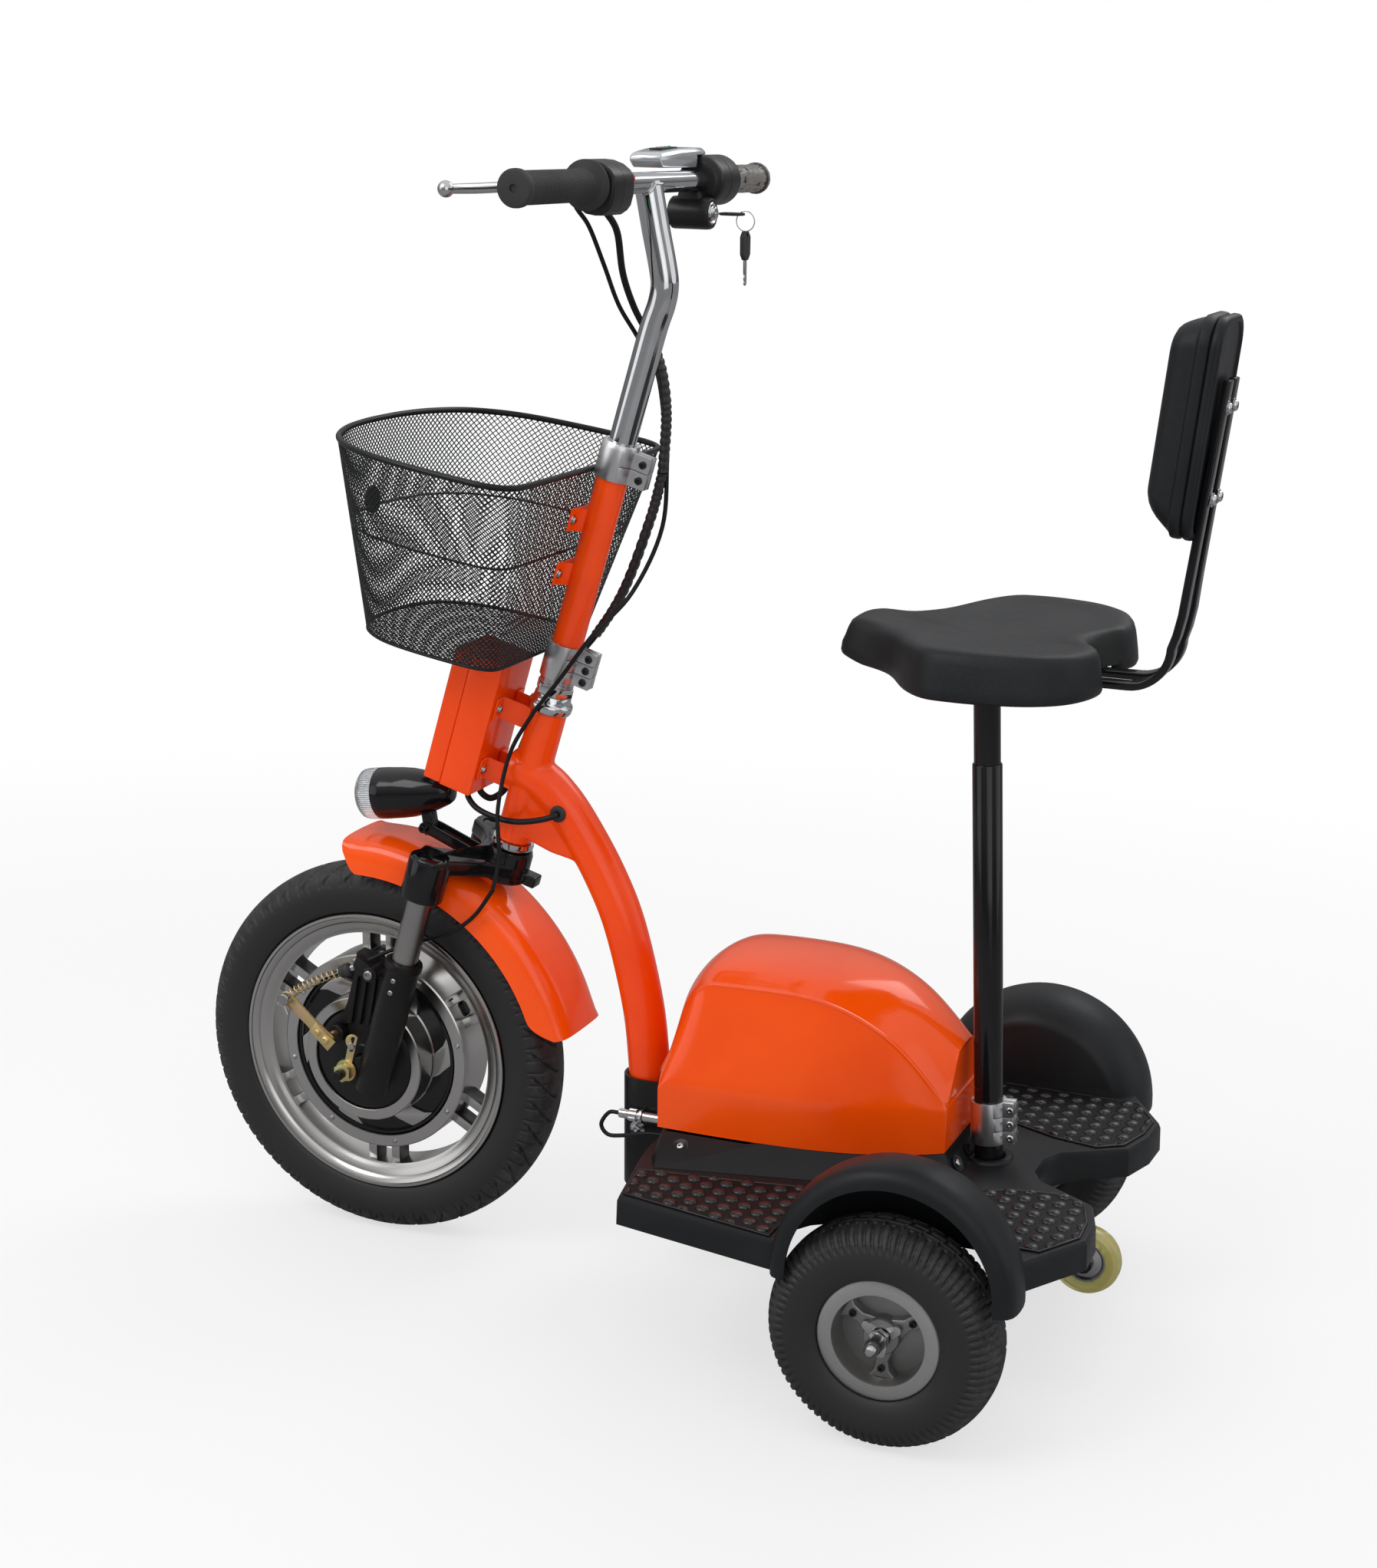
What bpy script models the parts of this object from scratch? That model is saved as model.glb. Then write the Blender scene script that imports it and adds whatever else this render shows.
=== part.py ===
# Electric scooter with a seat: one large front wheel with a hub motor, two small rear wheels.
# Metres, +Z up. The rider faces -Y and the rider's left hand is at +X.
# The origin lies on the floor, under the middle of the scooter.
import math

import bpy
import bmesh
from mathutils import Matrix, Vector

# Driving dimensions
GAP = 0.0003                  # play between pieces that touch
REAR_AXLE_Y = 0.3588          # from the origin back to the rear axle
TRACK = 0.2746                # middle of each rear tyre
REAR_TYRE_RADIUS = 0.125
REAR_TYRE_HALF_WIDTH = 0.0375
REAR_RIM_RADIUS = 0.0655
FRONT_AXLE_Y = -0.7274        # all further places are from the rear axle's line
FRONT_TYRE_RADIUS = 0.2285
FRONT_TYRE_HALF_WIDTH = 0.0375
FRONT_RIM_RADIUS = 0.171
CASTOR_RADIUS = 0.0395
CASTOR_Y = 0.1395
CASTOR_Z = 0.109
COLUMN_TILT = math.radians(16.5)
COLUMN_Y = -0.557             # steering axis where it leaves the fork crown
COLUMN_Z = 0.4966
LEG_SPREAD = 0.079            # half the distance of the fork legs
LEG_SET = -0.058              # fork legs ahead of the steering axis
STANCHION_RADIUS = 0.015
LOWER_LEG_RADIUS = 0.020
STEERER_RADIUS = 0.0143
STEM_RADIUS = 0.0175
STEM_BORE = 0.0153
CHROME_STEM_RADIUS = 0.0149
HEAD_TUBE_RADIUS = 0.021
HEAD_BORE = 0.0151
DOWN_TUBE_RADIUS = 0.024
BAR_RADIUS = 0.0111
BAR_HALF = 0.304
BAR_Y = -0.3895
BAR_Z = 1.2332
RED_BUTTON = (0.0185, 0.0055)      # places of the two buttons from the bar's axis
GREEN_BUTTON = (0.0120, -0.0164)
KEY_HOLE = 0.0300              # from the lock face's middle to the hole in the key
DECK_Z = 0.2106
DECK_BOTTOM = 0.1780
DECK_WALL = 0.004
ARCH_Y = 0.011                # middle of the wheel arches
ARCH_Z = 0.185
ARCH_RADIUS = 0.131
ARCH_INNER_X = 0.222
ARCH_OUTER_X = 0.3125
POST_Y = 0.0233
POST_Z = 0.2173
POST_LEAN = math.radians(2.73)
POST_RADIUS = 0.016
POST_BORE = 0.0147
INNER_POST_RADIUS = 0.0143
BACKREST_LEAN = math.radians(5.8)

# Colour, roughness and metallic value of each look
LOOKS = {
    "orange": ((0.80, 0.10, 0.008), 0.12, 0.0),
    "black_plastic": ((0.018, 0.019, 0.021), 0.48, 0.0),
    "black_gloss": ((0.010, 0.010, 0.011), 0.18, 0.0),
    "black_paint": ((0.012, 0.012, 0.013), 0.30, 0.0),
    "rubber": ((0.014, 0.014, 0.015), 0.72, 0.0),
    "vinyl": ((0.016, 0.017, 0.018), 0.50, 0.0),
    "chrome": ((0.78, 0.79, 0.80), 0.07, 1.0),
    "aluminium": ((0.66, 0.66, 0.67), 0.26, 1.0),
    "zinc": ((0.62, 0.50, 0.25), 0.34, 1.0),
    "steel": ((0.55, 0.56, 0.57), 0.32, 1.0),
    "clear": ((0.85, 0.87, 0.88), 0.06, 0.0),
    "amber": ((0.62, 0.52, 0.16), 0.22, 0.0),
    "silver": ((0.62, 0.63, 0.65), 0.22, 0.8),
    "red": ((0.62, 0.010, 0.012), 0.30, 0.0),
    "green": ((0.010, 0.30, 0.06), 0.30, 0.0),
}


# Shared tools
def clear_scene():
    for item in list(bpy.data.objects):
        bpy.data.objects.remove(item, do_unlink=True)


def add_empty(name, parent, location, rotation=(0.0, 0.0, 0.0)):
    empty = bpy.data.objects.new(name, None)
    bpy.context.collection.objects.link(empty)
    empty.empty_display_size = 0.05
    empty.parent = parent
    empty.location = location
    empty.rotation_euler = rotation
    return empty


def give_material(item, look):
    colour, roughness, metallic = LOOKS[look]
    surface = bpy.data.materials.new(item.name)
    surface.use_nodes = True
    shader = surface.node_tree.nodes["Principled BSDF"]
    shader.inputs["Base Color"].default_value = (*colour, 1.0)
    shader.inputs["Roughness"].default_value = roughness
    shader.inputs["Metallic"].default_value = metallic
    surface.diffuse_color = (*colour, 1.0)
    item.data.materials.append(surface)


def add_part(name, bm, look, parent, location=(0.0, 0.0, 0.0), rotation=(0.0, 0.0, 0.0)):
    bmesh.ops.recalc_face_normals(bm, faces=bm.faces)
    mesh = bpy.data.meshes.new(name)
    bm.to_mesh(mesh)
    bm.free()
    mesh.shade_smooth()
    mesh.set_sharp_from_angle(angle=math.radians(35))
    item = bpy.data.objects.new(name, mesh)
    bpy.context.collection.objects.link(item)
    item.parent = parent
    item.location = location
    item.rotation_euler = rotation
    if look:
        give_material(item, look)
    return item


def combine(item, operation, bm, location=(0.0, 0.0, 0.0), rotation=(0.0, 0.0, 0.0)):
    tool_name = item.name + "_" + operation.lower()
    tool = add_part(tool_name, bm, None, item, location, rotation)
    tool.hide_render = True
    tool.display_type = "WIRE"
    step = item.modifiers.new(tool_name, "BOOLEAN")
    step.operation = operation
    step.solver = "EXACT"
    step.object = tool


def fuse(item, bm, location=(0.0, 0.0, 0.0), rotation=(0.0, 0.0, 0.0)):
    combine(item, "UNION", bm, location, rotation)


def cut(item, bm, location=(0.0, 0.0, 0.0), rotation=(0.0, 0.0, 0.0)):
    combine(item, "DIFFERENCE", bm, location, rotation)


def loft(rings, ring_path=False):
    bm = bmesh.new()
    rows = [[bm.verts.new(point) for point in ring] for ring in rings]
    pairs = list(zip(rows, rows[1:]))
    if ring_path:
        pairs.append((rows[-1], rows[0]))
    for first, second in pairs:
        for i in range(len(first)):
            j = (i + 1) % len(first)
            bm.faces.new((first[i], first[j], second[j], second[i]))
    if not ring_path:
        bm.faces.new(rows[0])
        bm.faces.new(rows[-1])
    return bm


def prism(outline, low, high):
    return loft([[(x, y, z) for x, y in outline] for z in (low, high)])


def side_prism(outline, low, high):
    # The outline holds (y, z) pairs and the thickness runs along X.
    return loft([[(x, y, z) for y, z in outline] for x in (low, high)])


def block(x, y, z):
    return prism([(x[0], y[0]), (x[1], y[0]), (x[1], y[1]), (x[0], y[1])], z[0], z[1])


def soften(bm, width, segments=1, limit=50):
    bmesh.ops.recalc_face_normals(bm, faces=bm.faces)
    bm.normal_update()
    edges = [edge for edge in bm.edges if len(edge.link_faces) == 2
             and edge.calc_face_angle(0.0) > math.radians(limit)]
    bmesh.ops.bevel(bm, geom=edges, offset=width, segments=segments, profile=0.5, affect="EDGES",
                    clamp_overlap=True)
    return bm


def turned(profile, steps, start=0.0, sweep=2.0 * math.pi):
    # The profile holds (radius, height) pairs about the local Z axis.
    bm = bmesh.new()
    corners = [bm.verts.new((radius, 0.0, height)) for radius, height in profile]
    edges = [bm.edges.new(pair) for pair in zip(corners, corners[1:])]
    if min(radius for radius, height in profile) > 0.0:
        edges.append(bm.edges.new((corners[-1], corners[0])))
    bmesh.ops.rotate(bm, verts=corners, cent=(0, 0, 0), matrix=Matrix.Rotation(start, 3, "Z"))
    bmesh.ops.spin(bm, geom=corners + edges, cent=(0, 0, 0), axis=(0, 0, 1), angle=sweep,
                   steps=steps, use_merge=True)
    bmesh.ops.remove_doubles(bm, verts=bm.verts, dist=0.00001)
    return bm


def rod(radius, low, high, steps=16, start=0.0):
    ring = [(radius * math.cos(start + turn), radius * math.sin(start + turn))
            for turn in (2.0 * math.pi * i / steps for i in range(steps))]
    return prism(ring, low, high)


def arc(middle, radius, first, last, count):
    turns = [math.radians(first + (last - first) * i / (count - 1)) for i in range(count)]
    return [(middle[0] + radius * math.cos(t), middle[1] + radius * math.sin(t)) for t in turns]


def smooth_path(points, per_span):
    # A Catmull-Rom curve through the given points.
    ends = [2 * Vector(points[0]) - Vector(points[1])]
    ends += [Vector(point) for point in points]
    ends.append(2 * Vector(points[-1]) - Vector(points[-2]))
    path = []
    for a, b, c, d in zip(ends, ends[1:], ends[2:], ends[3:]):
        for i in range(per_span):
            t = i / per_span
            path.append(0.5 * (2 * b + (c - a) * t + (2 * a - 5 * b + 4 * c - d) * t * t
                               + (3 * b - a - 3 * c + d) * t ** 3))
    path.append(ends[-2])
    return path


def swept(path, radius, sides=20, scale=1.0):
    # A round tube along the path. Each ring is turned on from the last one without twist.
    path = [Vector(point) for point in path]
    heading = (path[1] - path[0]).normalized()
    across = heading.orthogonal().normalized()
    rings = []
    for i, point in enumerate(path):
        before = path[max(i - 1, 0)]
        after = path[min(i + 1, len(path) - 1)]
        next_heading = (after - before).normalized()
        across = heading.rotation_difference(next_heading) @ across
        heading = next_heading
        other = heading.cross(across)
        rings.append([point + radius * (across * math.cos(t) + other * scale * math.sin(t))
                      for t in (2.0 * math.pi * k / sides for k in range(sides))])
    return loft(rings)


def cord(name, points, radius, look, parent, per_span=4, resolution=2):
    curve = bpy.data.curves.new(name, "CURVE")
    curve.dimensions = "3D"
    curve.bevel_depth = radius
    curve.bevel_resolution = resolution
    curve.use_fill_caps = True
    path = smooth_path(points, per_span)
    line = curve.splines.new("POLY")
    line.points.add(len(path) - 1)
    for place, point in zip(line.points, path):
        place.co = (*point, 1.0)
    item = bpy.data.objects.new(name, curve)
    bpy.context.collection.objects.link(item)
    item.parent = parent
    give_material(item, look)
    return item


def on_column(y, along):
    # A point in the middle plane, given square to and along the steering axis.
    return (COLUMN_Y + y * math.cos(COLUMN_TILT) + along * math.sin(COLUMN_TILT),
            COLUMN_Z - y * math.sin(COLUMN_TILT) + along * math.cos(COLUMN_TILT))


AXIS_TO_X = (0.0, math.pi / 2, 0.0)     # turns local +Z to +X
AXIS_TO_MINUS_X = (0.0, -math.pi / 2, 0.0)


# Frame
def frame_tube(scooter, column):
    # Head tube with the two pressed-in cups
    head = [(0.0, 0.0), (0.0220, 0.0), (0.0243, 0.0030), (0.0243, 0.0085), (HEAD_TUBE_RADIUS, 0.0097),
            (HEAD_TUBE_RADIUS, 0.1723), (0.0247, 0.1745), (0.0247, 0.1810), (0.0200, 0.1925), (0.0, 0.1925)]
    tube = add_part("frame_tube", turned(head, 18), "orange", column)
    foot = [(-0.5560, 0.5905), (-0.5195, 0.5790), (-0.4960, 0.5600), (-0.4720, 0.5290),
            (-0.4400, 0.4760), (-0.4150, 0.4180), (-0.3930, 0.3300), (-0.3850, 0.2600), (-0.3842, 0.2200)]
    path = smooth_path([(0.0, y, z) for y, z in foot], 2)
    path.append(Vector((0.0, -0.3842, 0.1250)))
    to_column = Matrix.Rotation(COLUMN_TILT, 4, "X")
    to_column @= Matrix.Translation((0.0, -COLUMN_Y, -COLUMN_Z))
    bend = swept(path, DOWN_TUBE_RADIUS, 14)
    bend.transform(to_column)
    fuse(tube, bend)
    web = [(-0.5480, 0.5900), (-0.4700, 0.5600), (-0.4380, 0.4900), (-0.4560, 0.4880),
           (-0.5020, 0.4980), (-0.5450, 0.5150)]
    gusset = soften(side_prism(web, -0.0165, 0.0165), 0.005)
    gusset.transform(to_column)
    fuse(tube, gusset)
    for along in (0.083, 0.158):
        for side in (-1, 1):
            # A tab of bent strip from the head tube to the back of the controller box
            inside, outside = side * 0.0153, side * 0.0177
            foot_plate = [(inside, -0.0120), (inside, -0.0502), (side * 0.0330, -0.0502),
                          (side * 0.0330, -0.0478), (outside, -0.0478), (outside, -0.0120)]
            fuse(tube, prism(foot_plate, along - 0.013, along + 0.013))
    cut(tube, rod(HEAD_BORE, -0.02, 0.20, 18))
    return tube


def frame_socket(scooter):
    # A steel channel bent round the foot of the down tube, welded to the chassis beam
    wall = 0.004
    inner = DOWN_TUBE_RADIUS + 0.0011
    middle = (0.0, -0.3842)
    back = -0.3350
    outer_arc = arc(middle, inner + wall, 180, 360, 13)
    inner_arc = arc(middle, inner, 360, 180, 13)
    outline = outer_arc + [(inner + wall, back), (inner, back)]
    outline += inner_arc + [(-inner, back), (-inner - wall, back)]
    socket = add_part("frame_socket", prism(outline, 0.112, 0.2465), "black_paint", scooter)
    for side, turn in ((1, AXIS_TO_X), (-1, AXIS_TO_MINUS_X)):
        # Pinch bolt head on a washer
        low = inner + wall - 0.001
        fuse(socket, rod(0.0095, low, low + 0.003, 12), (0, -0.3860, 0.1880), turn)
        fuse(socket, rod(0.0065, low, low + 0.0085, 6), (0, -0.3860, 0.1880), turn)


def chassis(scooter):
    beam = block((-0.026, 0.026), (-0.3346, 0.060), (0.1480, 0.1775))
    item = add_part("chassis", beam, "black_paint", scooter)
    fuse(item, block((-0.2130, 0.2130), (-0.016, 0.016), (0.1500, 0.1775)))
    for y in (-0.250, -0.090):
        # Stands that carry the deck and the battery
        fuse(item, block((-0.110, 0.110), (y - 0.015, y + 0.015), (0.1600, DECK_Z - DECK_WALL - GAP)))
    for side in (-1, 1):
        plate = [(-0.030, 0.1600), (-0.016, 0.1090), (0.016, 0.1090), (0.030, 0.1600)]
        low, high = sorted((side * 0.2070, side * 0.2130))
        fuse(item, side_prism(plate, low, high))
        rail = [(side * 0.0260 - 0.001 * side, 0.045), (side * 0.1200, 0.120), (side * 0.1350, 0.120),
                (side * 0.1350, 0.105), (side * 0.0400, 0.030), (side * 0.0240, 0.030)]
        fuse(item, prism(rail, 0.1560, 0.1760))
    # Castor fork under the end of the beam
    for side in (-1, 1):
        cheek = [(0.030, 0.1500), (0.030, 0.1770), (0.078, 0.1700)]
        cheek += arc((CASTOR_Y, CASTOR_Z), 0.0105, 60, -100, 5)
        cheek += [(0.060, 0.1400)]
        low, high = sorted((side * 0.0150, side * 0.0180))
        fuse(item, side_prism(cheek, low, high))
    fuse(item, rod(0.0030, -0.0200, 0.0200, 12), (0, CASTOR_Y, CASTOR_Z), AXIS_TO_X)
    # Foot of the seat post, welded on the beam
    lean = (POST_LEAN, 0.0, 0.0)
    fuse(item, rod(0.0143, -0.045, 0.060, 16), (0, POST_Y, POST_Z), lean)
    for side in (-1, 1):
        hole = rod(0.0080, side * 0.21 - 0.01, side * 0.21 + 0.01, 12)
        cut(item, hole, (0, 0, REAR_TYRE_RADIUS), AXIS_TO_X)


# Deck
def deck_outline(inset):
    # Half outline from the front to the rear notch, drawn in by the inset
    half = [(0.120, -0.334), (0.158, -0.329), (0.2564, -0.3092), (0.2950, -0.1180), (0.2950, 0.1080),
            (0.2574, 0.1237), (0.1690, 0.1790), (0.1240, 0.1770), (0.0800, 0.1630), (0.0600, 0.1300),
            (0.0400, 0.0960), (0.0180, 0.0840)]
    whole = half + [(-x, y) for x, y in reversed(half)]
    if inset == 0.0:
        return whole
    drawn = []
    count = len(whole)
    for i, (x, y) in enumerate(whole):
        before = Vector(whole[i - 1])
        after = Vector(whole[(i + 1) % count])
        here = Vector((x, y))
        first = (here - before).normalized()
        second = (after - here).normalized()
        inward = Vector((-first.y - second.y, first.x + second.x)).normalized()
        reach = inset / max(inward.dot(Vector((-first.y, first.x))), 0.35)
        drawn.append(tuple(here + inward * reach))
    return drawn


def ring_at(outline, z):
    return [(x, y, z) for x, y in outline]


UPSTAND_FOOT = [(0.000, -0.3300), (0.150, -0.3160), (0.1749, -0.3025), (0.1389, -0.1263), (0.112, -0.045),
                (0.094, -0.006), (0.076, 0.006), (0.000, 0.006)]
COVER_EDGE = [(0.000, -0.3270), (0.065, -0.3250), (0.1200, -0.3150), (0.1200, -0.2000), (0.1120, -0.1180),
              (0.0885, -0.0500), (0.0660, -0.0080), (0.000, -0.0050)]


def mirrored(half):
    # Both ends of the half outline lie on the middle plane.
    return half + [(-x, y) for x, y in reversed(half[1:-1])]


def upstand_rings(drawn_in, low, high):
    foot = [(x - drawn_in if x > 0.01 else x, y * (1.0 - drawn_in)) for x, y in UPSTAND_FOOT]
    top = [(x - drawn_in if x > 0.01 else x, y * (1.0 - drawn_in)) for x, y in COVER_EDGE]
    return [ring_at(mirrored(foot), low), ring_at(mirrored(top), high)]


def arch_rings(stations, low):
    # Each station holds the distance from the middle plane and the radius of the arch there.
    rings = []
    for x, radius in stations:
        outline = [(ARCH_Y - radius, low)] + arc((ARCH_Y, ARCH_Z), radius, 180, 0, 12)
        outline.append((ARCH_Y + radius, low))
        rings.append([(x, y, z) for y, z in outline])
    return rings


def deck(scooter):
    wall = DECK_WALL
    outer = [ring_at(deck_outline(0.0), DECK_BOTTOM), ring_at(deck_outline(0.001), 0.2050),
             ring_at(deck_outline(0.003), 0.2093), ring_at(deck_outline(0.006), DECK_Z)]
    item = add_part("deck", loft(outer), "black_plastic", scooter)
    hood = [(ARCH_INNER_X, ARCH_RADIUS), (0.2950, ARCH_RADIUS), (0.3040, 0.1280), (0.3100, 0.1200),
            (ARCH_OUTER_X, 0.1090)]
    space = [(ARCH_INNER_X + wall, ARCH_RADIUS - wall), (0.2940, ARCH_RADIUS - wall), (0.3005, 0.1245),
             (0.3065, 0.1175), (0.3090, 0.1070), (0.3300, 0.1070)]
    for side in (-1, 1):
        fuse(item, loft(arch_rings([(side * x, r) for x, r in hood], DECK_BOTTOM)))
    fuse(item, loft(upstand_rings(0.0, DECK_Z - 0.002, 0.2344)))
    cut(item, loft([ring_at(deck_outline(wall), DECK_BOTTOM - 0.02),
                    ring_at(deck_outline(wall + 0.002), DECK_Z - wall)]))
    cut(item, loft(upstand_rings(0.006, DECK_Z - 0.012, 0.2400)))
    for side in (-1, 1):
        cut(item, loft(arch_rings([(side * x, r) for x, r in space], DECK_BOTTOM - 0.02)))
    # Hole for the seat post
    cut(item, rod(POST_RADIUS + 0.0006, -0.05, 0.05, 20), (0, POST_Y, POST_Z), (POST_LEAN, 0, 0))
    return item


def battery_cover(scooter):
    # Sections from front to back, each from the middle of the top down one side. The middle,
    # the shoulder of the raised spine, the inner top, the crest, the crease and the lower edge.
    base = DECK_Z + 0.0241
    crease = 0.289
    sections = [
        [(0.000, -0.3360, 0.289), (0.035, -0.3350, 0.289), (0.070, -0.3330, 0.289),
         (0.098, -0.3290, 0.289), (0.1200, -0.3225, 0.280), (0.1200, -0.3225, base)],
        [(0.000, -0.3280, 0.366), (0.035, -0.3235, 0.366), (0.066, -0.3150, 0.364),
         (0.0915, -0.3010, 0.357), (0.1200, -0.3150, crease), (0.1200, -0.3150, base)],
        [(0.000, -0.3060, 0.401), (0.035, -0.3035, 0.399), (0.064, -0.2985, 0.396),
         (0.0900, -0.2870, 0.397), (0.1204, -0.2950, crease), (0.1204, -0.2950, base)],
        [(0.000, -0.2810, 0.4180), (0.035, -0.2810, 0.4165), (0.066, -0.2750, 0.4120),
         (0.0900, -0.2640, 0.3985), (0.1208, -0.2600, crease), (0.1208, -0.2600, base)],
        [(0.000, -0.2120, 0.4205), (0.035, -0.2120, 0.4192), (0.066, -0.2120, 0.4140),
         (0.0900, -0.2120, 0.4000), (0.1200, -0.2000, crease), (0.1200, -0.2000, base)],
        [(0.000, -0.1430, 0.4185), (0.035, -0.1430, 0.4170), (0.065, -0.1430, 0.4120),
         (0.0890, -0.1430, 0.3990), (0.1140, -0.1300, crease), (0.1140, -0.1300, base)],
        [(0.000, -0.0880, 0.4080), (0.034, -0.0880, 0.4050), (0.061, -0.0880, 0.3920),
         (0.0850, -0.0880, 0.3760), (0.1010, -0.0800, crease), (0.1010, -0.0800, base)],
        [(0.000, -0.0490, 0.3880), (0.033, -0.0490, 0.3820), (0.055, -0.0490, 0.3620),
         (0.0770, -0.0490, 0.3450), (0.0880, -0.0460, crease), (0.0880, -0.0460, base)],
        [(0.000, -0.0100, 0.3520), (0.031, -0.0120, 0.3440), (0.050, -0.0125, 0.3120),
         (0.0660, -0.0125, 0.2915), (0.0700, -0.0130, 0.2860), (0.0700, -0.0130, base)],
        [(0.000, -0.0050, 0.3460), (0.029, -0.0070, 0.3380), (0.046, -0.0075, 0.3080),
         (0.0610, -0.0080, 0.2880), (0.0650, -0.0080, 0.2830), (0.0650, -0.0080, base)],
    ]
    bm = bmesh.new()
    rows = []
    for section in sections:
        left = [bm.verts.new(point) for point in section]
        right = [bm.verts.new((-x, y, z)) for x, y, z in section[1:]]
        rows.append(right[::-1] + left)
    for first, second in zip(rows, rows[1:]):
        for i in range(len(first) - 1):
            bm.faces.new((first[i], first[i + 1], second[i + 1], second[i]))
    for row in (rows[0], rows[-1]):
        # The front band and the back face, in strips either side of the middle
        for i in range(len(row) // 2):
            corners = [row[i], row[i + 1], row[-2 - i], row[-1 - i]]
            if corners[1] is not corners[2]:
                bm.faces.new(corners)
            else:
                bm.faces.new((corners[0], corners[1], corners[3]))
    item = add_part("battery_cover", bm, "orange", scooter)
    shell = item.modifiers.new("wall", "SOLIDIFY")
    shell.thickness = 0.003
    shell.offset = -1.0
    shell.use_rim = True
    return item


def battery(scooter):
    case = block((-0.075, 0.075), (-0.270, -0.085), (DECK_Z + GAP, 0.330))
    add_part("battery", soften(case, 0.006), "black_plastic", scooter)


# Seat post and seat
def seat_post(scooter, post):
    wall_top = 0.4380
    add_part("post_outer", turned([(POST_BORE, -0.0380), (POST_RADIUS, -0.0380),
                                   (POST_RADIUS, wall_top), (POST_BORE, wall_top)], 20),
             "black_gloss", post)
    add_part("post_inner", rod(INNER_POST_RADIUS, 0.2400, 0.5458, 20), "black_gloss", post)
    grip = POST_RADIUS + 2.0 * GAP
    clamp = add_part("seat_clamp", turned([(grip, 0.0125), (0.0200, 0.0125), (0.0200, 0.0610),
                                           (grip, 0.0610)], 16), "aluminium", post)
    fuse(clamp, block((-0.0085, 0.0085), (0.0180, 0.0300), (0.0125, 0.0610)))
    cut(clamp, block((-0.0012, 0.0012), (0.0, 0.0350), (0.0, 0.0700)))
    cut(clamp, block((-0.0300, 0.0300), (0.0050, 0.0350), (0.0362, 0.0374)))
    return clamp


def seat_ring(scale, z, raised=0.0):
    # Plan of the saddle: a narrow nose, wide sides and a notch at the back
    half = [(0.0, -0.158), (0.035, -0.150), (0.053, -0.114), (0.085, -0.081), (0.140, -0.047),
            (0.176, 0.002), (0.174, 0.045), (0.157, 0.096), (0.100, 0.134), (0.050, 0.137), (0.0, 0.125)]
    points = smooth_path([(x, y, 0.0) for x, y in half], 2)
    ring = []
    for side, row in ((1, points), (-1, points[-2:0:-1])):
        for point in row:
            reach = Vector((point.x, point.y, 0.0)).length
            drawn = max(1.0 - scale / max(reach, 0.001), 0.02)
            rise = raised * (abs(point.x) / 0.176) ** 2
            ring.append((side * point.x * drawn, point.y * drawn, z + rise))
    return ring


def seat(scooter):
    item = add_part("seat_cushion", loft([
        seat_ring(0.014, 0.7692), seat_ring(0.011, 0.7580), seat_ring(0.003, 0.7570),
        seat_ring(0.000, 0.7640), seat_ring(0.003, 0.7850), seat_ring(0.010, 0.7970, 0.003),
        seat_ring(0.022, 0.8030, 0.005), seat_ring(0.050, 0.8040, 0.005),
        seat_ring(0.110, 0.7985, 0.001)]), "vinyl", scooter)
    cut(item, block((-0.046, 0.046), (0.090, 0.160), (0.740, 0.7640)))
    plate = [(-0.050, -0.075), (0.050, -0.075), (0.095, -0.040), (0.095, 0.085), (-0.095, 0.085),
             (-0.095, -0.040)]
    add_part("seat_plate", prism(plate, 0.7637, 0.7688), "black_paint", scooter)
    return item


def seat_bars(scooter):
    for name, side in (("seat_bar_left", 1), ("seat_bar_right", -1)):
        # The bar runs forward under the seat, bends up behind it and leans with the backrest.
        low = [(0.0100, 0.7590), (0.1500, 0.7590)]
        bend = arc((0.1500, 0.8010), 0.0420, -90, 0, 6)[1:]
        top = [(0.2080, 0.8700), (0.2281, 1.0675)]
        centre = low + bend + [(0.2000, 0.8300)] + top
        rings = []
        for i, (y, z) in enumerate(centre):
            before = Vector(centre[max(i - 1, 0)])
            after = Vector(centre[min(i + 1, len(centre) - 1)])
            heading = (after - before).normalized()
            normal = Vector((-heading.y, heading.x))
            middle = side * (0.0260 if z < 0.80 else 0.0260 - 0.0115 * min((z - 0.80) / 0.15, 1.0))
            front = Vector((y, z)) + normal * 0.0040
            back = Vector((y, z)) - normal * 0.0040
            rings.append([(middle - 0.009, front.x, front.y), (middle + 0.009, front.x, front.y),
                          (middle + 0.009, back.x, back.y), (middle - 0.009, back.x, back.y)])
        bar = loft(rings)
        bar.transform(Matrix.Translation((0.0, 0.0044, 0.0)))
        item = add_part(name, bar, "black_paint", scooter)
        for z in (0.9500, 1.0400):
            # Bolt head on the back of the bar
            y = 0.2281 + math.tan(BACKREST_LEAN) * (z - 1.0675) + 0.0080
            facing_back = (-math.pi / 2 - BACKREST_LEAN, 0.0, 0.0)
            fuse(item, rod(0.0065, -0.0010, 0.0045, 6), (middle, y, z), facing_back)


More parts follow.
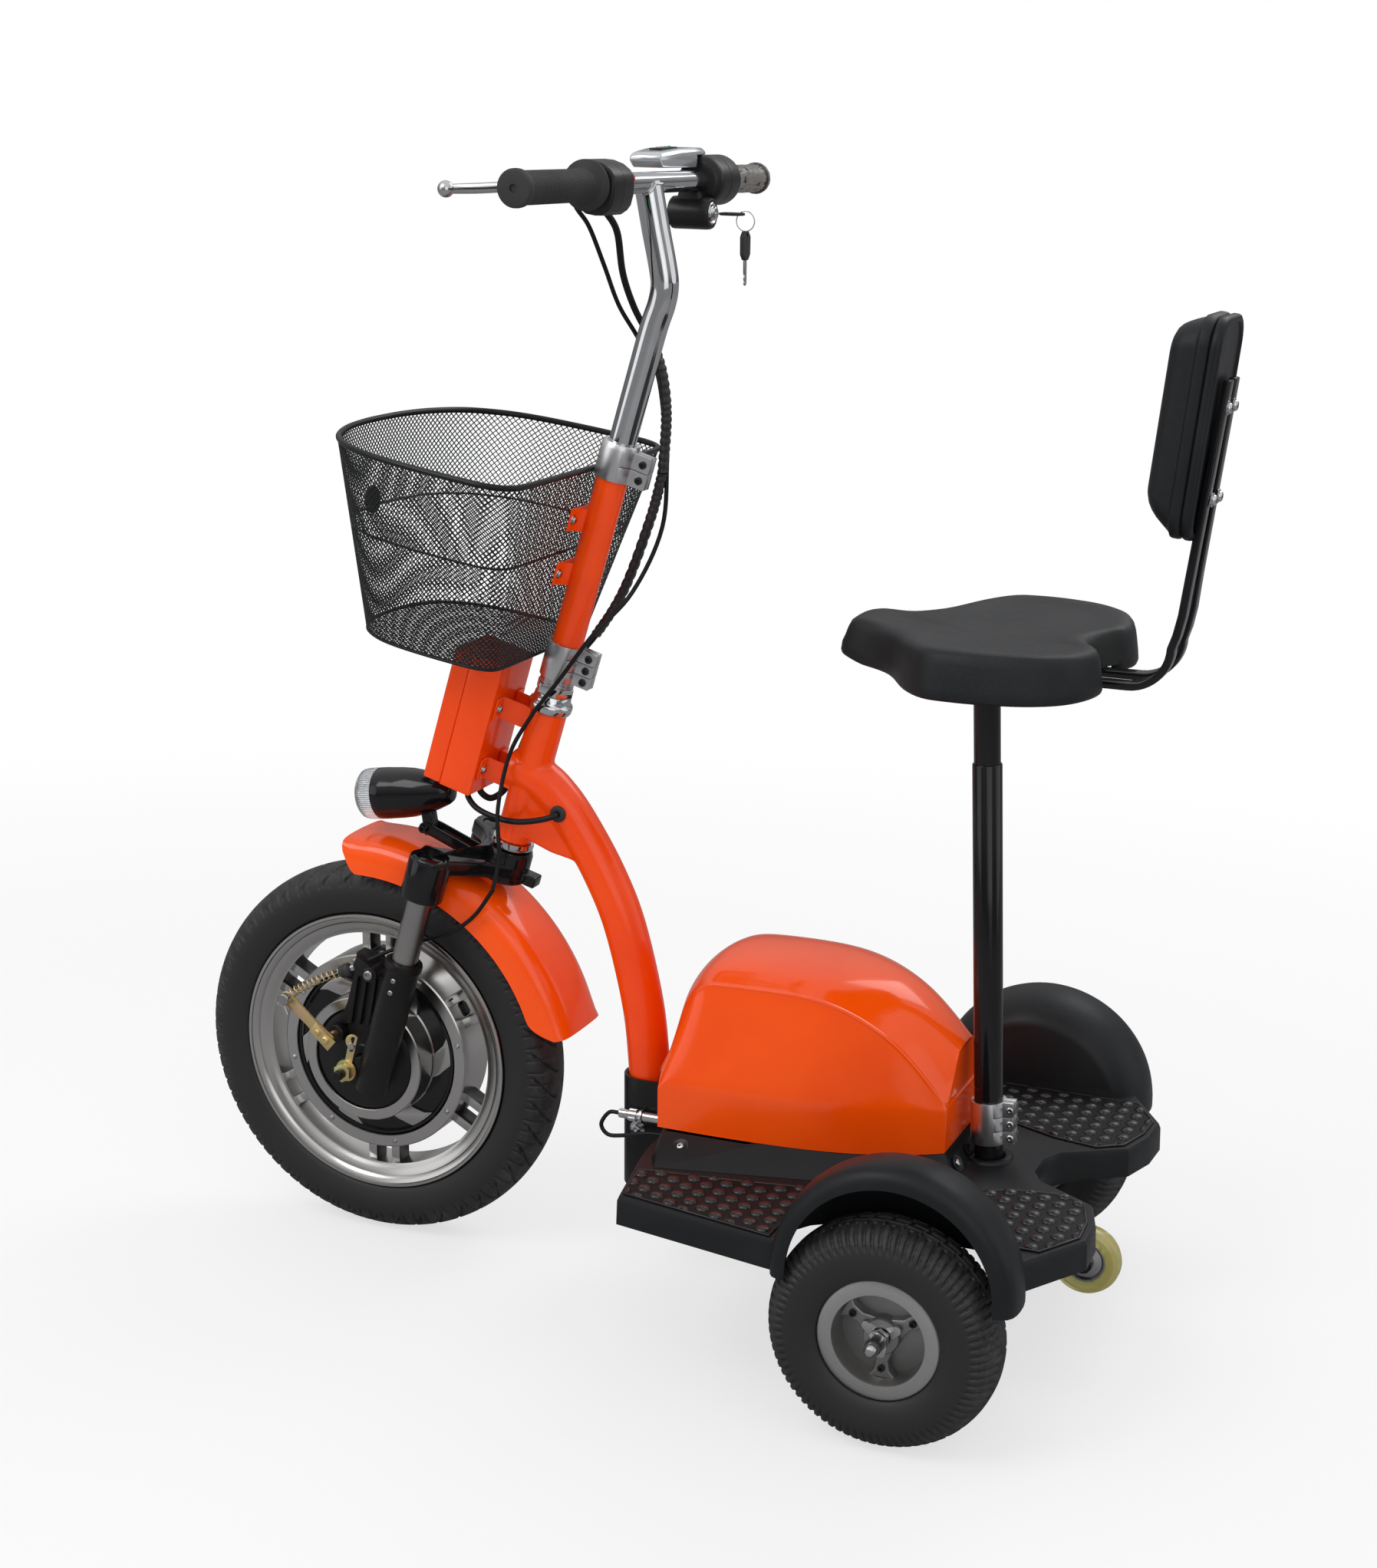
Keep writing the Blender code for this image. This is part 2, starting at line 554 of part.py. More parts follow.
def backrest(scooter):
    rest = add_empty("backrest", scooter, (0.0, 0.2280, 1.0675), (-BACKREST_LEAN, 0.0, 0.0))
    low, high, half = -0.1590, 0.0600, 0.0550

    def ring(inset, y):
        x = half - inset
        corner = max(0.030 - inset * 0.6, 0.010)
        points = []
        for cx, cz, first in ((x - corner, high - inset - corner, 0),
                              (-x + corner, high - inset - corner, 90),
                              (-x + corner, low + inset + corner, 180),
                              (x - corner, low + inset + corner, 270)):
            for px, pz in arc((cx, cz), corner, first, first + 90, 7):
                points.append((px, y, pz))
        return points

    add_part("backrest_pan", loft([ring(0.0, -0.0004), ring(0.0, -0.0100), ring(0.0020, -0.0120)]),
             "black_plastic", rest)
    add_part("backrest_cushion", loft([
        ring(0.0020, -0.0124), ring(0.0030, -0.0170), ring(0.0010, -0.0230), ring(0.0015, -0.0330),
        ring(0.0050, -0.0440), ring(0.0110, -0.0500), ring(0.0200, -0.0535), ring(0.0320, -0.0550)]),
        "vinyl", rest)
    return rest


# Rear wheels
def axle_rings(stations):
    # Each station holds the distance from the middle and the radii at the corners and flats of the nut.
    rings = []
    for x, corner, flat in [(-x, c, f) for x, c, f in reversed(stations)] + stations:
        radii = [corner if k % 2 == 0 else flat for k in range(12)]
        turns = [math.radians(30 * k) for k in range(12)]
        rings.append([(x, r * math.cos(t), r * math.sin(t)) for r, t in zip(radii, turns)])
    return rings


def rear_axle(scooter):
    stations = [(0.2920, 0.0075, 0.0075), (0.2924, 0.0112, 0.0098), (0.3065, 0.0108, 0.0096),
                (0.3230, 0.0090, 0.0088), (0.3300, 0.0028, 0.0028)]
    add_part("rear_axle", loft(axle_rings(stations)), "steel", scooter, (0.0, 0.0, REAR_TYRE_RADIUS))


def tyre_profile(bead, seat, flange, radius, half_width):
    # Bead, side wall, shoulder and a slightly crowned tread
    wall = radius - flange
    half = [(bead, seat), (flange + 0.0005, seat + 0.0024), (flange + 0.0012, half_width * 0.82),
            (flange + wall * 0.45, half_width), (flange + wall * 0.84, half_width * 0.80),
            (radius, half_width * 0.30)]
    return half + [(r, -x) for r, x in reversed(half)]


def rear_wheel(scooter, name, side):
    turn = AXIS_TO_X if side > 0 else AXIS_TO_MINUS_X
    place = (side * TRACK, 0.0, REAR_TYRE_RADIUS)
    add_part("rear_tyre_" + name, turned(tyre_profile(0.0603, 0.0222, REAR_RIM_RADIUS, REAR_TYRE_RADIUS,
                                                      REAR_TYRE_HALF_WIDTH), 20), "rubber",
             scooter, place, turn)
    bore = 0.0081
    rim = [(bore, 0.0170), (0.0180, 0.0170), (0.0190, 0.0020), (0.0480, 0.0000), (0.0512, 0.0280),
           (REAR_RIM_RADIUS, 0.0280), (0.0598, 0.0232), (0.0598, -0.0232), (REAR_RIM_RADIUS, -0.0280),
           (0.0512, -0.0280), (0.0480, -0.0070), (0.0185, -0.0070), (0.0180, -0.0300), (bore, -0.0300)]
    wheel = add_part("rear_rim_" + name, turned(rim, 20), "aluminium", scooter, place, turn)
    for k in range(3):
        # A tapered arm from the hub out to the rim, with its bolt
        angle = math.radians(120 * k + 180)
        arm = loft([[(0.0100, -0.0100, z), (0.0340, -0.0055, z - 0.004), (0.0475, -0.0100, z - 0.005),
                     (0.0475, 0.0100, z - 0.005), (0.0340, 0.0055, z - 0.004), (0.0100, 0.0100, z)]
                    for z in (0.0010, 0.0140)])
        arm.transform(Matrix.Rotation(angle, 4, "Z"))
        fuse(wheel, arm)
    return wheel


def castor(scooter):
    profile = [(0.0034, 0.0140), (0.0100, 0.0140), (0.0110, 0.0090), (0.0230, 0.0090),
               (0.0340, 0.0115), (CASTOR_RADIUS, 0.0035)]
    whole = profile + [(r, -x) for r, x in reversed(profile)]
    add_part("castor_wheel", turned(whole, 16), "amber", scooter, (0.0, CASTOR_Y, CASTOR_Z), AXIS_TO_X)


# Front wheel
def front_wheel(scooter):
    place = (0.0, FRONT_AXLE_Y, FRONT_TYRE_RADIUS)
    add_part("front_tyre", turned(tyre_profile(0.1604, 0.0192, FRONT_RIM_RADIUS, FRONT_TYRE_RADIUS,
                                               FRONT_TYRE_HALF_WIDTH), 36), "rubber",
             scooter, place, AXIS_TO_X)
    profile = [(0.1450, 0.0200), (0.1600, 0.0262), (0.1680, 0.0325), (FRONT_RIM_RADIUS, 0.0325),
               (0.1600, 0.0204)]
    profile += [(r, -x) for r, x in reversed(profile)]
    rim = add_part("front_rim", turned(profile, 36), "aluminium", scooter, place, AXIS_TO_X)
    for k in range(6):
        for offset in (-0.0155, 0.0155):
            spoke = block((0.1180, 0.1470), (offset - 0.0055, offset + 0.0055), (-0.0100, 0.0140))
            spoke.transform(Matrix.Rotation(math.radians(60 * k), 4, "Z"))
            fuse(rim, spoke)
    motor = [(0.1050, 0.0290), (0.1205, 0.0290), (0.1205, -0.0290), (0.1050, -0.0290)]
    fuse(rim, turned(motor, 32))
    left = [(0.0085, 0.0180), (0.1042, 0.0180), (0.1042, 0.0275), (0.1000, 0.0275), (0.0975, 0.0240),
            (0.0775, 0.0240), (0.0760, 0.0560), (0.0632, 0.0560), (0.0632, 0.0330), (0.0085, 0.0330)]
    cover = add_part("motor_cover_left", turned(left, 28), "aluminium", scooter, place, AXIS_TO_X)
    for k in range(6):
        # Polished blades that curve from the brake drum out to the ring
        blade = [(0.0765, -0.0120), (0.0880, -0.0075), (0.1000, 0.0010), (0.0960, 0.0270),
                 (0.0900, 0.0150), (0.0765, 0.0070)]
        shape = prism(blade, 0.0235, 0.0272)
        shape.transform(Matrix.Rotation(math.radians(60 * k + 30), 4, "Z"))
        fuse(cover, shape)
    right = [(0.0085, -0.0180), (0.1042, -0.0180), (0.1042, -0.0275), (0.0420, -0.0340), (0.0250, -0.0440),
             (0.0085, -0.0440)]
    add_part("motor_cover_right", turned(right, 28), "black_gloss", scooter, place, AXIS_TO_X)


# Fork
def fork_crown(column):
    outline = [(0.0000, 0.0265), (0.0220, 0.0160), (0.0400, -0.0060), (0.1010, -0.0440), (0.1020, -0.0640),
               (0.0580, -0.0780), (0.0480, -0.0560), (0.0240, -0.0420), (0.0000, -0.0400)]
    whole = outline + [(-x, y) for x, y in reversed(outline[1:-1])]
    plate = prism(whole, -0.0340, -0.0150)
    item = add_part("fork_crown", soften(plate, 0.003), "black_paint", column)
    fuse(item, turned([(0.0, -0.0400), (0.0240, -0.0400), (0.0265, -0.0370), (0.0265, -0.0060),
                       (0.0245, -0.0003), (STEERER_RADIUS, -0.0003), (STEERER_RADIUS, 0.3000), (0.0, 0.3000)],
                      14))
    for side in (-1, 1):
        # Arm that rises from the leg socket to the collar
        rings = [[(side * x - w, y, s) for w, s in ((0.010, -0.034), (-0.010, -0.034), (-0.008, top),
                                                     (0.008, top))]
                 for x, y, top in ((0.010, -0.016, -0.004), (0.034, -0.034, -0.008),
                                   (0.062, -0.052, -0.016), (0.075, -0.057, -0.022))]
        fuse(item, loft(rings))
        fuse(item, turned([(0.0, -0.0680), (0.0232, -0.0680), (0.0245, -0.0660), (0.0245, -0.0205),
                           (0.0225, -0.0185), (0.0, -0.0185)], 14), (side * LEG_SPREAD, LEG_SET, 0))
    fuse(item, block((-0.010, 0.010), (0.0150, 0.0420), (-0.0360, -0.0220)))
    for side in (-1, 1):
        cut(item, rod(STANCHION_RADIUS + GAP, -0.08, 0.0, 16), (side * LEG_SPREAD, LEG_SET, 0))
        # Lamp bracket arms
        low, high = sorted((side * 0.0085, side * 0.0115))
        strip = [(-0.0380, -0.0320), (-0.0380, -0.0180), (-0.1010, -0.0125), (-0.1120, -0.0170),
                 (-0.1120, -0.0230), (-0.1010, -0.0265)]
        fuse(item, side_prism(strip, low, high))
    return item


def stanchions(column):
    for name, side in (("left", 1), ("right", -1)):
        top = -0.0190
        add_part("stanchion_" + name, turned([(0.0, top), (0.0135, top), (STANCHION_RADIUS, top - 0.001),
                                              (STANCHION_RADIUS, -0.2620), (0.0, -0.2620)], 16),
                 "chrome", column, (side * LEG_SPREAD, LEG_SET, 0.0))


def lower_legs(column):
    bore = STANCHION_RADIUS + GAP
    for name, side in (("left", 1), ("right", -1)):
        profile = [(0.0, -0.3250), (0.0150, -0.3240), (LOWER_LEG_RADIUS, -0.3190), (LOWER_LEG_RADIUS, -0.1620),
                   (0.0215, -0.1600), (0.0220, -0.1530), (0.0205, -0.1510), (bore, -0.1510),
                   (bore, -0.2980), (0.0, -0.2980)]
        leg = add_part("fork_leg_" + name, turned(profile, 16), "black_paint", column,
                       (side * LEG_SPREAD, LEG_SET, 0.0))
        # Dropout lug that reaches forward to the axle
        lug = [(-0.0160, -0.3240), (-0.0160, -0.2860)] + arc((-0.0292, -0.3055), 0.0150, 100, 260, 7)
        low, high = sorted((side * 0.0010, side * 0.0130))
        fuse(leg, side_prism(lug, low, high))
        cut(leg, rod(0.0080, -0.03, 0.03, 12), (0, -0.0292, -0.3055), AXIS_TO_X)


def front_axle(scooter):
    stations = [(0.0923, 0.0074, 0.0074), (0.0925, 0.0130, 0.0130), (0.0945, 0.0130, 0.0130),
                (0.0948, 0.0118, 0.0103), (0.1060, 0.0118, 0.0103), (0.1065, 0.0062, 0.0062),
                (0.1180, 0.0062, 0.0062)]
    add_part("front_axle", loft(axle_rings(stations)), "zinc", scooter,
             (0.0, FRONT_AXLE_Y, FRONT_TYRE_RADIUS))


def brake_plate(scooter):
    place = (0.0, FRONT_AXLE_Y, FRONT_TYRE_RADIUS)
    disc = turned([(0.0085, 0.0480), (0.0625, 0.0480), (0.0625, 0.0530), (0.0560, 0.0560),
                   (0.0085, 0.0575)], 28)
    disc.transform(Matrix.Rotation(math.pi / 2, 4, "Y"))
    plate = add_part("brake_plate", disc, "black_paint", scooter, place)
    # Bracket with ribs up to the anchor bolt and the cable stop
    bracket = [(-0.0300, 0.0420), (0.0260, 0.0500), (0.0420, 0.1080), (0.0400, 0.1280), (0.0080, 0.1410),
               (-0.0020, 0.1330), (-0.0060, 0.1050)]
    fuse(plate, side_prism(bracket, 0.0565, 0.0620))
    for offset in (-0.010, 0.002, 0.014):
        rib = [(offset, 0.0480), (offset + 0.004, 0.0480), (offset + 0.013, 0.1050), (offset + 0.010, 0.1050)]
        fuse(plate, side_prism(rib, 0.0610, 0.0670))
    fuse(plate, rod(0.0090, 0.0600, 0.0900, 12), (0.0, 0.0309, 0.1199), AXIS_TO_X)
    fuse(plate, rod(0.0060, 0.0890, 0.0940, 6), (0.0, 0.0309, 0.1199), AXIS_TO_X)
    fuse(plate, side_prism([(0.0080, 0.1240), (0.0300, 0.1140), (0.0300, 0.1300), (0.0130, 0.1390)],
                           0.0600, 0.0880))
    # Housing of the brake cam under the arm
    fuse(plate, rod(0.0110, 0.0540, 0.0700, 12), (0.0, -0.0284, 0.0320), AXIS_TO_X)
    return plate


def brake_arm(scooter):
    # The arm turns on the cam shaft. Its far end takes the cable.
    pivot = add_empty("brake_cam", scooter, (0.0, -0.7558, 0.2605))
    reach = Vector((-0.0509, 0.0440))
    angle = math.degrees(math.atan2(reach.y, reach.x))
    outline = arc((0.0, 0.0), 0.0105, angle + 100, angle + 260, 7)
    outline += arc((reach.x, reach.y), 0.0090, angle - 90, angle + 90, 7)
    arm = add_part("brake_arm", side_prism(outline, 0.0860, 0.0895), "zinc", pivot)
    fuse(arm, rod(0.0055, 0.0703, 0.0940, 12), (0, 0, 0), AXIS_TO_X)
    fuse(arm, rod(0.0065, 0.0850, 0.0990, 12), (0, reach.x, reach.y), AXIS_TO_X)
    return pivot


def brake_spring(scooter):
    # One unbroken coil along the bent line of the cable, from the arm to the cable stop
    start, middle, end = Vector((0.0940, -0.7985, 0.3125)), Vector((0.0930, -0.7700, 0.3330)), \
        Vector((0.0880, -0.7330, 0.3470))
    curls = 11
    per_curl = 8
    radius, wire = 0.0048, 0.0007
    points = []
    for i in range(curls * per_curl + 1):
        t = i / (curls * per_curl)
        centre = start * (1 - t) ** 2 + middle * 2 * t * (1 - t) + end * t * t
        heading = ((middle - start) * (1 - t) + (end - middle) * t).normalized()
        across = heading.cross(Vector((1, 0, 0))).normalized()
        other = heading.cross(across)
        turn = 2 * math.pi * i / per_curl
        points.append(centre + radius * (across * math.cos(turn) + other * math.sin(turn)))
    gap = 1.0
    for i, point in enumerate(points):
        for other_point in points[i + per_curl - 2:]:
            gap = min(gap, (point - other_point).length - 2 * wire)
    print("least gap of the spring to itself, mm:", round(gap * 1000, 2))
    curve = bpy.data.curves.new("brake_spring", "CURVE")
    curve.dimensions = "3D"
    curve.bevel_depth = wire
    curve.bevel_resolution = 1
    curve.use_fill_caps = True
    line = curve.splines.new("POLY")
    line.points.add(len(points) - 1)
    for place, point in zip(line.points, points):
        place.co = (*point, 1.0)
    item = bpy.data.objects.new("brake_spring", curve)
    bpy.context.collection.objects.link(item)
    item.parent = scooter
    give_material(item, "zinc")


def front_fender(scooter):
    def section(radius, thickness):
        # Half section of the mudguard: distance from the middle plane and from the axle
        outer = [(0.0530, radius - 0.0420), (0.0530, radius - 0.0260), (0.0500, radius - 0.0140),
                 (0.0420, radius - 0.0060), (0.0260, radius - 0.0015), (0.0, radius)]
        outer = outer + [(-x, r) for x, r in reversed(outer[:-1])]
        inner = [(x * (1 - thickness / 0.053), r - thickness) for x, r in outer]
        inner[0] = (inner[0][0], outer[0][1])
        inner[-1] = (inner[-1][0], outer[-1][1])
        return outer + inner[::-1]

    rings = []
    for i in range(15):
        # Angles run from just ahead of the top, over it and down behind the wheel.
        angle = math.radians(95.0 - 82.0 * i / 14)
        rings.append([(x, r * math.cos(angle), r * math.sin(angle)) for x, r in section(0.268, 0.003)])
    place = (0.0, FRONT_AXLE_Y, FRONT_TYRE_RADIUS)
    item = add_part("front_fender", loft(rings), "orange", scooter, place)
    lug = side_prism([(-0.0340, -0.0405), (-0.0340, -0.0450), (-0.0060, -0.0520), (-0.0060, -0.0405)],
                     -0.0140, 0.0140)
    lug.transform(Matrix.Translation((0.0, COLUMN_Y - FRONT_AXLE_Y, COLUMN_Z - FRONT_TYRE_RADIUS))
                  @ Matrix.Rotation(-COLUMN_TILT, 4, "X"))
    fuse(item, lug)
    return item


# Steering stem
def stem(column):
    lower = add_part("stem_lower", turned([(STEM_BORE, 0.2140), (STEM_RADIUS, 0.2140),
                                           (STEM_RADIUS, 0.4700), (STEM_BORE, 0.4700)], 20), "orange", column)
    for along in (0.3315, 0.3941):
        # Tab that carries the basket
        fuse(lower, block((-0.0330, 0.0330), (-0.0233, -0.0205), (along - 0.013, along + 0.013)))
        fuse(lower, block((-0.0140, 0.0140), (-0.0215, -0.0160), (along - 0.013, along + 0.013)))
    cut(lower, rod(STEM_BORE, 0.2, 0.5, 20))
    grip = STEM_RADIUS + 2.0 * GAP
    collar = add_part("clamp_lower", turned([(grip, 0.2122), (0.0215, 0.2122), (0.0215, 0.2536),
                                             (grip, 0.2536)], 16), "aluminium", column)
    fuse(collar, block((-0.0080, 0.0080), (0.0190, 0.0400), (0.2122, 0.2536)))
    cut(collar, block((-0.0012, 0.0012), (0.0, 0.0450), (0.2000, 0.2700)))
    cut(collar, block((-0.0300, 0.0300), (0.0050, 0.0450), (0.2323, 0.2335)))
    upper = add_part("clamp_upper", turned([(grip, 0.4473), (0.0215, 0.4473), (0.0215, 0.4790),
                                            (0.0195, 0.4879), (0.0152, 0.4879), (0.0152, 0.4706),
                                            (grip, 0.4703)], 16), "aluminium", column)
    fuse(upper, block((-0.0080, 0.0080), (0.0190, 0.0400), (0.4473, 0.4830)))
    cut(upper, block((-0.0012, 0.0012), (0.0, 0.0450), (0.4400, 0.4950)))
    cut(upper, block((-0.0300, 0.0300), (0.0050, 0.0450), (0.4648, 0.4660)))
    # Lock nut under the lower clamp
    fuse(collar, rod(0.0225, 0.1930, 0.2035, 6, math.pi / 6))
    fuse(collar, rod(0.0195, 0.2030, 0.2130, 16))
    cut(collar, rod(STEERER_RADIUS + 2.0 * GAP, 0.19, 0.2139, 16))


def basket(scooter):
    # Plan of the rim: flat against the stem and rounded at the front
    def ring(half_width, front, back, z_back, slope, bulge):
        corner = min(0.100, half_width * 0.62)
        points = []
        outline = [(half_width - 0.03, back), (half_width - 0.008, back - 0.006), (half_width, back - 0.03),
                   (half_width + bulge, front + corner)]
        outline += arc((half_width - corner, front + corner), corner, 0, -90, 8)[1:]
        whole = outline + [(-x, y) for x, y in reversed(outline)]
        for x, y in whole:
            points.append((x, y, z_back + slope * (back - y)))
        return points

    wall = 0.0022
    slope = 0.15
    top_out = ring(0.2050, -0.7130, -0.4520, 0.9340, slope, 0.006)
    mid_out = ring(0.1600, -0.7080, -0.4835, 0.8300, slope, 0.004)
    low_out = ring(0.1180, -0.7030, -0.5148, 0.7260, slope, 0.002)
    low_in = ring(0.1180 - wall, -0.7030 + wall, -0.5148 - wall, 0.7282, slope, 0.002)
    mid_in = ring(0.1600 - wall, -0.7080 + wall, -0.4835 - wall, 0.8300, slope, 0.004)
    top_in = ring(0.2050 - wall, -0.7130 + wall, -0.4520 - wall, 0.9340, slope, 0.006)
    item = add_part("basket", loft([low_in, mid_in, top_in, top_out, mid_out, low_out]), "black_paint", scooter)
    return item


def headlamp(scooter):
    lamp = add_empty("lamp", scooter, (0.0, -0.6320, 0.5525), (math.radians(98.0), 0.0, 0.0))
    body = [(0.0, 0.0), (0.0110, 0.0), (0.0155, 0.0050), (0.0205, 0.0180), (0.0255, 0.0340),
            (0.0285, 0.0500), (0.0300, 0.0800), (0.0300, 0.0925), (0.0280, 0.0925), (0.0190, 0.0700),
            (0.0070, 0.0620), (0.0, 0.0620)]
    item = add_part("headlamp", turned(body, 20), "black_gloss", lamp)
    foot = block((-0.0082, 0.0082), (-0.0500, -0.0200), (0.0280, 0.0420))
    fuse(item, foot)
    glass = [(0.0, 0.1185), (0.0140, 0.1178), (0.0255, 0.1150), (0.0296, 0.1085), (0.0300, 0.0928),
             (0.0284, 0.0928), (0.0280, 0.1075), (0.0243, 0.1130), (0.0130, 0.1158), (0.0, 0.1163)]
    add_part("lamp_lens", turned(glass, 20), "clear", lamp)
    return lamp


# Handlebar and controls
def handlebar(scooter):
    route = [(0.0, *on_column(0.0, along)) for along in (0.400, 0.480, 0.560, 0.615)]
    bend = [(0.0, -0.3735, 1.1105), (0.0, -0.3700, 1.1300), (0.0, -0.3725, 1.1500)]
    path = route + bend + [(0.0, -0.3800, 1.1850), (0.0, BAR_Y, BAR_Z)]
    fine = smooth_path(path[3:8], 2)
    whole = [Vector(p) for p in route[:3]] + fine + [Vector(path[-1])]
    item = add_part("handlebar", swept(whole, CHROME_STEM_RADIUS, 16), "chrome", scooter)
    fuse(item, rod(BAR_RADIUS, -BAR_HALF, BAR_HALF, 16), (0, BAR_Y, BAR_Z), AXIS_TO_X)
    return item


def hand_grip(scooter, name, side, inner, flange):
    bore = BAR_RADIUS + 2.0 * GAP
    profile = [(0.0, 0.3044), (bore, 0.3044), (bore, inner), (flange, inner), (flange, inner + 0.0050),
               (0.0160, inner + 0.0140), (0.0160, 0.2960), (0.0182, 0.3000), (0.0178, 0.3075), (0.0, 0.3080)]
    turn = AXIS_TO_X if side > 0 else AXIS_TO_MINUS_X
    return add_part(name, turned(profile, 16), "rubber", scooter, (0.0, BAR_Y, BAR_Z), turn)


def switch_housing(scooter):
    # Outline seen along the bar: round it above, with a chin below and the lever perch in front
    outline = [(0.0240, 0.0150), (0.0060, 0.0240), (-0.0120, 0.0235), (-0.0270, 0.0120), (-0.0290, -0.0060),
               (-0.0150, -0.0180), (-0.0040, -0.0280), (0.0140, -0.0290), (0.0245, -0.0200), (0.0280, -0.0020),
               (0.0280, 0.0090)]
    shape = soften(side_prism(outline, 0.0950, 0.1450), 0.002, 1, 70)
    item = add_part("switch_housing", shape, "black_plastic", scooter, (0.0, BAR_Y, BAR_Z))
    fuse(item, block((0.1080, 0.1260), (-0.0460, -0.0240), (-0.0114, -0.0077)))
    fuse(item, block((0.1080, 0.1260), (-0.0460, -0.0240), (0.0037, 0.0074)))
    cut(item, rod(BAR_RADIUS + 2.0 * GAP, 0.08, 0.16, 16), (0, 0, 0), AXIS_TO_X)
    for y, z in (RED_BUTTON, GREEN_BUTTON):
        cut(item, rod(0.0073, 0.0900, 0.0990, 12), (0, y, z), AXIS_TO_X)
    return item


def buttons(scooter):
    for name, look, (y, z) in (("button_red", "red", RED_BUTTON), ("button_green", "green", GREEN_BUTTON)):
        profile = [(0.0, 0.0965), (0.0068, 0.0965), (0.0068, 0.0880), (0.0055, 0.0865), (0.0, 0.0860)]
        add_part(name, turned(profile, 12), look, scooter, (0.0, BAR_Y + y, BAR_Z + z), AXIS_TO_X)


def brake_lever(scooter):
    # The lever turns on an upright pin in the perch. Its blade runs out in front of the grip.
    pin = add_empty("lever_pin", scooter, (0.1170, BAR_Y - 0.0375, BAR_Z - 0.0020))
    blade = [(0.0, 0.0, 0.0), (0.0250, -0.0130, 0.0), (0.0600, -0.0330, -0.0010), (0.1000, -0.0440, -0.0020),
             (0.1400, -0.0500, -0.0020), (0.1530, -0.0530, -0.0020)]
    route = smooth_path(blade, 2)
    item = add_part("brake_lever", swept(route, 0.0052, 8), "chrome", pin)
    fuse(item, rod(0.0072, -0.0054, 0.0054, 12))
    ball = bmesh.new()
    bmesh.ops.create_uvsphere(ball, u_segments=8, v_segments=5, radius=0.0080)
    fuse(item, ball, blade[-1])
    return item


def throttle_side(scooter):
    place = (0.0, BAR_Y, BAR_Z)
    collar = [(BAR_RADIUS + GAP, 0.1350), (0.0200, 0.1350), (0.0255, 0.1400), (0.0270, 0.1500),
              (0.0270, 0.1900), (0.0250, 0.1950), (BAR_RADIUS + GAP, 0.1950)]
    item = add_part("throttle_housing", turned(collar, 16), "black_plastic", scooter, place, AXIS_TO_MINUS_X)
    # The lock barrel hangs under the bar, on a neck, and its face points at the rider.
    to_collar = Matrix.Rotation(math.pi / 2, 4, "Y")
    to_barrel = to_collar @ Matrix.Translation((-0.1300, 0.0, -0.0337)) @ Matrix.Rotation(math.pi / 2, 4, "X")
    neck = soften(block((-0.1500, -0.1200), (-0.0200, 0.0080), (-0.0420, -0.0100)), 0.004)
    neck.transform(to_collar)
    fuse(item, neck)
    barrel = rod(0.0175, -0.0190, 0.0285, 16)
    barrel.transform(to_barrel)
    fuse(item, barrel)
    bore = rod(0.0084, -0.0300, -0.0070, 12)
    bore.transform(to_barrel)
    cut(item, bore)
    cut(item, rod(BAR_RADIUS + 2.0 * GAP, 0.05, 0.25, 16))
    shape = loft([[(-0.0560, -0.0440, 0.0136), (-0.1300, -0.0470, 0.0136), (-0.1700, -0.0330, 0.0136),
                   (-0.1700, -0.0060, 0.0136), (-0.1300, 0.0010, 0.0136), (-0.0560, -0.0080, 0.0136)],
                  [(-0.0500, -0.0460, 0.0240), (-0.1300, -0.0500, 0.0270), (-0.1720, -0.0360, 0.0290),
                   (-0.1720, -0.0060, 0.0290), (-0.1300, 0.0020, 0.0285), (-0.0500, -0.0060, 0.0240)],
                  [(-0.0580, -0.0410, 0.0300), (-0.1270, -0.0450, 0.0350), (-0.1600, -0.0330, 0.0340),
                   (-0.1600, -0.0090, 0.0340), (-0.1270, -0.0030, 0.0350), (-0.0580, -0.0110, 0.0300)]])
    cover = add_part("display_pod", soften(shape, 0.002), "silver", scooter, place)
    cut(cover, rod(0.0277, -0.1990, -0.1280, 16), (0, 0, 0), AXIS_TO_X)
    return item


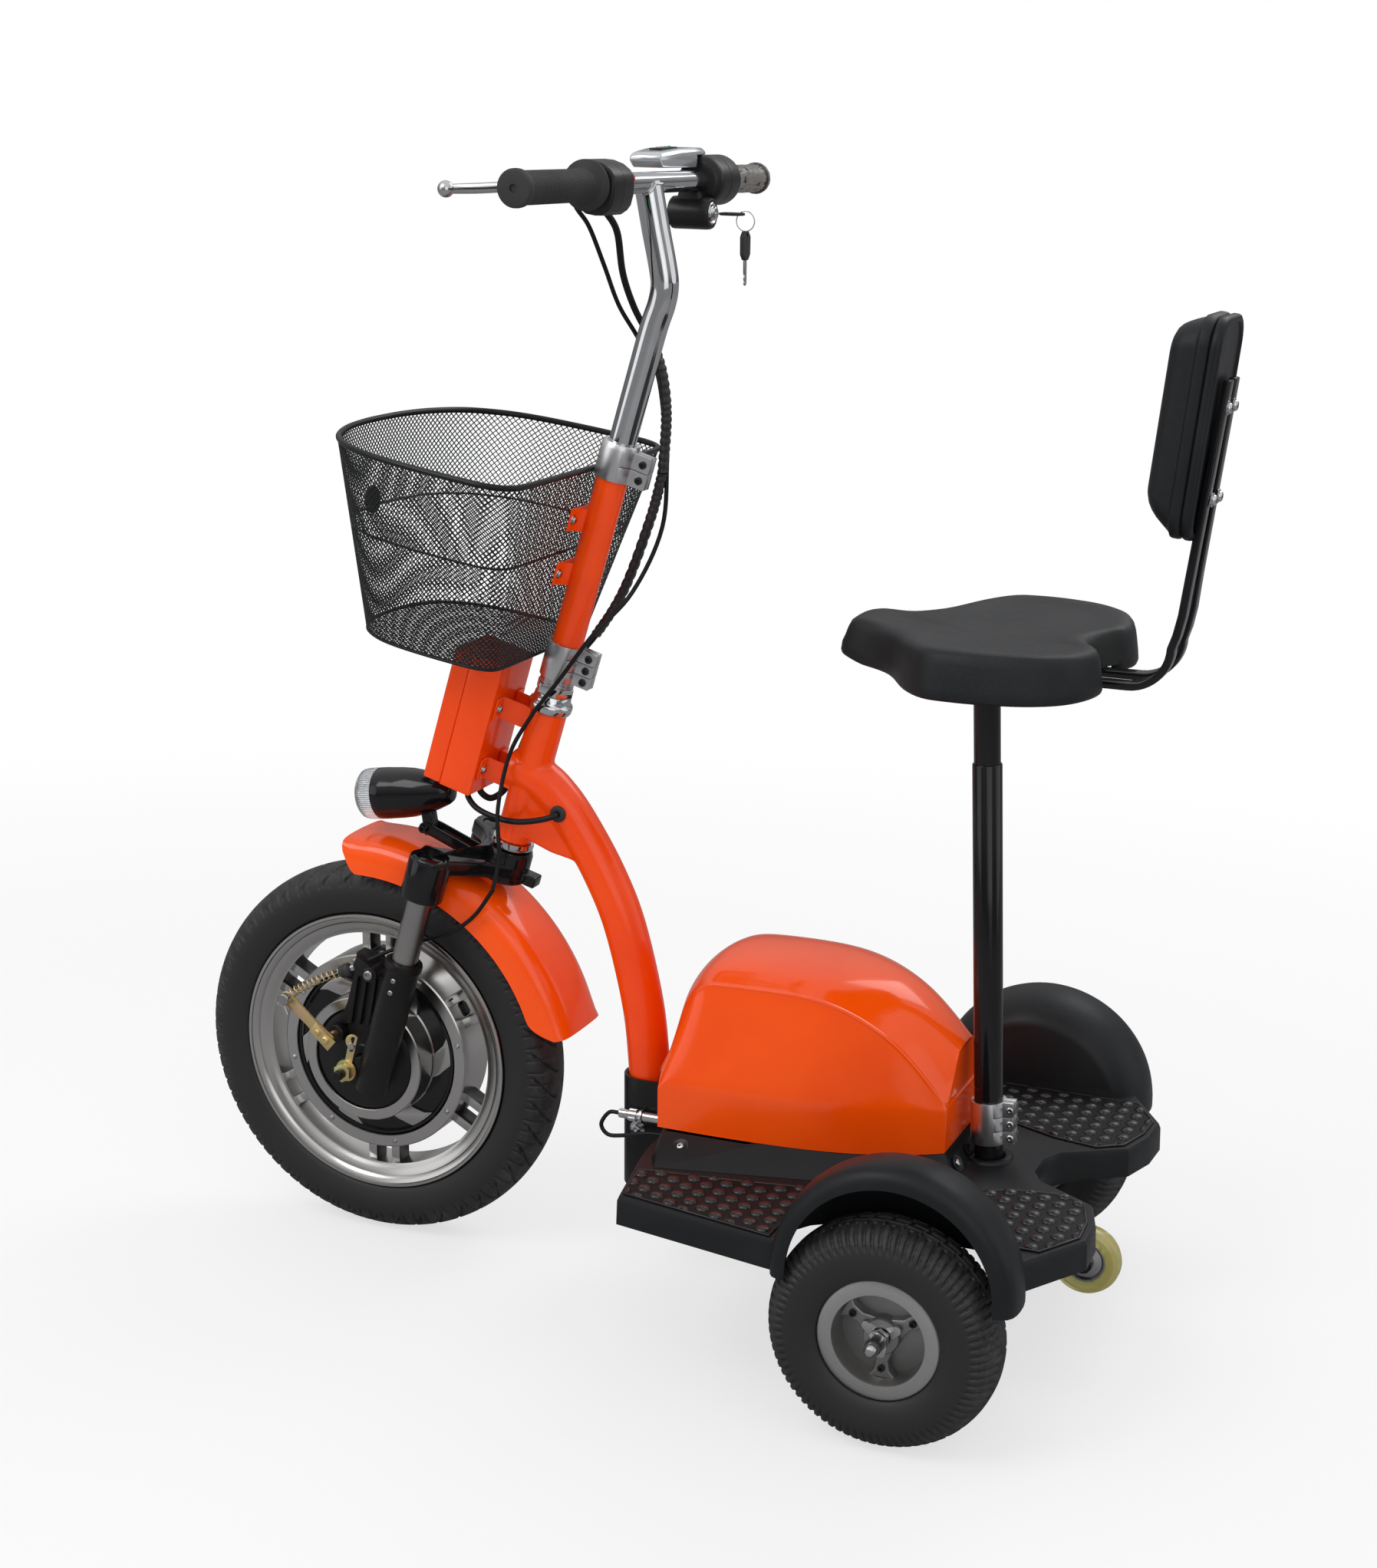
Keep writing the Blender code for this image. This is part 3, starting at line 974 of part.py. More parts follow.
def keys(scooter):
    place = Vector((-0.1300, BAR_Y + 0.0200, BAR_Z - 0.0337))
    lock = add_empty("lock", scooter, place, (-math.pi / 2, 0.0, 0.0))
    item = add_part("ignition_key", turned([(0.0, -0.0120), (0.0080, -0.0120), (0.0080, 0.0035), (0.0, 0.0035)],
                                           12), "steel", lock)
    fuse(item, block((-0.0036, 0.0036), (-0.0011, 0.0011), (0.0030, 0.0100)))
    head = [(-0.0060, 0.0095), (0.0060, 0.0095), (0.0115, 0.0150), (0.0115, 0.0290), (0.0060, 0.0345),
            (-0.0060, 0.0345), (-0.0115, 0.0290), (-0.0115, 0.0150)]
    fuse(item, loft([[(x, y, z) for x, z in head] for y in (-0.0015, 0.0015)]))
    cut(item, rod(0.0032, -0.01, 0.01, 12), (0.0, 0.0, KEY_HOLE), (math.pi / 2, 0.0, 0.0))
    # Ring with the second key. It runs through the hole and round the end of the first key's head.
    spare = add_empty("key_ring", scooter, place + Vector((0.0, KEY_HOLE, 0.0)))
    ring_radius, wire, ahead, down = 0.0105, 0.0006, 0.00755, 0.0070
    circle = [(ring_radius + wire * math.cos(t), wire * math.sin(t))
              for t in (2 * math.pi * k / 6 for k in range(6))]
    ring = turned(circle, 20)
    ring.transform(Matrix.Translation((0.0, ahead, -down)) @ Matrix.Rotation(math.pi / 2, 4, "Y"))
    second = add_part("spare_key", ring, "black_plastic", spare)
    head = [(-0.0040, -0.0172), (0.0040, -0.0172), (0.0100, -0.0230), (0.0090, -0.0420), (0.0040, -0.0480),
            (-0.0040, -0.0480), (-0.0090, -0.0420), (-0.0100, -0.0230)]
    fuse(second, loft([[(x, ahead + y, z) for x, z in head] for y in (-0.0026, 0.0026)]))
    fuse(second, block((-0.0034, 0.0034), (ahead - 0.0009, ahead + 0.0009), (-0.0750, -0.0470)))


# Controller box and leads
def controller(column):
    body = block((-0.0390, 0.0390), (-0.0890, -0.0505), (0.0520, 0.2120))
    add_part("controller_body", soften(body, 0.0015), "orange", column)
    lid = block((-0.0390, 0.0390), (-0.1110, -0.0893), (0.0520, 0.2120))
    add_part("controller_lid", soften(lid, 0.0015), "orange", column)


def leads(scooter):
    cord("power_lead", [(0.0200, -0.5999, 0.5621), (0.0205, -0.6010, 0.5540), (0.0260, -0.5860, 0.5430),
                        (0.0300, -0.5579, 0.5362), (0.0330, -0.5320, 0.5360), (0.0370, -0.5050, 0.5420),
                        (0.0340, -0.4890, 0.5470), (0.0246, -0.4870, 0.5480)], 0.0034, "rubber", scooter, 2)
    cord("loom", [(0.0800, -0.3920, 1.2035), (0.0560, -0.3990, 1.1850), (0.0200, -0.4090, 1.1420),
                  (-0.0080, -0.4090, 1.1060), (-0.0250, -0.3970, 1.0700), (-0.0270, -0.3850, 1.0350),
                  (-0.0260, -0.3800, 0.9900), (-0.0250, -0.3840, 0.9300), (-0.0250, -0.3980, 0.8800),
                  (-0.0250, -0.4290, 0.8000), (-0.0280, -0.4640, 0.7450), (-0.0300, -0.5000, 0.7050),
                  (-0.0290, -0.5330, 0.6600), (-0.0280, -0.5600, 0.6000), (-0.0240, -0.5740, 0.5600),
                  (-0.0200, -0.5920, 0.5440), (-0.0180, -0.6050, 0.5500), (-0.0180, -0.6050, 0.5600)],
         0.0040, "rubber", scooter, 2)
    cord("brake_cable", [(0.0940, -0.4270, 1.2100), (0.0720, -0.4230, 1.1900), (0.0400, -0.4210, 1.1500),
                         (0.0000, -0.4230, 1.1080), (-0.0220, -0.4120, 1.0700), (-0.0380, -0.3920, 1.0200),
                         (-0.0390, -0.3800, 0.9500), (-0.0370, -0.3860, 0.8700), (-0.0120, -0.4120, 0.8000),
                         (0.0230, -0.4440, 0.7550), (0.0300, -0.4800, 0.7050), (0.0300, -0.5120, 0.6650),
                         (0.0300, -0.5420, 0.6150), (0.0430, -0.5520, 0.5520), (0.0500, -0.5480, 0.4980),
                         (0.0590, -0.5520, 0.4600), (0.0620, -0.5742, 0.4279), (0.0620, -0.6050, 0.4036),
                         (0.0570, -0.6401, 0.3890), (0.0600, -0.6740, 0.3757), (0.0840, -0.7010, 0.3640)],
         0.0024, "rubber", scooter, 2)
    cord("charge_lead", [(0.0385, -0.4055, 0.2070), (0.0385, -0.4180, 0.2050), (0.0400, -0.4270, 0.1900),
                         (0.0410, -0.4180, 0.1790), (0.0410, -0.3980, 0.1810), (0.0410, -0.3700, 0.1880),
                         (0.0390, -0.3480, 0.1890)], 0.0024, "rubber", scooter, 2)
    plug = [(0.0, 0.0), (0.0055, 0.0), (0.0055, 0.0120), (0.0068, 0.0125), (0.0068, 0.0230),
            (0.0080, 0.0235), (0.0080, 0.0300), (0.0058, 0.0305), (0.0058, 0.0590), (0.0, 0.0590)]
    add_part("charge_plug", turned(plug, 14), "chrome", scooter, (0.0385, -0.4049, 0.2070),
             (-math.pi / 2, 0.0, 0.0))


def main():
    clear_scene()
    scooter = add_empty("scooter", None, (0.0, REAR_AXLE_Y, 0.0))
    column = add_empty("steering_axis", scooter, (0.0, COLUMN_Y, COLUMN_Z), (-COLUMN_TILT, 0.0, 0.0))
    post = add_empty("seat_post", scooter, (0.0, POST_Y, POST_Z), (POST_LEAN, 0.0, 0.0))
    frame_tube(scooter, column)
    frame_socket(scooter)
    chassis(scooter)
    deck(scooter)
    battery_cover(scooter)
    battery(scooter)
    seat_post(scooter, post)
    seat(scooter)
    seat_bars(scooter)
    backrest(scooter)
    rear_axle(scooter)
    rear_wheel(scooter, "left", 1)
    rear_wheel(scooter, "right", -1)
    castor(scooter)
    front_wheel(scooter)
    fork_crown(column)
    stanchions(column)
    lower_legs(column)
    front_axle(scooter)
    brake_plate(scooter)
    brake_arm(scooter)
    brake_spring(scooter)
    front_fender(scooter)
    stem(column)
    basket(scooter)
    headlamp(scooter)
    handlebar(scooter)
    hand_grip(scooter, "grip_left", 1, 0.1480, 0.0250)
    hand_grip(scooter, "throttle_grip", -1, 0.1956, 0.0200)
    switch_housing(scooter)
    buttons(scooter)
    brake_lever(scooter)
    throttle_side(scooter)
    keys(scooter)
    controller(column)
    leads(scooter)


main()
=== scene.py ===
# Electric scooter with a seat: finished pieces, materials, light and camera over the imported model.
# All places are taken from the middle of the rear axle's line on the floor, as in the part's own source.
import math
import bpy
import bmesh
from mathutils import Matrix, Vector, noise


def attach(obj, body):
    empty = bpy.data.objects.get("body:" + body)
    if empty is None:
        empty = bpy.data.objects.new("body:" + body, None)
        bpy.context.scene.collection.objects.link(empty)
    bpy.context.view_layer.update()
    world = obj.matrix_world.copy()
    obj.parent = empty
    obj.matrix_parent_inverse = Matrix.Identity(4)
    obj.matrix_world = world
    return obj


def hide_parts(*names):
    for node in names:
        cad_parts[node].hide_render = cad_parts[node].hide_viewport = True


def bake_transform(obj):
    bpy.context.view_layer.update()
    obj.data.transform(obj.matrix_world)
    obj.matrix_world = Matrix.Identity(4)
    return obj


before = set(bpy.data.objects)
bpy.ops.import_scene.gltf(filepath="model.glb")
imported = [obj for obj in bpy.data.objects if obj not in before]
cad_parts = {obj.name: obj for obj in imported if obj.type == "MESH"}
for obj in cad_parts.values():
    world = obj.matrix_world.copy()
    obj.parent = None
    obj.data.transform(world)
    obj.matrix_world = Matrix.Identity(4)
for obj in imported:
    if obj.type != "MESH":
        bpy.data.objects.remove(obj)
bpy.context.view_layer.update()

tau = math.tau
rearAxleY = 0.3588            # from the origin back to the rear axle
rearAxleZ = 0.125
frontAxle = (0.0, -0.7274, 0.2285)
barPlace = (0.0, -0.3895, 1.2332)


def shift(x, y, z):
    return Matrix.Translation((x, y, z))


def at(x, y, z):
    return shift(x, y + rearAxleY, z)


def turn(degrees, axis):
    return Matrix.Rotation(math.radians(degrees), 4, axis)


column = at(0, -0.557, 0.4966) @ turn(-16.5, "X")     # local Z runs up the steering axis
post = at(0, 0.0233, 0.2173) @ turn(2.73, "X")        # local Z runs up the seat post
toLeft = turn(90, "Y")                                # local Z comes to point at +X
toRight = turn(-90, "Y")
# Outlines in (y, z), with their thickness on X
sideOn = Matrix(((0, 0, 1, 0), (1, 0, 0, 0), (0, 1, 0, 0), (0, 0, 0, 1)))
origin = at(0, 0, 0)
frontHub = at(*frontAxle) @ toLeft
frontHubRight = at(*frontAxle) @ toRight
frontSide = at(*frontAxle) @ sideOn
bar = at(*barPlace)
barLeft, barRight, barSide = bar @ toLeft, bar @ toRight, bar @ sideOn


def linked(name, data):
    piece = bpy.data.objects.new(name, data)
    bpy.context.collection.objects.link(piece)
    return piece


# Camera
camera = linked("camera", bpy.data.cameras.new("camera"))
camera.matrix_world = Matrix(((-0.347385, -0.263981, 0.899799, 2.46532), (0.937468, -0.120133, 0.326684,
        0.70353 + rearAxleY), (0.021857, 0.957017, 0.289206, 1.30574), (0, 0, 0, 1)))
camera.data.lens = 57.47
camera.data.sensor_width = 36
camera.data.shift_x = -0.0786
camera.data.shift_y = 0.0547
camera.data.clip_end = 200
bpy.context.scene.camera = camera


# Tools for shapes
def mm(*points):
    # The points that this takes are in millimetres. All other lengths in this file are in metres.
    return [tuple(round(number / 1000, 7) for number in point) for point in points]


def clearSelection():
    if bpy.context.object and bpy.context.object.mode != "OBJECT":
        bpy.ops.object.mode_set(mode="OBJECT")
    bpy.ops.object.select_all(action="DESELECT")


def takeUp(*pieces):
    clearSelection()
    for piece in pieces:
        piece.select_set(True)
    bpy.context.view_layer.objects.active = pieces[0]


def applied(piece, kind, **settings):
    takeUp(piece)
    step = piece.modifiers.new(kind.lower(), kind)
    for name, value in settings.items():
        setattr(step, name, value)
    bpy.ops.object.modifier_apply(modifier=step.name)
    return piece


def rounded(piece, width, steps=2, angle=40):
    return applied(piece, "BEVEL", width=width, segments=steps, limit_method="ANGLE",
                   angle_limit=math.radians(angle), miter_outer="MITER_ARC")


def carved(piece, *cutters, operation="DIFFERENCE"):
    for cutter in cutters:
        applied(piece, "BOOLEAN", operation=operation, solver="EXACT", object=cutter)
        bpy.data.objects.remove(cutter)
    return piece


def startOutline(name, points, filled):
    clearSelection()
    bpy.ops.mesh.primitive_circle_add(vertices=len(points), fill_type="NGON" if filled else "NOTHING")
    piece = bpy.context.object
    piece.name = piece.data.name = name
    for vertex, point in zip(piece.data.vertices, points):
        vertex.co = point
    return piece


def openMesh():
    bpy.ops.object.mode_set(mode="EDIT")
    bpy.ops.mesh.select_all(action="SELECT")


def closeMesh():
    # All normals point outwards when edit mode is left.
    bpy.ops.mesh.select_all(action="SELECT")
    bpy.ops.mesh.normals_make_consistent(inside=False)
    bpy.ops.object.mode_set(mode="OBJECT")


def turned(name, profile, place, steps=64):
    # The profile holds (radius, height) pairs round the local Z axis.
    piece = startOutline(name, [(radius, 0, height) for radius, height in profile], False)
    openMesh()
    bpy.ops.mesh.spin(steps=steps, angle=tau, center=(0, 0, 0), axis=(0, 0, 1))
    bpy.ops.mesh.select_all(action="SELECT")
    bpy.ops.mesh.remove_doubles(threshold=0.00001)
    bpy.ops.mesh.delete_loose()
    closeMesh()
    piece.data.transform(place)
    return piece


def lathed(name, profile, place, steps, finish):
    return painted(turned(name, profile, place, steps), finish)


def cylinder(name, radius, low, high, place, steps):
    return turned(name, [(0, low), (radius, low), (radius, high), (0, high)], place, steps)


def plate(name, outline, low, high, place, edge=0.0, steps=2):
    # A flat outline drawn up along the local Z axis
    piece = startOutline(name, [(x, y, low) for x, y in outline], True)
    openMesh()
    bpy.ops.mesh.extrude_region_move(TRANSFORM_OT_translate={"value": (0, 0, high - low)})
    closeMesh()
    if edge:
        rounded(piece, edge, steps)
    piece.data.transform(place)
    return piece


def box(name, x, y, z, place, edge=0.0006, steps=2):
    outline = [(x[0], y[0]), (x[1], y[0]), (x[1], y[1]), (x[0], y[1])]
    return plate(name, outline, z[0], z[1], place, edge, steps)


def pieceFrom(name, bm):
    mesh = bpy.data.meshes.new(name)
    bm.to_mesh(mesh)
    bm.free()
    return linked(name, mesh)


def skinned(name, rings, place=None):
    # A closed skin over rings of points that all have the same count
    bm = bmesh.new()
    rows = [[bm.verts.new(point) for point in ring] for ring in rings]
    for first, second in zip(rows, rows[1:]):
        for i in range(len(first)):
            j = (i + 1) % len(first)
            bm.faces.new((first[i], first[j], second[j], second[i]))
    bm.faces.new(rows[0])
    bm.faces.new(rows[-1])
    bmesh.ops.recalc_face_normals(bm, faces=bm.faces)
    piece = pieceFrom(name, bm)
    if place:
        piece.data.transform(place)
    return piece


def throughPoints(points, perSpan):
    # A smooth line through the points
    points = [Vector(point) for point in points]
    ends = [2 * points[0] - points[1]] + points + [2 * points[-1] - points[-2]]
    line = []
    for a, b, c, d in zip(ends, ends[1:], ends[2:], ends[3:]):
        for i in range(perSpan):
            t = i / perSpan
            line.append(0.5 * (2 * b + (c - a) * t + (2 * a - 5 * b + 4 * c - d) * t * t
                               + (3 * b - a - 3 * c + d) * t ** 3))
    return line + [ends[-2]]


def tube(name, points, radius, place=None, closed=False, sides=4, thickness=None):
    # Points lie where they are needed. The thickness of each point is a share of the radius.
    curve = bpy.data.curves.new(name, "CURVE")
    curve.dimensions = "3D"
    curve.bevel_depth = radius
    curve.bevel_resolution = sides
    curve.use_fill_caps = not closed
    line = curve.splines.new("POLY")
    line.points.add(len(points) - 1)
    line.use_cyclic_u = closed
    for i, point in enumerate(points):
        line.points[i].co = (*point, 1)
        line.points[i].radius = thickness[i] if thickness else 1
    piece = linked(name, curve)
    takeUp(piece)
    bpy.ops.object.convert(target="MESH")
    piece = bpy.context.object
    piece.data.transform(place or origin)
    return piece


def mirrored(half):
    # An outline whose right half is given from the middle line round to the middle line
    return half + [(-x, y) for x, y in reversed(half[1:-1])]


def bothFaces(profile):
    # A profile that is the same above and below the plane at height 0
    return profile + [(radius, -height) for radius, height in reversed(profile)]


def facing(direction):
    return Vector(direction).to_track_quat("Z", "Y").to_matrix().to_4x4()


def arc(middle, radius, first, last, count):
    turns = [math.radians(first + (last - first) * i / (count - 1)) for i in range(count)]
    return [(middle[0] + radius * math.cos(t), middle[1] + radius * math.sin(t)) for t in turns]


def joined(name, *pieces):
    takeUp(*pieces)
    bpy.ops.object.join()
    piece = bpy.context.object
    piece.name = piece.data.name = name
    return piece


def copied(piece, place):
    twin = piece.copy()
    twin.data = piece.data.copy()
    twin.data.transform(place)
    bpy.context.collection.objects.link(twin)
    if place.determinant() < 0:
        twin.data.flip_normals()
    return twin


def around(piece, count, axisPlace, start=0):
    # Copies of a piece turned round the local Z axis of a place. The first one is used up.
    made = [copied(piece, axisPlace @ turn(start + 360 / count * k, "Z") @ axisPlace.inverted())
            for k in range(count)]
    bpy.data.objects.remove(piece)
    return made


def painted(piece, finish, pick=None):
    # Without pick the finish covers the whole piece, otherwise the faces for which pick is true.
    if pick is None:
        piece.data.materials.clear()
        piece.data.materials.append(finish)
        return piece
    piece.data.materials.append(finish)
    slot = len(piece.data.materials) - 1
    for face in piece.data.polygons:
        if pick(face.center, face.normal):
            face.material_index = slot
    return piece


def fitted(piece, body, *nodes, smooth=35):
    takeUp(piece)
    bpy.ops.object.shade_smooth_by_angle(angle=math.radians(smooth))
    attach(piece, body)
    if nodes:
        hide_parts(*nodes)
    return piece


# Tools for finishes
class Flow:
    # A socket in a finish. Sums on it add Math nodes.
    def __init__(self, finish, socket):
        self.finish, self.socket = finish, socket

    def maths(self, operation, first, second=0.0):
        return self.finish.node("ShaderNodeMath", {"operation": operation}, {0: first, 1: second})

    def __add__(self, other):
        return self.maths("ADD", self, other)

    def __rsub__(self, other):
        return self.maths("SUBTRACT", other, self)

    def __mul__(self, other):
        return self.maths("MULTIPLY", self, other)

    __radd__, __rmul__ = __add__, __mul__

    def between(self, low, high):
        # 0 below low, 1 above high, smooth in between
        return self.finish.node("ShaderNodeMapRange", {"interpolation_type": "SMOOTHSTEP"},
                                {0: self, 1: low, 2: high})


class Finish:
    def __init__(self, name, colour, rough, metal=0.0, **sockets):
        self.material = bpy.data.materials.new(name)
        self.material.use_nodes = True
        self.tree = self.material.node_tree
        self.shader = self.tree.nodes["Principled BSDF"]
        self.material.diffuse_color = (*colour, 1)
        self.put("Base Color", colour)
        self.put("Roughness", rough)
        self.put("Metallic", metal)
        for socket, value in sockets.items():
            self.put(socket.replace("_", " "), value)

    def plug(self, socket, value):
        if isinstance(value, Flow):
            self.tree.links.new(value.socket, socket)
        elif isinstance(value, (tuple, list)) and socket.type == "RGBA":
            socket.default_value = (*value[:3], 1)
        else:
            socket.default_value = value

    def put(self, socket, value):
        self.plug(self.shader.inputs[socket], value)

    def node(self, kind, settings=None, inputs=None, output=0):
        made = self.tree.nodes.new(kind)
        for name, value in (settings or {}).items():
            setattr(made, name, value)
        for name, value in (inputs or {}).items():
            self.plug(made.inputs[name], value)
        return Flow(self, made.outputs[output])

    def where(self, centre=(0, 0, 0), stretch=(1, 1, 1)):
        place = self.node("ShaderNodeTexCoord", output="Object")
        moved = self.node("ShaderNodeVectorMath", {"operation": "SUBTRACT"}, {0: place, 1: centre})
        return self.node("ShaderNodeMapping", None, {"Vector": moved, "Scale": stretch})

    def distance(self, centre, stretch):
        # How far a point is from the centre, along the axes that the stretch leaves
        return self.node("ShaderNodeVectorMath", {"operation": "LENGTH"},
                         {0: self.where(centre, stretch)}, output="Value")

    def speckle(self, scale, detail=3.0, rough=0.55, place=None):
        return self.node("ShaderNodeTexNoise", None, {"Vector": place or self.where(),
                "Scale": scale, "Detail": detail, "Roughness": rough})

    def cells(self, scale, feature="F1", place=None):
        return self.node("ShaderNodeTexVoronoi", {"feature": feature},
                         {"Vector": place or self.where(), "Scale": scale})

    def mixed(self, factor, first, second):
        made = self.tree.nodes.new("ShaderNodeMix")
        made.data_type = "RGBA"
        for index, value in ((0, factor), (6, first), (7, second)):
            self.plug(made.inputs[index], value)
        return Flow(self, made.outputs[2])

    def bump(self, height, distance, strength=1.0):
        self.put("Normal", self.node("ShaderNodeBump", None, {"Height": height,
                "Distance": distance, "Strength": strength}))


# Colour and sheen of each paint and plastic: second colour, spread of the roughness, grain size per
# metre and depth in metres
def coated(name, colour, second, rough, spread, grain, depth, metal=0.0, **sockets):
    made = Finish(name, colour, rough, metal, **sockets)
    cloud = made.speckle(9, 4)
    fine = made.speckle(grain, 2)
    made.put("Base Color", made.mixed(cloud.between(0.35, 0.68), colour, second))
    made.put("Roughness", rough - spread / 2 + spread * made.speckle(46, 5, 0.65))
    made.bump(fine, depth)
    return made.material


def brushedRings(name, colour, centre, rough):
    # Lathe marks round the X axis through the centre
    made = Finish(name, colour, rough, 1.0)
    radius = made.distance(centre, (0, 1, 1))
    marks = made.node("ShaderNodeTexNoise", {"noise_dimensions": "1D"}, {"W": radius, "Scale": 900,
            "Detail": 4.0, "Roughness": 0.7})
    cloud = made.speckle(30, 4)
    made.put("Roughness", rough - 0.06 + 0.12 * marks + 0.05 * cloud)
    made.put("Base Color", made.mixed(marks, tuple(0.86 * c for c in colour), colour))
    made.bump(marks, 0.00004)
    return made.material


def plated(name, first, second, third, rough):
    # Passivated plating, whose tint drifts over the piece
    made = Finish(name, first, rough, 1.0)
    drift = made.speckle(58, 3)
    wide = made.speckle(23, 2)
    warm = made.mixed(drift.between(0.42, 0.6), first, second)
    made.put("Base Color", made.mixed(wide.between(0.5, 0.66), warm, third))
    made.put("Roughness", rough + 0.14 * made.speckle(160, 4))
    made.bump(made.speckle(700, 2), 0.00004)
    return made.material


orangePaint = coated("orangePaint", (0.92, 0.068, 0.001), (0.86, 0.056, 0.001), 0.22, 0.07, 520, 0.00002,
                     Specular_IOR_Level=0.32, Coat_Weight=0.22, Coat_Roughness=0.05)
orangeShell = coated("orangeShell", (0.97, 0.088, 0.002), (0.92, 0.075, 0.001), 0.16, 0.06, 300, 0.00002,
                     Specular_IOR_Level=0.34, Coat_Weight=0.3, Coat_Roughness=0.04)
deckPlastic = coated("deckPlastic", (0.009, 0.01, 0.011), (0.013, 0.014, 0.016), 0.42, 0.12, 1500, 0.00004,
                     Specular_IOR_Level=0.22)
treadBlack = coated("treadBlack", (0.01, 0.01, 0.011), (0.016, 0.016, 0.017), 0.27, 0.1, 1300, 0.00002,
                    Specular_IOR_Level=0.55)
treadGround = coated("treadGround", (0.006, 0.006, 0.007), (0.01, 0.01, 0.011), 0.58, 0.14, 1500, 0.00004,
                     Specular_IOR_Level=0.2)
clampAlloy = coated("clampAlloy", (0.74, 0.74, 0.75), (0.66, 0.66, 0.67), 0.33, 0.08, 260, 0.00002, 1.0)
caseBlack = coated("caseBlack", (0.008, 0.008, 0.009), (0.013, 0.013, 0.014), 0.36, 0.12, 1300, 0.00003,
                   Specular_IOR_Level=0.34)
glossBlack = coated("glossBlack", (0.004, 0.004, 0.005), (0.007, 0.007, 0.008), 0.12, 0.08, 420, 0.00002,
                    Specular_IOR_Level=0.34, Coat_Weight=0.15, Coat_Roughness=0.06)
castBlack = coated("castBlack", (0.007, 0.007, 0.007), (0.012, 0.011, 0.011), 0.34, 0.14, 850, 0.00006,
                   Specular_IOR_Level=0.26)
rubberBlack = coated("rubberBlack", (0.014, 0.014, 0.015), (0.024, 0.024, 0.025), 0.6, 0.16, 1200, 0.00006)
gripRubber = coated("gripRubber", (0.015, 0.015, 0.016), (0.026, 0.026, 0.027), 0.66, 0.12, 1600, 0.00006)
sleeveBlack = coated("sleeveBlack", (0.012, 0.012, 0.013), (0.02, 0.02, 0.021), 0.44, 0.1, 900, 0.00003)
wireBlack = coated("wireBlack", (0.006, 0.007, 0.008), (0.01, 0.011, 0.012), 0.36, 0.1, 1100, 0.00003,
                   Specular_IOR_Level=0.25)
chrome = coated("chrome", (0.7, 0.71, 0.72), (0.6, 0.6, 0.61), 0.07, 0.05, 160, 0.000008, 1.0)
brightSteel = coated("brightSteel", (0.62, 0.62, 0.63), (0.52, 0.52, 0.53), 0.2, 0.12, 1500, 0.00002, 1.0)
satinSteel = coated("satinSteel", (0.44, 0.43, 0.41), (0.37, 0.36, 0.35), 0.25, 0.05, 1400, 0.000006, 1.0)
castAlloy = coated("castAlloy", (0.34, 0.335, 0.33), (0.26, 0.255, 0.25), 0.42, 0.16, 900, 0.00012, 0.9)
silverPaint = coated("silverPaint", (0.56, 0.58, 0.6), (0.64, 0.66, 0.68), 0.18, 0.08, 900, 0.00002, 0.75,
                     Coat_Weight=0.6, Coat_Roughness=0.06)
goldZinc = plated("goldZinc", (0.84, 0.66, 0.3), (0.84, 0.58, 0.36), (0.64, 0.64, 0.32), 0.34)
redPlastic = coated("redPlastic", (0.6, 0.008, 0.012), (0.5, 0.006, 0.01), 0.22, 0.08, 500, 0.00002,
                    Subsurface_Weight=0.2, Subsurface_Scale=0.004)
greenPlastic = coated("greenPlastic", (0.006, 0.27, 0.06), (0.005, 0.2, 0.045), 0.24, 0.08, 500, 0.00002,
                      Subsurface_Weight=0.2, Subsurface_Scale=0.004)
clearPlastic = coated("clearPlastic", (0.93, 0.95, 0.96), (0.88, 0.91, 0.93), 0.06, 0.05, 260, 0.00002,
                      Transmission_Weight=0.92, IOR=1.49)
filmClear = coated("filmClear", (0.5, 0.47, 0.43), (0.34, 0.31, 0.28), 0.14, 0.1, 420, 0.00003, Alpha=0.42,
                   Coat_Weight=0.5, Coat_Roughness=0.05)
amberTyre = coated("amberTyre", (0.8, 0.73, 0.3), (0.68, 0.62, 0.22), 0.16, 0.1, 350, 0.00003,
                   Transmission_Weight=0.55, IOR=1.5, Subsurface_Weight=0.3, Subsurface_Scale=0.02)
machinedFront = brushedRings("machinedFront", (0.6, 0.59, 0.57),
                             (0, frontAxle[1] + rearAxleY, frontAxle[2]), 0.2)
machinedRear = brushedRings("machinedRear", (0.62, 0.61, 0.6), (0, rearAxleY, rearAxleZ), 0.26)


def grainedVinyl():
    made = Finish("grainedVinyl", (0.009, 0.01, 0.011), 0.42, Specular_IOR_Level=0.3)
    pebbles = made.cells(950, "F1", made.where((0, 0, 0), (1, 1, 1.25)))
    creases = made.cells(950, "DISTANCE_TO_EDGE").between(0.0, 0.16)
    cloud = made.speckle(11, 4)
    made.put("Base Color", made.mixed(cloud.between(0.36, 0.66), (0.006, 0.007, 0.008),
            (0.01, 0.011, 0.012)))
    made.put("Roughness", 0.36 + 0.12 * made.speckle(60, 4) + 0.06 * (1 - creases))
    made.bump(0.7 * creases + 0.3 * pebbles, 0.0001, 0.8)
    return made.material


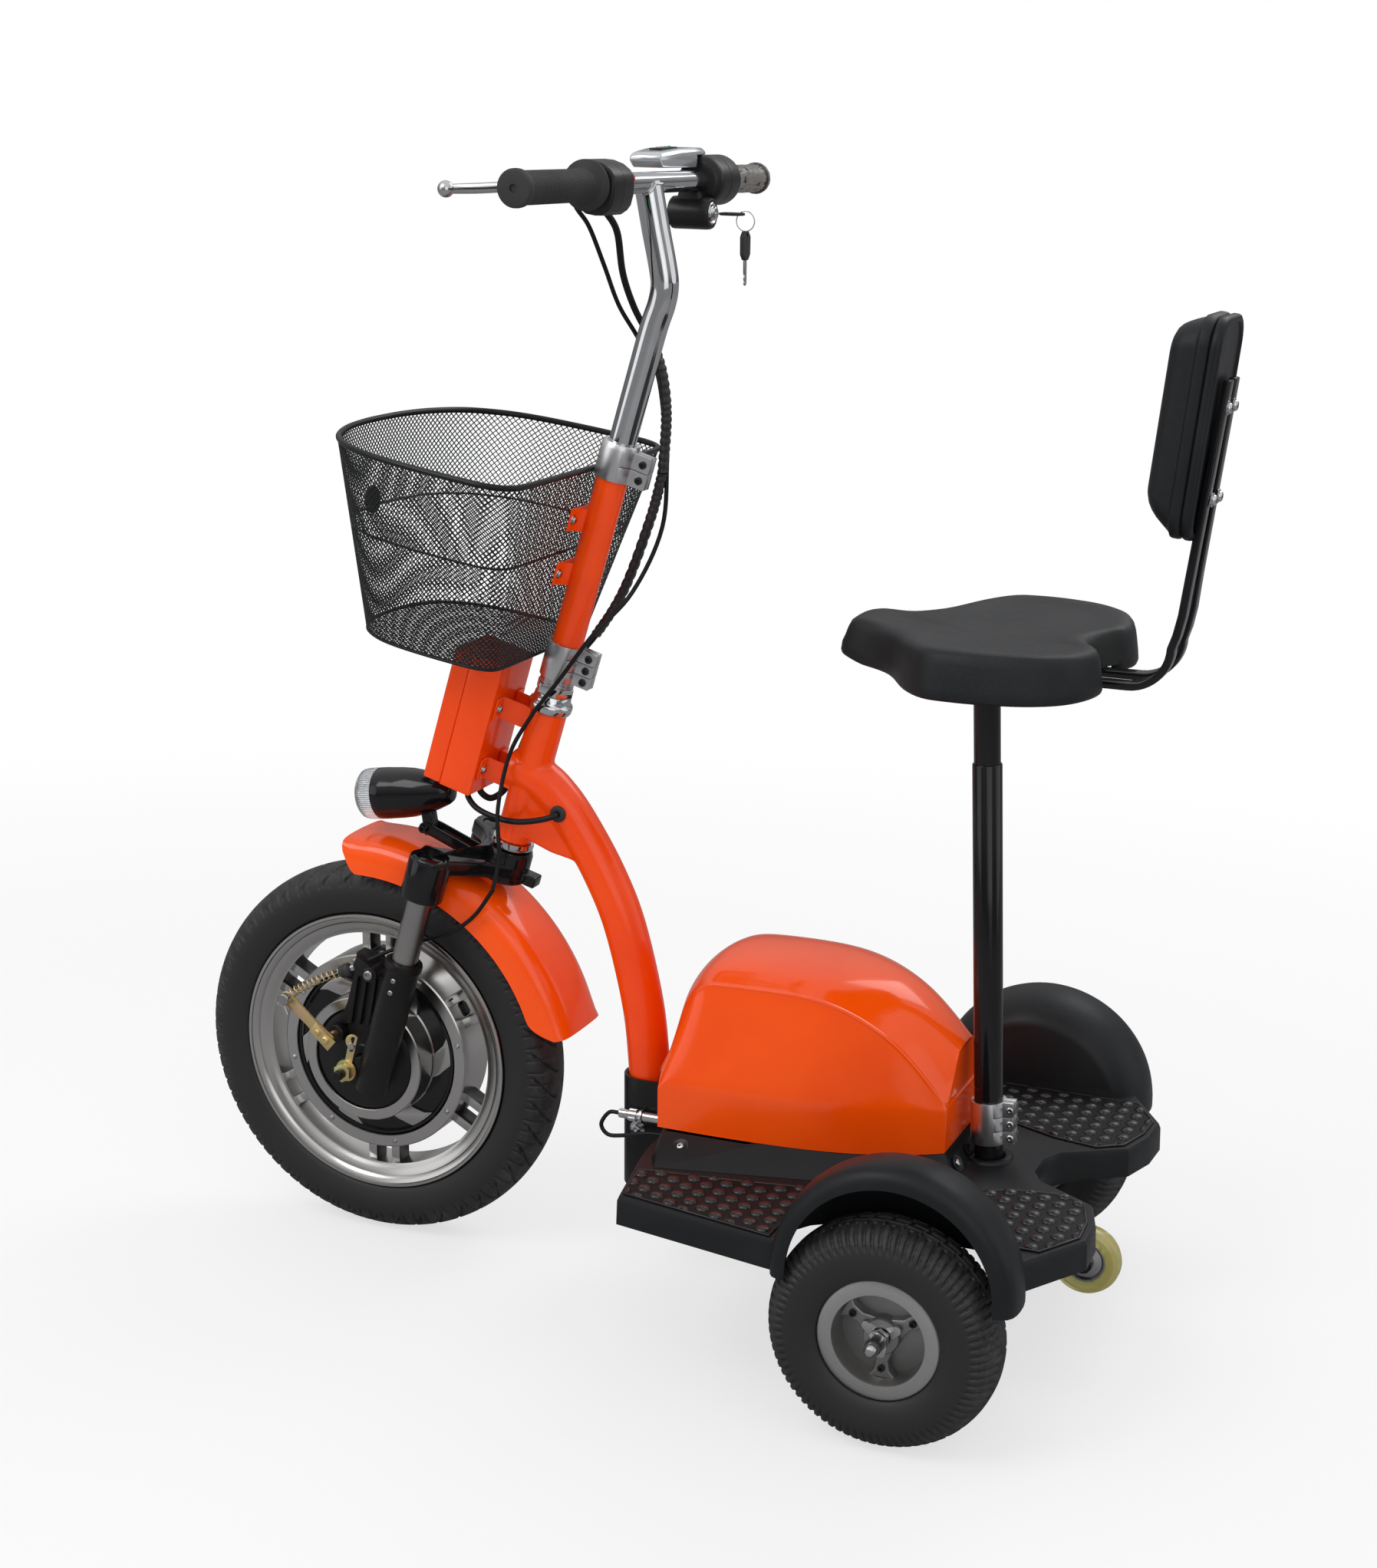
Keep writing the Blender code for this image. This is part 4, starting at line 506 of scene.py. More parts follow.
def tyreRubber(name, centre, inner, outer):
    # Smooth side wall with faint moulding rings, dusty towards the tread
    made = Finish(name, (0.014, 0.014, 0.015), 0.62)
    radius = made.distance(centre, (0, 1, 1))
    dust = radius.between(inner, outer) * made.speckle(70, 5, 0.7).between(0.35, 0.75)
    made.put("Base Color", made.mixed(dust, (0.013, 0.013, 0.014), (0.04, 0.041, 0.042)))
    made.put("Roughness", 0.46 + 0.14 * made.speckle(38, 4) + 0.16 * dust)
    rings = made.node("ShaderNodeTexNoise", {"noise_dimensions": "1D"},
                      {"W": radius, "Scale": 260.0, "Detail": 1.0})
    made.bump(0.5 * rings + 0.5 * made.speckle(1300, 2), 0.00012)
    return made.material


vinyl = grainedVinyl()
frontRubber = tyreRubber("frontRubber", (0, frontAxle[1] + rearAxleY, frontAxle[2]), 0.2, 0.222)
rearRubber = tyreRubber("rearRubber", (0, rearAxleY, rearAxleZ), 0.1, 0.12)
print("finishes made")


# Small fastenings
def hexHead(name, radius, low, high, place, finish, socket=0.0):
    head = plate(name, arc((0, 0), radius, 0, 300, 6), low, high, place, radius * 0.1, 2)
    painted(head, finish)
    if socket:
        hollow = plate(name + "Socket", arc((0, 0), socket, 0, 300, 6), high - radius * 0.5,
                       high + 0.01, place)
        carved(head, hollow)
    return head


def roundHead(name, radius, low, high, place, finish, hollow=0.0):
    # A domed or socket head screw
    rise = high - low
    profile = [(0, low), (radius, low), (radius, low + rise * 0.45), (radius * 0.9, low + rise * 0.78),
               (radius * 0.68, high), (hollow, high)]
    profile += [(hollow, low + rise * 0.35), (0, low + rise * 0.3)] if hollow else []
    return lathed(name, profile, place, 24, finish)


# Wheels
def tyre(name, half, place, sectors, steps, sectionRadius, grooveAt, finish):
    # One stretch of the tread is spun and grooved, then copied round the wheel.
    line = throughPoints([(r, 0, h) for r, h in half + [(r, -h) for r, h in reversed(half[:-1])]], 6)
    stretch = startOutline(name, line, False)
    openMesh()
    bpy.ops.mesh.spin(steps=steps, angle=tau / sectors, center=(0, 0, 0), axis=(0, 0, 1))
    bpy.ops.object.mode_set(mode="OBJECT")
    for vertex in stretch.data.vertices:
        x, y, z = vertex.co
        radius = math.hypot(x, y)
        depth = grooveAt(math.degrees(math.atan2(y, x)) % 360, z, radius)
        if depth:
            back = (sectionRadius - radius) / radius
            vertex.co += Vector((x * back, y * back, -z)).normalized() * depth
    twins = [copied(stretch, turn(360 / sectors * k, "Z")) for k in range(1, sectors)]
    made = joined(name, stretch, *twins)
    openMesh()
    bpy.ops.mesh.remove_doubles(threshold=0.00002)
    closeMesh()
    made.data.transform(place)
    return painted(made, finish)


def notch(offset, halfWidth, depth):
    # Depth of a groove with sloped sides, at an offset from its middle line
    return depth * max(0.0, min(1.0, 1.6 - 1.6 * abs(offset) / halfWidth))


frontTyre = {"sectors": 44, "steps": 20, "pitch": 360 / 44, "sweep": 6.4, "grooveWidth": 0.55,
             "depth": 0.0026, "nickWidth": 0.42, "nickDepth": 0.0016, "nicksFrom": 0.74, "treadFrom": 0.206,
             "fade": 0.006}
treadHalfWidth = 0.03


def frontGroove(angle, height, radius):
    if radius < frontTyre["treadFrom"]:
        return 0.0
    side = abs(height) / treadHalfWidth
    pitch = frontTyre["pitch"]
    leaning = angle + (0.5 * pitch if height < 0 else 0.0) - frontTyre["sweep"] * side ** 1.7
    offset = (leaning + pitch / 2) % pitch - pitch / 2
    long = notch(offset, frontTyre["grooveWidth"], frontTyre["depth"]) if side > 0.08 else 0.0
    short = (angle + pitch * 0.28 + pitch / 4) % (pitch / 2) - pitch / 4
    nick = notch(short, frontTyre["nickWidth"], frontTyre["nickDepth"])
    edge = nick if side > frontTyre["nicksFrom"] else 0.0
    return max(long * min(1.0, (radius - frontTyre["treadFrom"]) / frontTyre["fade"]), edge)


made = tyre("frontTyre", mm((160.4, 19.2), (171.5, 21.6), (172.2, 30), (182, 35), (196.9, 37.3),
                            (211, 34.6), (219.3, 29), (225, 19), (227.4, 9), (228.1, 0)), frontHub,
            frontTyre["sectors"], frontTyre["steps"], 0.19, frontGroove, frontRubber)
fitted(made, "front_wheel_set", "front_tyre")

# Cast rim: barrel with two steps, six pairs of spokes, motor ring with its bolts
lip = mm((145, 19.6), (147.8, 20.4), (150, 23), (158.8, 25.8), (161, 28.8), (166.2, 30.8), (167.2, 32.5),
         (170.2, 32.5), (170.9, 31.6), (170.4, 30), (160, 20.4))
rim = lathed("frontRim", bothFaces(lip), frontHub, 160, machinedFront)
spoke = box("spoke", (0.118, 0.1475), (-0.0056, 0.0056), (-0.01, 0.014), frontHub @ shift(0, 0.0155, 0),
            0.001)
painted(spoke, machinedFront)
# The side walls of each spoke are painted black as painted shade, and the faces stay machined.
painted(spoke, castBlack, lambda place, normal: abs(normal.x) < 0.7)
other = copied(spoke, frontHub @ shift(0, -0.031, 0) @ frontHub.inverted())
pair = joined("spokePair", spoke, other)
# A black web in the corner between the two spokes of a pair, near the ring, is painted shade in that corner.
web = plate("spokeWeb", mm((118.5, -11), (122.5, -6), (122.5, 6), (118.5, 11)), -0.008, 0.006, frontHub,
            0.0008)
painted(web, castBlack)
spokes = around(joined("spokePair", pair, web), 6, frontHub)
ring = mm((105, 26.8), (106.2, 29), (119, 29), (120.5, 27.6))
ring = lathed("motorRing", bothFaces(ring), frontHub, 128, machinedFront)
bolt = roundHead("ringBolt", 0.003, 0.0286, 0.0316, frontHub @ shift(0.1128, 0, 0), brightSteel, 0.0012)
bolts = around(bolt, 8, frontHub, 12)
valve = turned("valve", mm((0, 108.5), (4.2, 108.5), (4.2, 124), (3, 125), (3, 146), (0, 146)), frontHub
               @ turn(128, "Z") @ shift(0.0, 0.0, 0.01) @ turn(90, "Y"), 20)
painted(valve, rubberBlack)
fitted(joined("frontRim", rim, ring, valve, *spokes, *bolts), "front_wheel_set", "front_rim")

# Motor covers: black face with polished swept blades, brake drum in the middle
cover = lathed("motorCoverLeft", mm((8.5, 18), (104.2, 18), (104.2, 26.2), (103.4, 27.5), (100.8, 27.5),
        (98.5, 23.6), (70, 23.6), (70, 30), (8.5, 30)), frontHub, 96, glossBlack)
drum = lathed("brakeDrum", mm((63.2, 30), (76, 23.8), (77.8, 24.4), (76.4, 26.2), (76, 54.5), (74.8, 56),
                              (64, 56), (63.2, 55)), frontHub, 128, machinedFront)
blade = arc((0, 0), 0.0772, 11, -11, 8) + [(0.0852, -0.0088), (0.0915, -0.0015)]
blade += arc((0, 0), 0.0996, 4, 24, 8) + [(0.088, 0.03), (0.0812, 0.0215)]
blade = painted(plate("blade", blade, 0.0225, 0.0268, frontHub, 0.0007), machinedFront)
fitted(joined("motorCoverLeft", cover, drum, *around(blade, 6, frontHub, 24)), "front_wheel_set",
       "motor_cover_left")
cover = lathed("motorCoverRight", mm((8.5, -18), (104.2, -18), (104.2, -26.2), (103, -27.5), (98.5, -27.5),
        (95.5, -26.2), (90, -27), (48, -32.6), (42, -33.2), (30, -41.5), (24, -44), (8.5, -44)), frontHub,
               96, glossBlack)
rib = painted(plate("coverRib", mm((30, -2.2), (94, -1.4), (94, 1.4), (30, 2.2)), -0.0335, -0.0255,
                    frontHub, 0.0006), glossBlack)
screw = roundHead("coverScrew", 0.0028, 0.027, 0.0296, frontHubRight @ shift(0.1, 0, 0), brightSteel,
                  0.0011)
fitted(joined("motorCoverRight", cover, *around(rib, 9, frontHub), *around(screw, 9, frontHubRight, 20)),
       "front_wheel_set", "motor_cover_right")

# Axle with washers, nuts, the wheel's dark threaded ends and the slotted torque arm
pieces = [lathed("axle", mm((0, -118), (4.8, -118), (6, -116.5), (6, -90), (7.2, -89.5), (7.2, 89.5),
                            (6, 90), (6, 116.5), (4.8, 118), (0, 118)), frontHub, 32, castBlack)]
for hub in (frontHub, frontHubRight):
    pieces.append(lathed("axleWasher", mm((6.6, 94.5), (13, 94.5), (13.2, 95.3), (12.8, 96.2),
            (6.6, 96.2)), hub, 40, goldZinc))
    pieces.append(hexHead("axleNut", 0.0116, 0.0962, 0.1062, hub, goldZinc))
arm = arc((0, 0), 0.0095, 225, 405, 12) + arc((0.0095, 0.036), 0.0095, 45, 225, 12)
slotHole = arc((0.007, 0.027), 0.0033, 225, 405, 8) + arc((0.0105, 0.0395), 0.0033, 45, 225, 8)
torqueArm = painted(plate("torqueArm", arm, 0.0924, 0.0945, frontSide, 0.0004), goldZinc)
torqueArm = carved(torqueArm, plate("slotHole", slotHole, 0.09, 0.097, frontSide))
pieces += [torqueArm, hexHead("torqueBolt", 0.0048, 0.094, 0.0975, frontSide @ shift(0.0085, 0.0315, 0),
                              brightSteel)]
fitted(joined("frontAxle", *pieces), "fork_lower_set", "front_axle")

# Small rear wheels
rearTyre = {"sectors": 40, "steps": 18, "ribs": 80, "depth": 0.0021, "treadFrom": 0.0985,
            "shoulderFrom": 0.42, "ringAt": 0.3, "fade": 0.006}


def rearGroove(angle, height, radius):
    if radius <= rearTyre["treadFrom"]:
        return 0.0
    side = abs(height) / treadHalfWidth
    pitch = 360 / rearTyre["ribs"]
    if side > rearTyre["shoulderFrom"]:
        lean = 90 * (0.116 - radius) * (1 if height > 0 else -1)
        offset = (angle + lean + pitch / 2) % pitch - pitch / 2
        fade = min(1.0, (radius - rearTyre["treadFrom"]) / rearTyre["fade"])
        return notch(offset, 1.25, rearTyre["depth"]) * fade
    cross = (angle + (pitch / 2 if side < 0.18 else 0) + pitch) % (2 * pitch) - pitch
    return max(notch(cross, 0.9, 0.0018), notch((side - rearTyre["ringAt"]) * 30, 1.4, 0.002),
               notch((side - 0.06) * 30, 1.2, 0.0016))


for side, hand in ((1, "left"), (-1, "right")):
    hub = at(side * 0.2746, 0, rearAxleZ) @ (toLeft if side > 0 else toRight)
    made = tyre("rearTyre" + hand.title(), mm((60.3, 22.2), (66, 24.6), (66.8, 30), (77, 35.2),
            (92.3, 37.3), (107, 34.5), (116, 27), (122, 17), (124.3, 8), (124.7, 0)), hub,
                rearTyre["sectors"], rearTyre["steps"], 0.085, rearGroove, rearRubber)
    fitted(made, "rear_wheel_%s_set" % hand, "rear_tyre_" + hand)
    flange = mm((49, 26.2), (50, 28), (64, 28), (65.5, 27.2), (65.5, 26.2), (59.8, 23.2), (59.8, -23.2),
                (65.5, -26.2), (65.5, -27.2), (64, -28), (50, -28), (49, -26.2), (47.2, -7), (47.6, -0.5),
                (48, 0.5))
    flange = lathed("wheelFlange", flange, hub, 96, castAlloy)
    painted(flange, machinedRear, lambda place, normal: abs(normal.x) > 0.9)
    disc = mm((19.5, -7), (47.8, -7), (47.8, -0.5), (40, -0.2), (19.5, 1.8))
    disc = lathed("wheelDisc", disc, hub, 72, castAlloy)
    boss = mm((7.8, -30), (18, -30), (19.5, -10), (19.5, 15), (18.2, 17), (10.4, 17), (10.4, 12), (7.8, 12))
    boss = lathed("wheelBoss", boss, hub, 48, castAlloy)
    lobe = plate("bossLobe", arc((0.0185, 0), 0.0052, -90, 90, 9) + [(0.01, 0.0068), (0.01, -0.0068)],
                 0.015, 0.0176, hub, 0.0006)
    painted(lobe, machinedRear)
    arm = plate("wheelArm", mm((15, -12), (29, -6.6), (40, -8), (48.3, -15), (48.3, 15), (40, 8),
                               (29, 6.6), (15, 12)), -0.001, 0.0118, hub, 0.0022, 3)
    painted(arm, castAlloy)
    bolt = hexHead("armBolt", 0.0042, 0.0115, 0.0152, hub @ shift(0.037, 0, 0), castBlack, 0.002)
    details = joined("armSet", arm, lobe, bolt)
    rim = joined("rearRim" + hand.title(), flange, disc, boss, *around(details, 3, hub))
    fitted(rim, "rear_wheel_%s_set" % hand, "rear_rim_" + hand)

# Rear axle with its nickel nuts and acorn caps
pieces = [lathed("rearAxle", mm((0, -296), (7.5, -296), (7.5, 296), (0, 296)), at(0, 0, rearAxleZ) @ toLeft,
                 32, satinSteel)]
for way in (toLeft, toRight):
    hub = at(0, 0, rearAxleZ) @ way
    pieces.append(hexHead("axleNut", 0.011, 0.2924, 0.303, hub, brightSteel))
    cap = mm((0, 302), (9.2, 302), (9.4, 306), (8.8, 318), (7, 325.5), (4, 329.2), (0, 330))
    pieces.append(lathed("acornCap", cap, hub, 32, brightSteel))
fitted(joined("rearAxle", *pieces), "main_frame", "rear_axle")

# Clear yellow castor on its silver hub
hub = at(0, 0.1395, 0.109) @ toLeft
wheel = mm((23.2, 10), (26.5, 11.2), (33, 11.6), (37.5, 8.5), (39.2, 3.5))
wheel = lathed("castorTyre", bothFaces(wheel), hub, 96, amberTyre)
core = mm((3.4, 14), (9, 14), (10.4, 12), (11, 8.5), (19, 6.8), (21.5, 9.2), (23.4, 9.2))
core = lathed("castorCore", bothFaces(core), hub, 64, brightSteel)
boss = painted(box("castorRib", (0.0225, 0.0262), (-0.0022, 0.0022), (-0.0086, 0.0086), hub, 0.0006),
               amberTyre)
fitted(joined("castorWheel", wheel, core, *around(boss, 16, hub)), "castor_set", "castor_wheel")
print("wheels made")


# Drum brake: black plate with ribs, bracket with its anchor bolt, boot and adjuster of the cable
pieces = [lathed("brakePlate", mm((8.5, 48), (62, 48), (62.5, 48.6), (62.5, 52.6), (61.2, 53.8), (57, 55.6),
        (44, 56), (42, 57.2), (20, 57.5), (18, 59), (8.5, 59)), frontHub, 72, castBlack)]
bracket = mm((-30, 42), (26, 50), (37, 86), (42, 108), (40.5, 126), (33, 135), (8, 141), (-1, 135),
             (-6, 105), (-16, 70))
pieces.append(painted(plate("brakeBracket", bracket, 0.0565, 0.062, frontSide, 0.0012), castBlack))
for offset in (-0.01, 0.002, 0.014):
    rib = [(offset - 0.004, 0.047), (offset + 0.002, 0.047), (offset + 0.013, 0.106),
           (offset + 0.0105, 0.106)]
    pieces.append(painted(plate("brakeRib", rib, 0.06, 0.0672, frontSide, 0.001), castBlack))
anchor = at(*frontAxle) @ shift(0, 0.0309, 0.1199) @ toLeft
pieces.append(lathed("anchorBoss", mm((0, 60), (9.8, 60), (9, 70), (9, 89.5), (7.8, 90.3), (0, 90.3)),
                     anchor, 36, castBlack))
pieces.append(roundHead("anchorBolt", 0.0062, 0.09, 0.094, anchor, satinSteel, 0.003))
stop = mm((6, 122), (30, 113), (32, 130), (14, 140))
pieces.append(painted(plate("cableStop", stop, 0.061, 0.0885, frontSide, 0.002), castBlack))
pieces.append(lathed("camBoss", mm((0, 54), (11.5, 54), (10.8, 69), (9.8, 70), (0, 70)), at(*frontAxle)
                     @ shift(0, -0.0284, 0.032) @ toLeft, 36, castBlack))
bootPlace = at(0.088, -0.729, 0.3488) @ facing(Vector((-0.01, 0.043, 0.018)).normalized())
pieces.append(lathed("cableBoot", mm((0, -6), (6.2, -6), (7, -4), (6.4, -1), (7.8, 0.5), (7.8, 6), (6, 8),
        (0, 8)), bootPlace, 32, rubberBlack))
pieces.append(lathed("cableAdjuster", mm((0, 7.5), (4.2, 7.5), (4.2, 13), (3.5, 13.5), (3.5, 22),
        (2.8, 22.8), (0, 22.8)), bootPlace, 28, brightSteel))
fitted(joined("brakePlate", *pieces), "fork_lower_set", "brake_plate")

# Brake arm: folded gold strip with a clevis at the cam, a silver nipple and a wing bolt at its end
cam = at(0, -0.7558, 0.2605)
reach = Vector((-0.0509, 0.044))
lean = math.degrees(math.atan2(reach.y, reach.x))
arm = arc((0, 0), 0.01, lean + 105, lean + 255, 9) + arc((reach.x * 0.42, reach.y * 0.42), 0.0068,
        lean - 100, lean - 80, 3)
arm += arc(tuple(reach), 0.0082, lean - 85, lean + 85, 11)
arm += arc((reach.x * 0.42, reach.y * 0.42), 0.0068, lean + 80, lean + 100, 3)
pieces = [painted(plate("brakeArm", arm, 0.0862, 0.0893, cam @ sideOn, 0.0006), goldZinc)]
along, across = reach.normalized(), Vector((-reach.y, reach.x)).normalized()
cheek = [along * -0.0105 + across * 0.0085, along * 0.022 + across * 0.0072, along * 0.022 - across
         * 0.0072, along * -0.0105 - across * 0.0085]
cheek = plate("armCheek", [tuple(p) for p in cheek], 0.09, 0.0922, cam @ sideOn, 0.0006)
pieces.append(painted(cheek, goldZinc))
for step, size in ((0.0, 0.0052), (0.0128, 0.0038)):
    pin = cam @ shift(0, along.x * step, along.y * step) @ toLeft
    pieces.append(roundHead("armPin", size, 0.0915, 0.0952, pin, goldZinc))
pieces.append(lathed("camShaft", mm((0, 70.3), (5.3, 70.3), (5.3, 94), (0, 94)), cam @ toLeft, 28,
                     goldZinc))
tip = cam @ shift(0, reach.x, reach.y) @ toLeft
pieces.append(lathed("nipple", mm((0, 85), (6.8, 85), (7.2, 85.8), (7.2, 97.5), (6.2, 98.8), (0, 99)), tip,
                     36, satinSteel))
wing = at(0.0925, -0.8095, 0.2975) @ turn(20, "X")
pieces.append(lathed("wingScrew", mm((0, -13), (2.2, -13), (2.2, -2), (4.6, -1.5), (4.6, 3.5), (2, 5),
        (0, 5)), wing, 24, brightSteel))
pieces.append(painted(box("wing", (-0.001, 0.001), (-0.0085, 0.0085), (-0.0006, 0.0042), wing, 0.0008),
                      brightSteel))
fitted(joined("brakeArm", *pieces), "brake_arm_set", "brake_arm")


def hung(piece, node):
    # A piece between two bodies. It is left where it is drawn and goes with neither body.
    takeUp(piece)
    bpy.ops.object.shade_smooth_by_angle(angle=math.radians(50))
    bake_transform(piece)
    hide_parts(node)


# Return spring, an open coil along the bent end of the cable
springForm = {"curls": 11, "steps": 20, "radius": 0.0048, "wire": 0.0009, "cable": 0.001}
start, middle = Vector((0.094, -0.7985, 0.3125)), Vector((0.093, -0.77, 0.333))
end = Vector((0.088, -0.733, 0.347))
coil, line = [], []
for i in range(springForm["curls"] * springForm["steps"] + 1):
    t = i / (springForm["curls"] * springForm["steps"])
    centre = start * (1 - t) ** 2 + middle * 2 * t * (1 - t) + end * t * t
    heading = ((middle - start) * (1 - t) + (end - middle) * t).normalized()
    across = heading.cross(Vector((1, 0, 0))).normalized()
    angle = tau * i / springForm["steps"]
    outwards = across * math.cos(angle) + heading.cross(across) * math.sin(angle)
    coil.append(centre + springForm["radius"] * outwards)
    if i % springForm["steps"] == 0:
        line.append(centre)
spring = joined("brakeSpring", painted(tube("brakeSpring", coil, springForm["wire"], sides=2), goldZinc),
                painted(tube("innerCable", line, springForm["cable"], sides=2), brightSteel))
hung(spring, "brake_spring")


# Fork: cast crown with its leg sockets, collar, stop and lamp bracket
outline = mm((0, 26.5), (13, 23.5), (23, 15), (40, -8), (70, -30), (100, -44), (103, -58), (96, -74),
             (60, -79), (48, -60), (30, -45), (0, -40))
crown = plate("forkCrown", mirrored(outline), -0.034, -0.015, column, 0.0035, 3)


def legPlace(side):
    return column @ shift(side * 0.079, -0.058, 0)


parts = [turned("collar", mm((0, -40), (23.5, -40), (26.2, -37.5), (26.5, -34), (26.5, -7), (24.5, -1),
                             (14.3, -0.3), (14.3, 300), (0, 300)), column, 64)]
for side in (-1, 1):
    rings = []
    for x, y, top, width in ((0.008, -0.014, -0.0035, 0.011), (0.022, -0.025, -0.005, 0.01),
                             (0.036, -0.036, -0.008, 0.009), (0.052, -0.046, -0.0125, 0.0085),
                             (0.07, -0.055, -0.0185, 0.009)):
        section = [(width, -0.036), (-width, -0.036), (-width * 0.8, top - 0.002),
                   (-width * 0.55, top), (width * 0.55, top), (width * 0.8, top - 0.002)]
        rings.append([(side * x - w, y + w * 0.7, s) for w, s in section])
    arm = skinned("crownArm", rings, column)
    socket = turned("legSocket", mm((15.3, -68), (22.5, -68), (24.3, -66.5), (24.6, -64), (24.6, -21.5),
                                    (23.6, -19.2), (21.5, -18.5), (15.6, -18.5), (15.3, -20)),
                    legPlace(side), 64)
    low, high = sorted((side * 0.0085, side * 0.0112))
    strip = [(-0.038, -0.032), (-0.038, -0.019), (-0.095, -0.0135)]
    strip += arc((-0.106, -0.02), 0.0065, 95, 265, 8) + [(-0.095, -0.0265)]
    strip = plate("lampStrip", strip, low, high, column @ sideOn, 0.0006)
    lampBolt = turned("lampBolt", mm((0, 11.2), (5.2, 11.2), (5.2, 16), (4.2, 17.2), (2.2, 17.2),
            (2.2, 14), (0, 14)), column @ shift(0, -0.1055, -0.02) @ (toLeft if side > 0 else toRight), 28)
    crown = carved(crown, cylinder("legHole", 0.02, -0.1, 0.05, legPlace(side), 32))
    parts += [arm, socket, strip, lampBolt]
parts.append(box("steeringStop", (-0.0095, 0.0095), (0.015, 0.042), (-0.0358, -0.0225), column, 0.002, 3))
crown = joined("forkCrown", crown, *parts)
fitted(painted(crown, glossBlack), "steering_set", "fork_crown", smooth=40)

for side, hand in ((1, "left"), (-1, "right")):
    leg = legPlace(side)
    tubeSteel = mm((0, -19.2), (12, -19.2), (12.8, -19.7), (14, -19.7), (15, -20.7), (15, -262), (0, -262))
    made = lathed("stanchion" + hand.title(), tubeSteel, leg, 64, satinSteel)
    painted(made, glossBlack, lambda place, normal: normal.z > 0.8)
    fitted(made, "steering_set", "stanchion_" + hand)
    shell = mm((0, -325), (14, -324.8), (18.8, -322.5), (20, -318), (20, -164), (20.6, -161.5),
               (21.9, -160), (22.1, -154.5), (21.2, -151.8), (19, -151), (16, -151), (15.5, -153),
               (15.5, -297.5), (0, -297.5))
    shell = lathed("forkLeg", shell, leg, 64, castBlack)
    low, high = sorted((side * 0.0015, side * 0.013))
    lug = mm((-12, -323.5), (-12, -293.5), (-15.7, -293), (-15.7, -282))
    lug += arc((-0.0292, -0.3055), 0.015, 95, 265, 16)
    lug = painted(plate("dropout", lug, low, high, leg @ sideOn, 0.0018, 3), castBlack)
    rivets = [roundHead("legRivet", 0.0034, 0.0192, 0.0216, leg @ shift(0, 0.0015, s) @ toLeft,
                        satinSteel, 0.0012) for s in ((-0.1705, -0.186) if side > 0 else ())]
    fitted(joined("forkLeg" + hand.title(), shell, lug, *rivets), "fork_lower_set", "fork_leg_" + hand)

# Front mudguard, crowned across and rolled in at both ends
guard = {"radius": 0.268, "wall": 0.0028, "first": 95.0, "last": 13.0, "steps": 72, "skirt": 0.042,
         "halfWidth": 0.053}
# Shares of the half width and of the skirt, from the edge to the crest
guardHalf = [(1.0, 1.0), (1.0, 0.8), (0.993, 0.6), (0.965, 0.4), (0.905, 0.235), (0.8, 0.125),
             (0.64, 0.058), (0.42, 0.022), (0.2, 0.006), (0, 0)]
rings = []
for i in range(guard["steps"] + 1):
    t = i / guard["steps"]
    angle = math.radians(guard["first"] + (guard["last"] - guard["first"]) * t)
    nearEnd = max(0.0, 1 - t / 0.05, 1 - (1 - t) / 0.09)
    skirt = guard["skirt"] * (1 - 0.62 * nearEnd ** 2.2)
    halfWidth = guard["halfWidth"] * (1 - 0.05 * nearEnd ** 3)
    outer = [(halfWidth * x, guard["radius"] - skirt * drop) for x, drop in guardHalf]
    outer += [(-x, r) for x, r in reversed(outer[:-1])]
    inner = [(x * (1 - guard["wall"] / guard["halfWidth"]), r - (0 if k in (0, len(outer) - 1)
            else guard["wall"])) for k, (x, r) in enumerate(outer)]
    rings.append([(x, r * math.cos(angle), r * math.sin(angle)) for x, r in outer + inner[::-1]])
made = skinned("frontFender", rings, at(*frontAxle))
lug = plate("fenderLug", mm((-34, -40.5), (-34, -45), (-6, -52), (-6, -40.5)), -0.014, 0.014, column
            @ sideOn, 0.001)
fitted(painted(joined("frontFender", made, lug), orangeShell), "steering_set", "front_fender", smooth=50)

# Headlamp: black body, clear ribbed lens with a reflector and bulb behind it
lamp = at(0, -0.632, 0.5525) @ turn(98, "X")
body = mm((0, 0), (9.8, 0), (12.2, 1.2), (15.5, 6), (20.5, 18.5), (25.2, 34), (28.3, 50), (29.4, 64),
          (29.8, 80), (30, 81.5), (30, 91.5), (29.5, 92.5), (28.4, 92.5), (27, 85), (19, 70), (7, 62),
          (0, 62))
body = lathed("headlamp", body, lamp, 96, glossBlack)
mirror = mm((6.6, 64), (15, 68), (21.5, 76), (26.2, 87), (28, 92), (27.4, 92.2), (20.5, 77.5), (14, 69.5),
            (6.6, 65.5))
mirror = lathed("reflector", mirror, lamp, 72, chrome)
bulb = mm((0, 62), (4, 62), (4, 76), (6, 81), (6.6, 86), (5.2, 91), (2.6, 93.2), (0, 93.6))
bulb = lathed("bulb", bulb, lamp, 32, clearPlastic)
foot = painted(box("lampFoot", (-0.008, 0.008), (-0.05, -0.02), (0.0285, 0.0415), lamp, 0.002, 3),
               glossBlack)
fitted(joined("headlamp", body, mirror, bulb, foot), "steering_set", "headlamp")
glass = mm((0, 118.5), (10, 118.1), (19, 116.8), (25.5, 114.5), (28.4, 111.5), (29.4, 108), (29.8, 103),
           (29.9, 93), (28.4, 93), (28.1, 104), (27.4, 109), (24, 112.6), (13, 115.2), (0, 116.2))
glass = turned("lampLens", glass, Matrix(), 360)
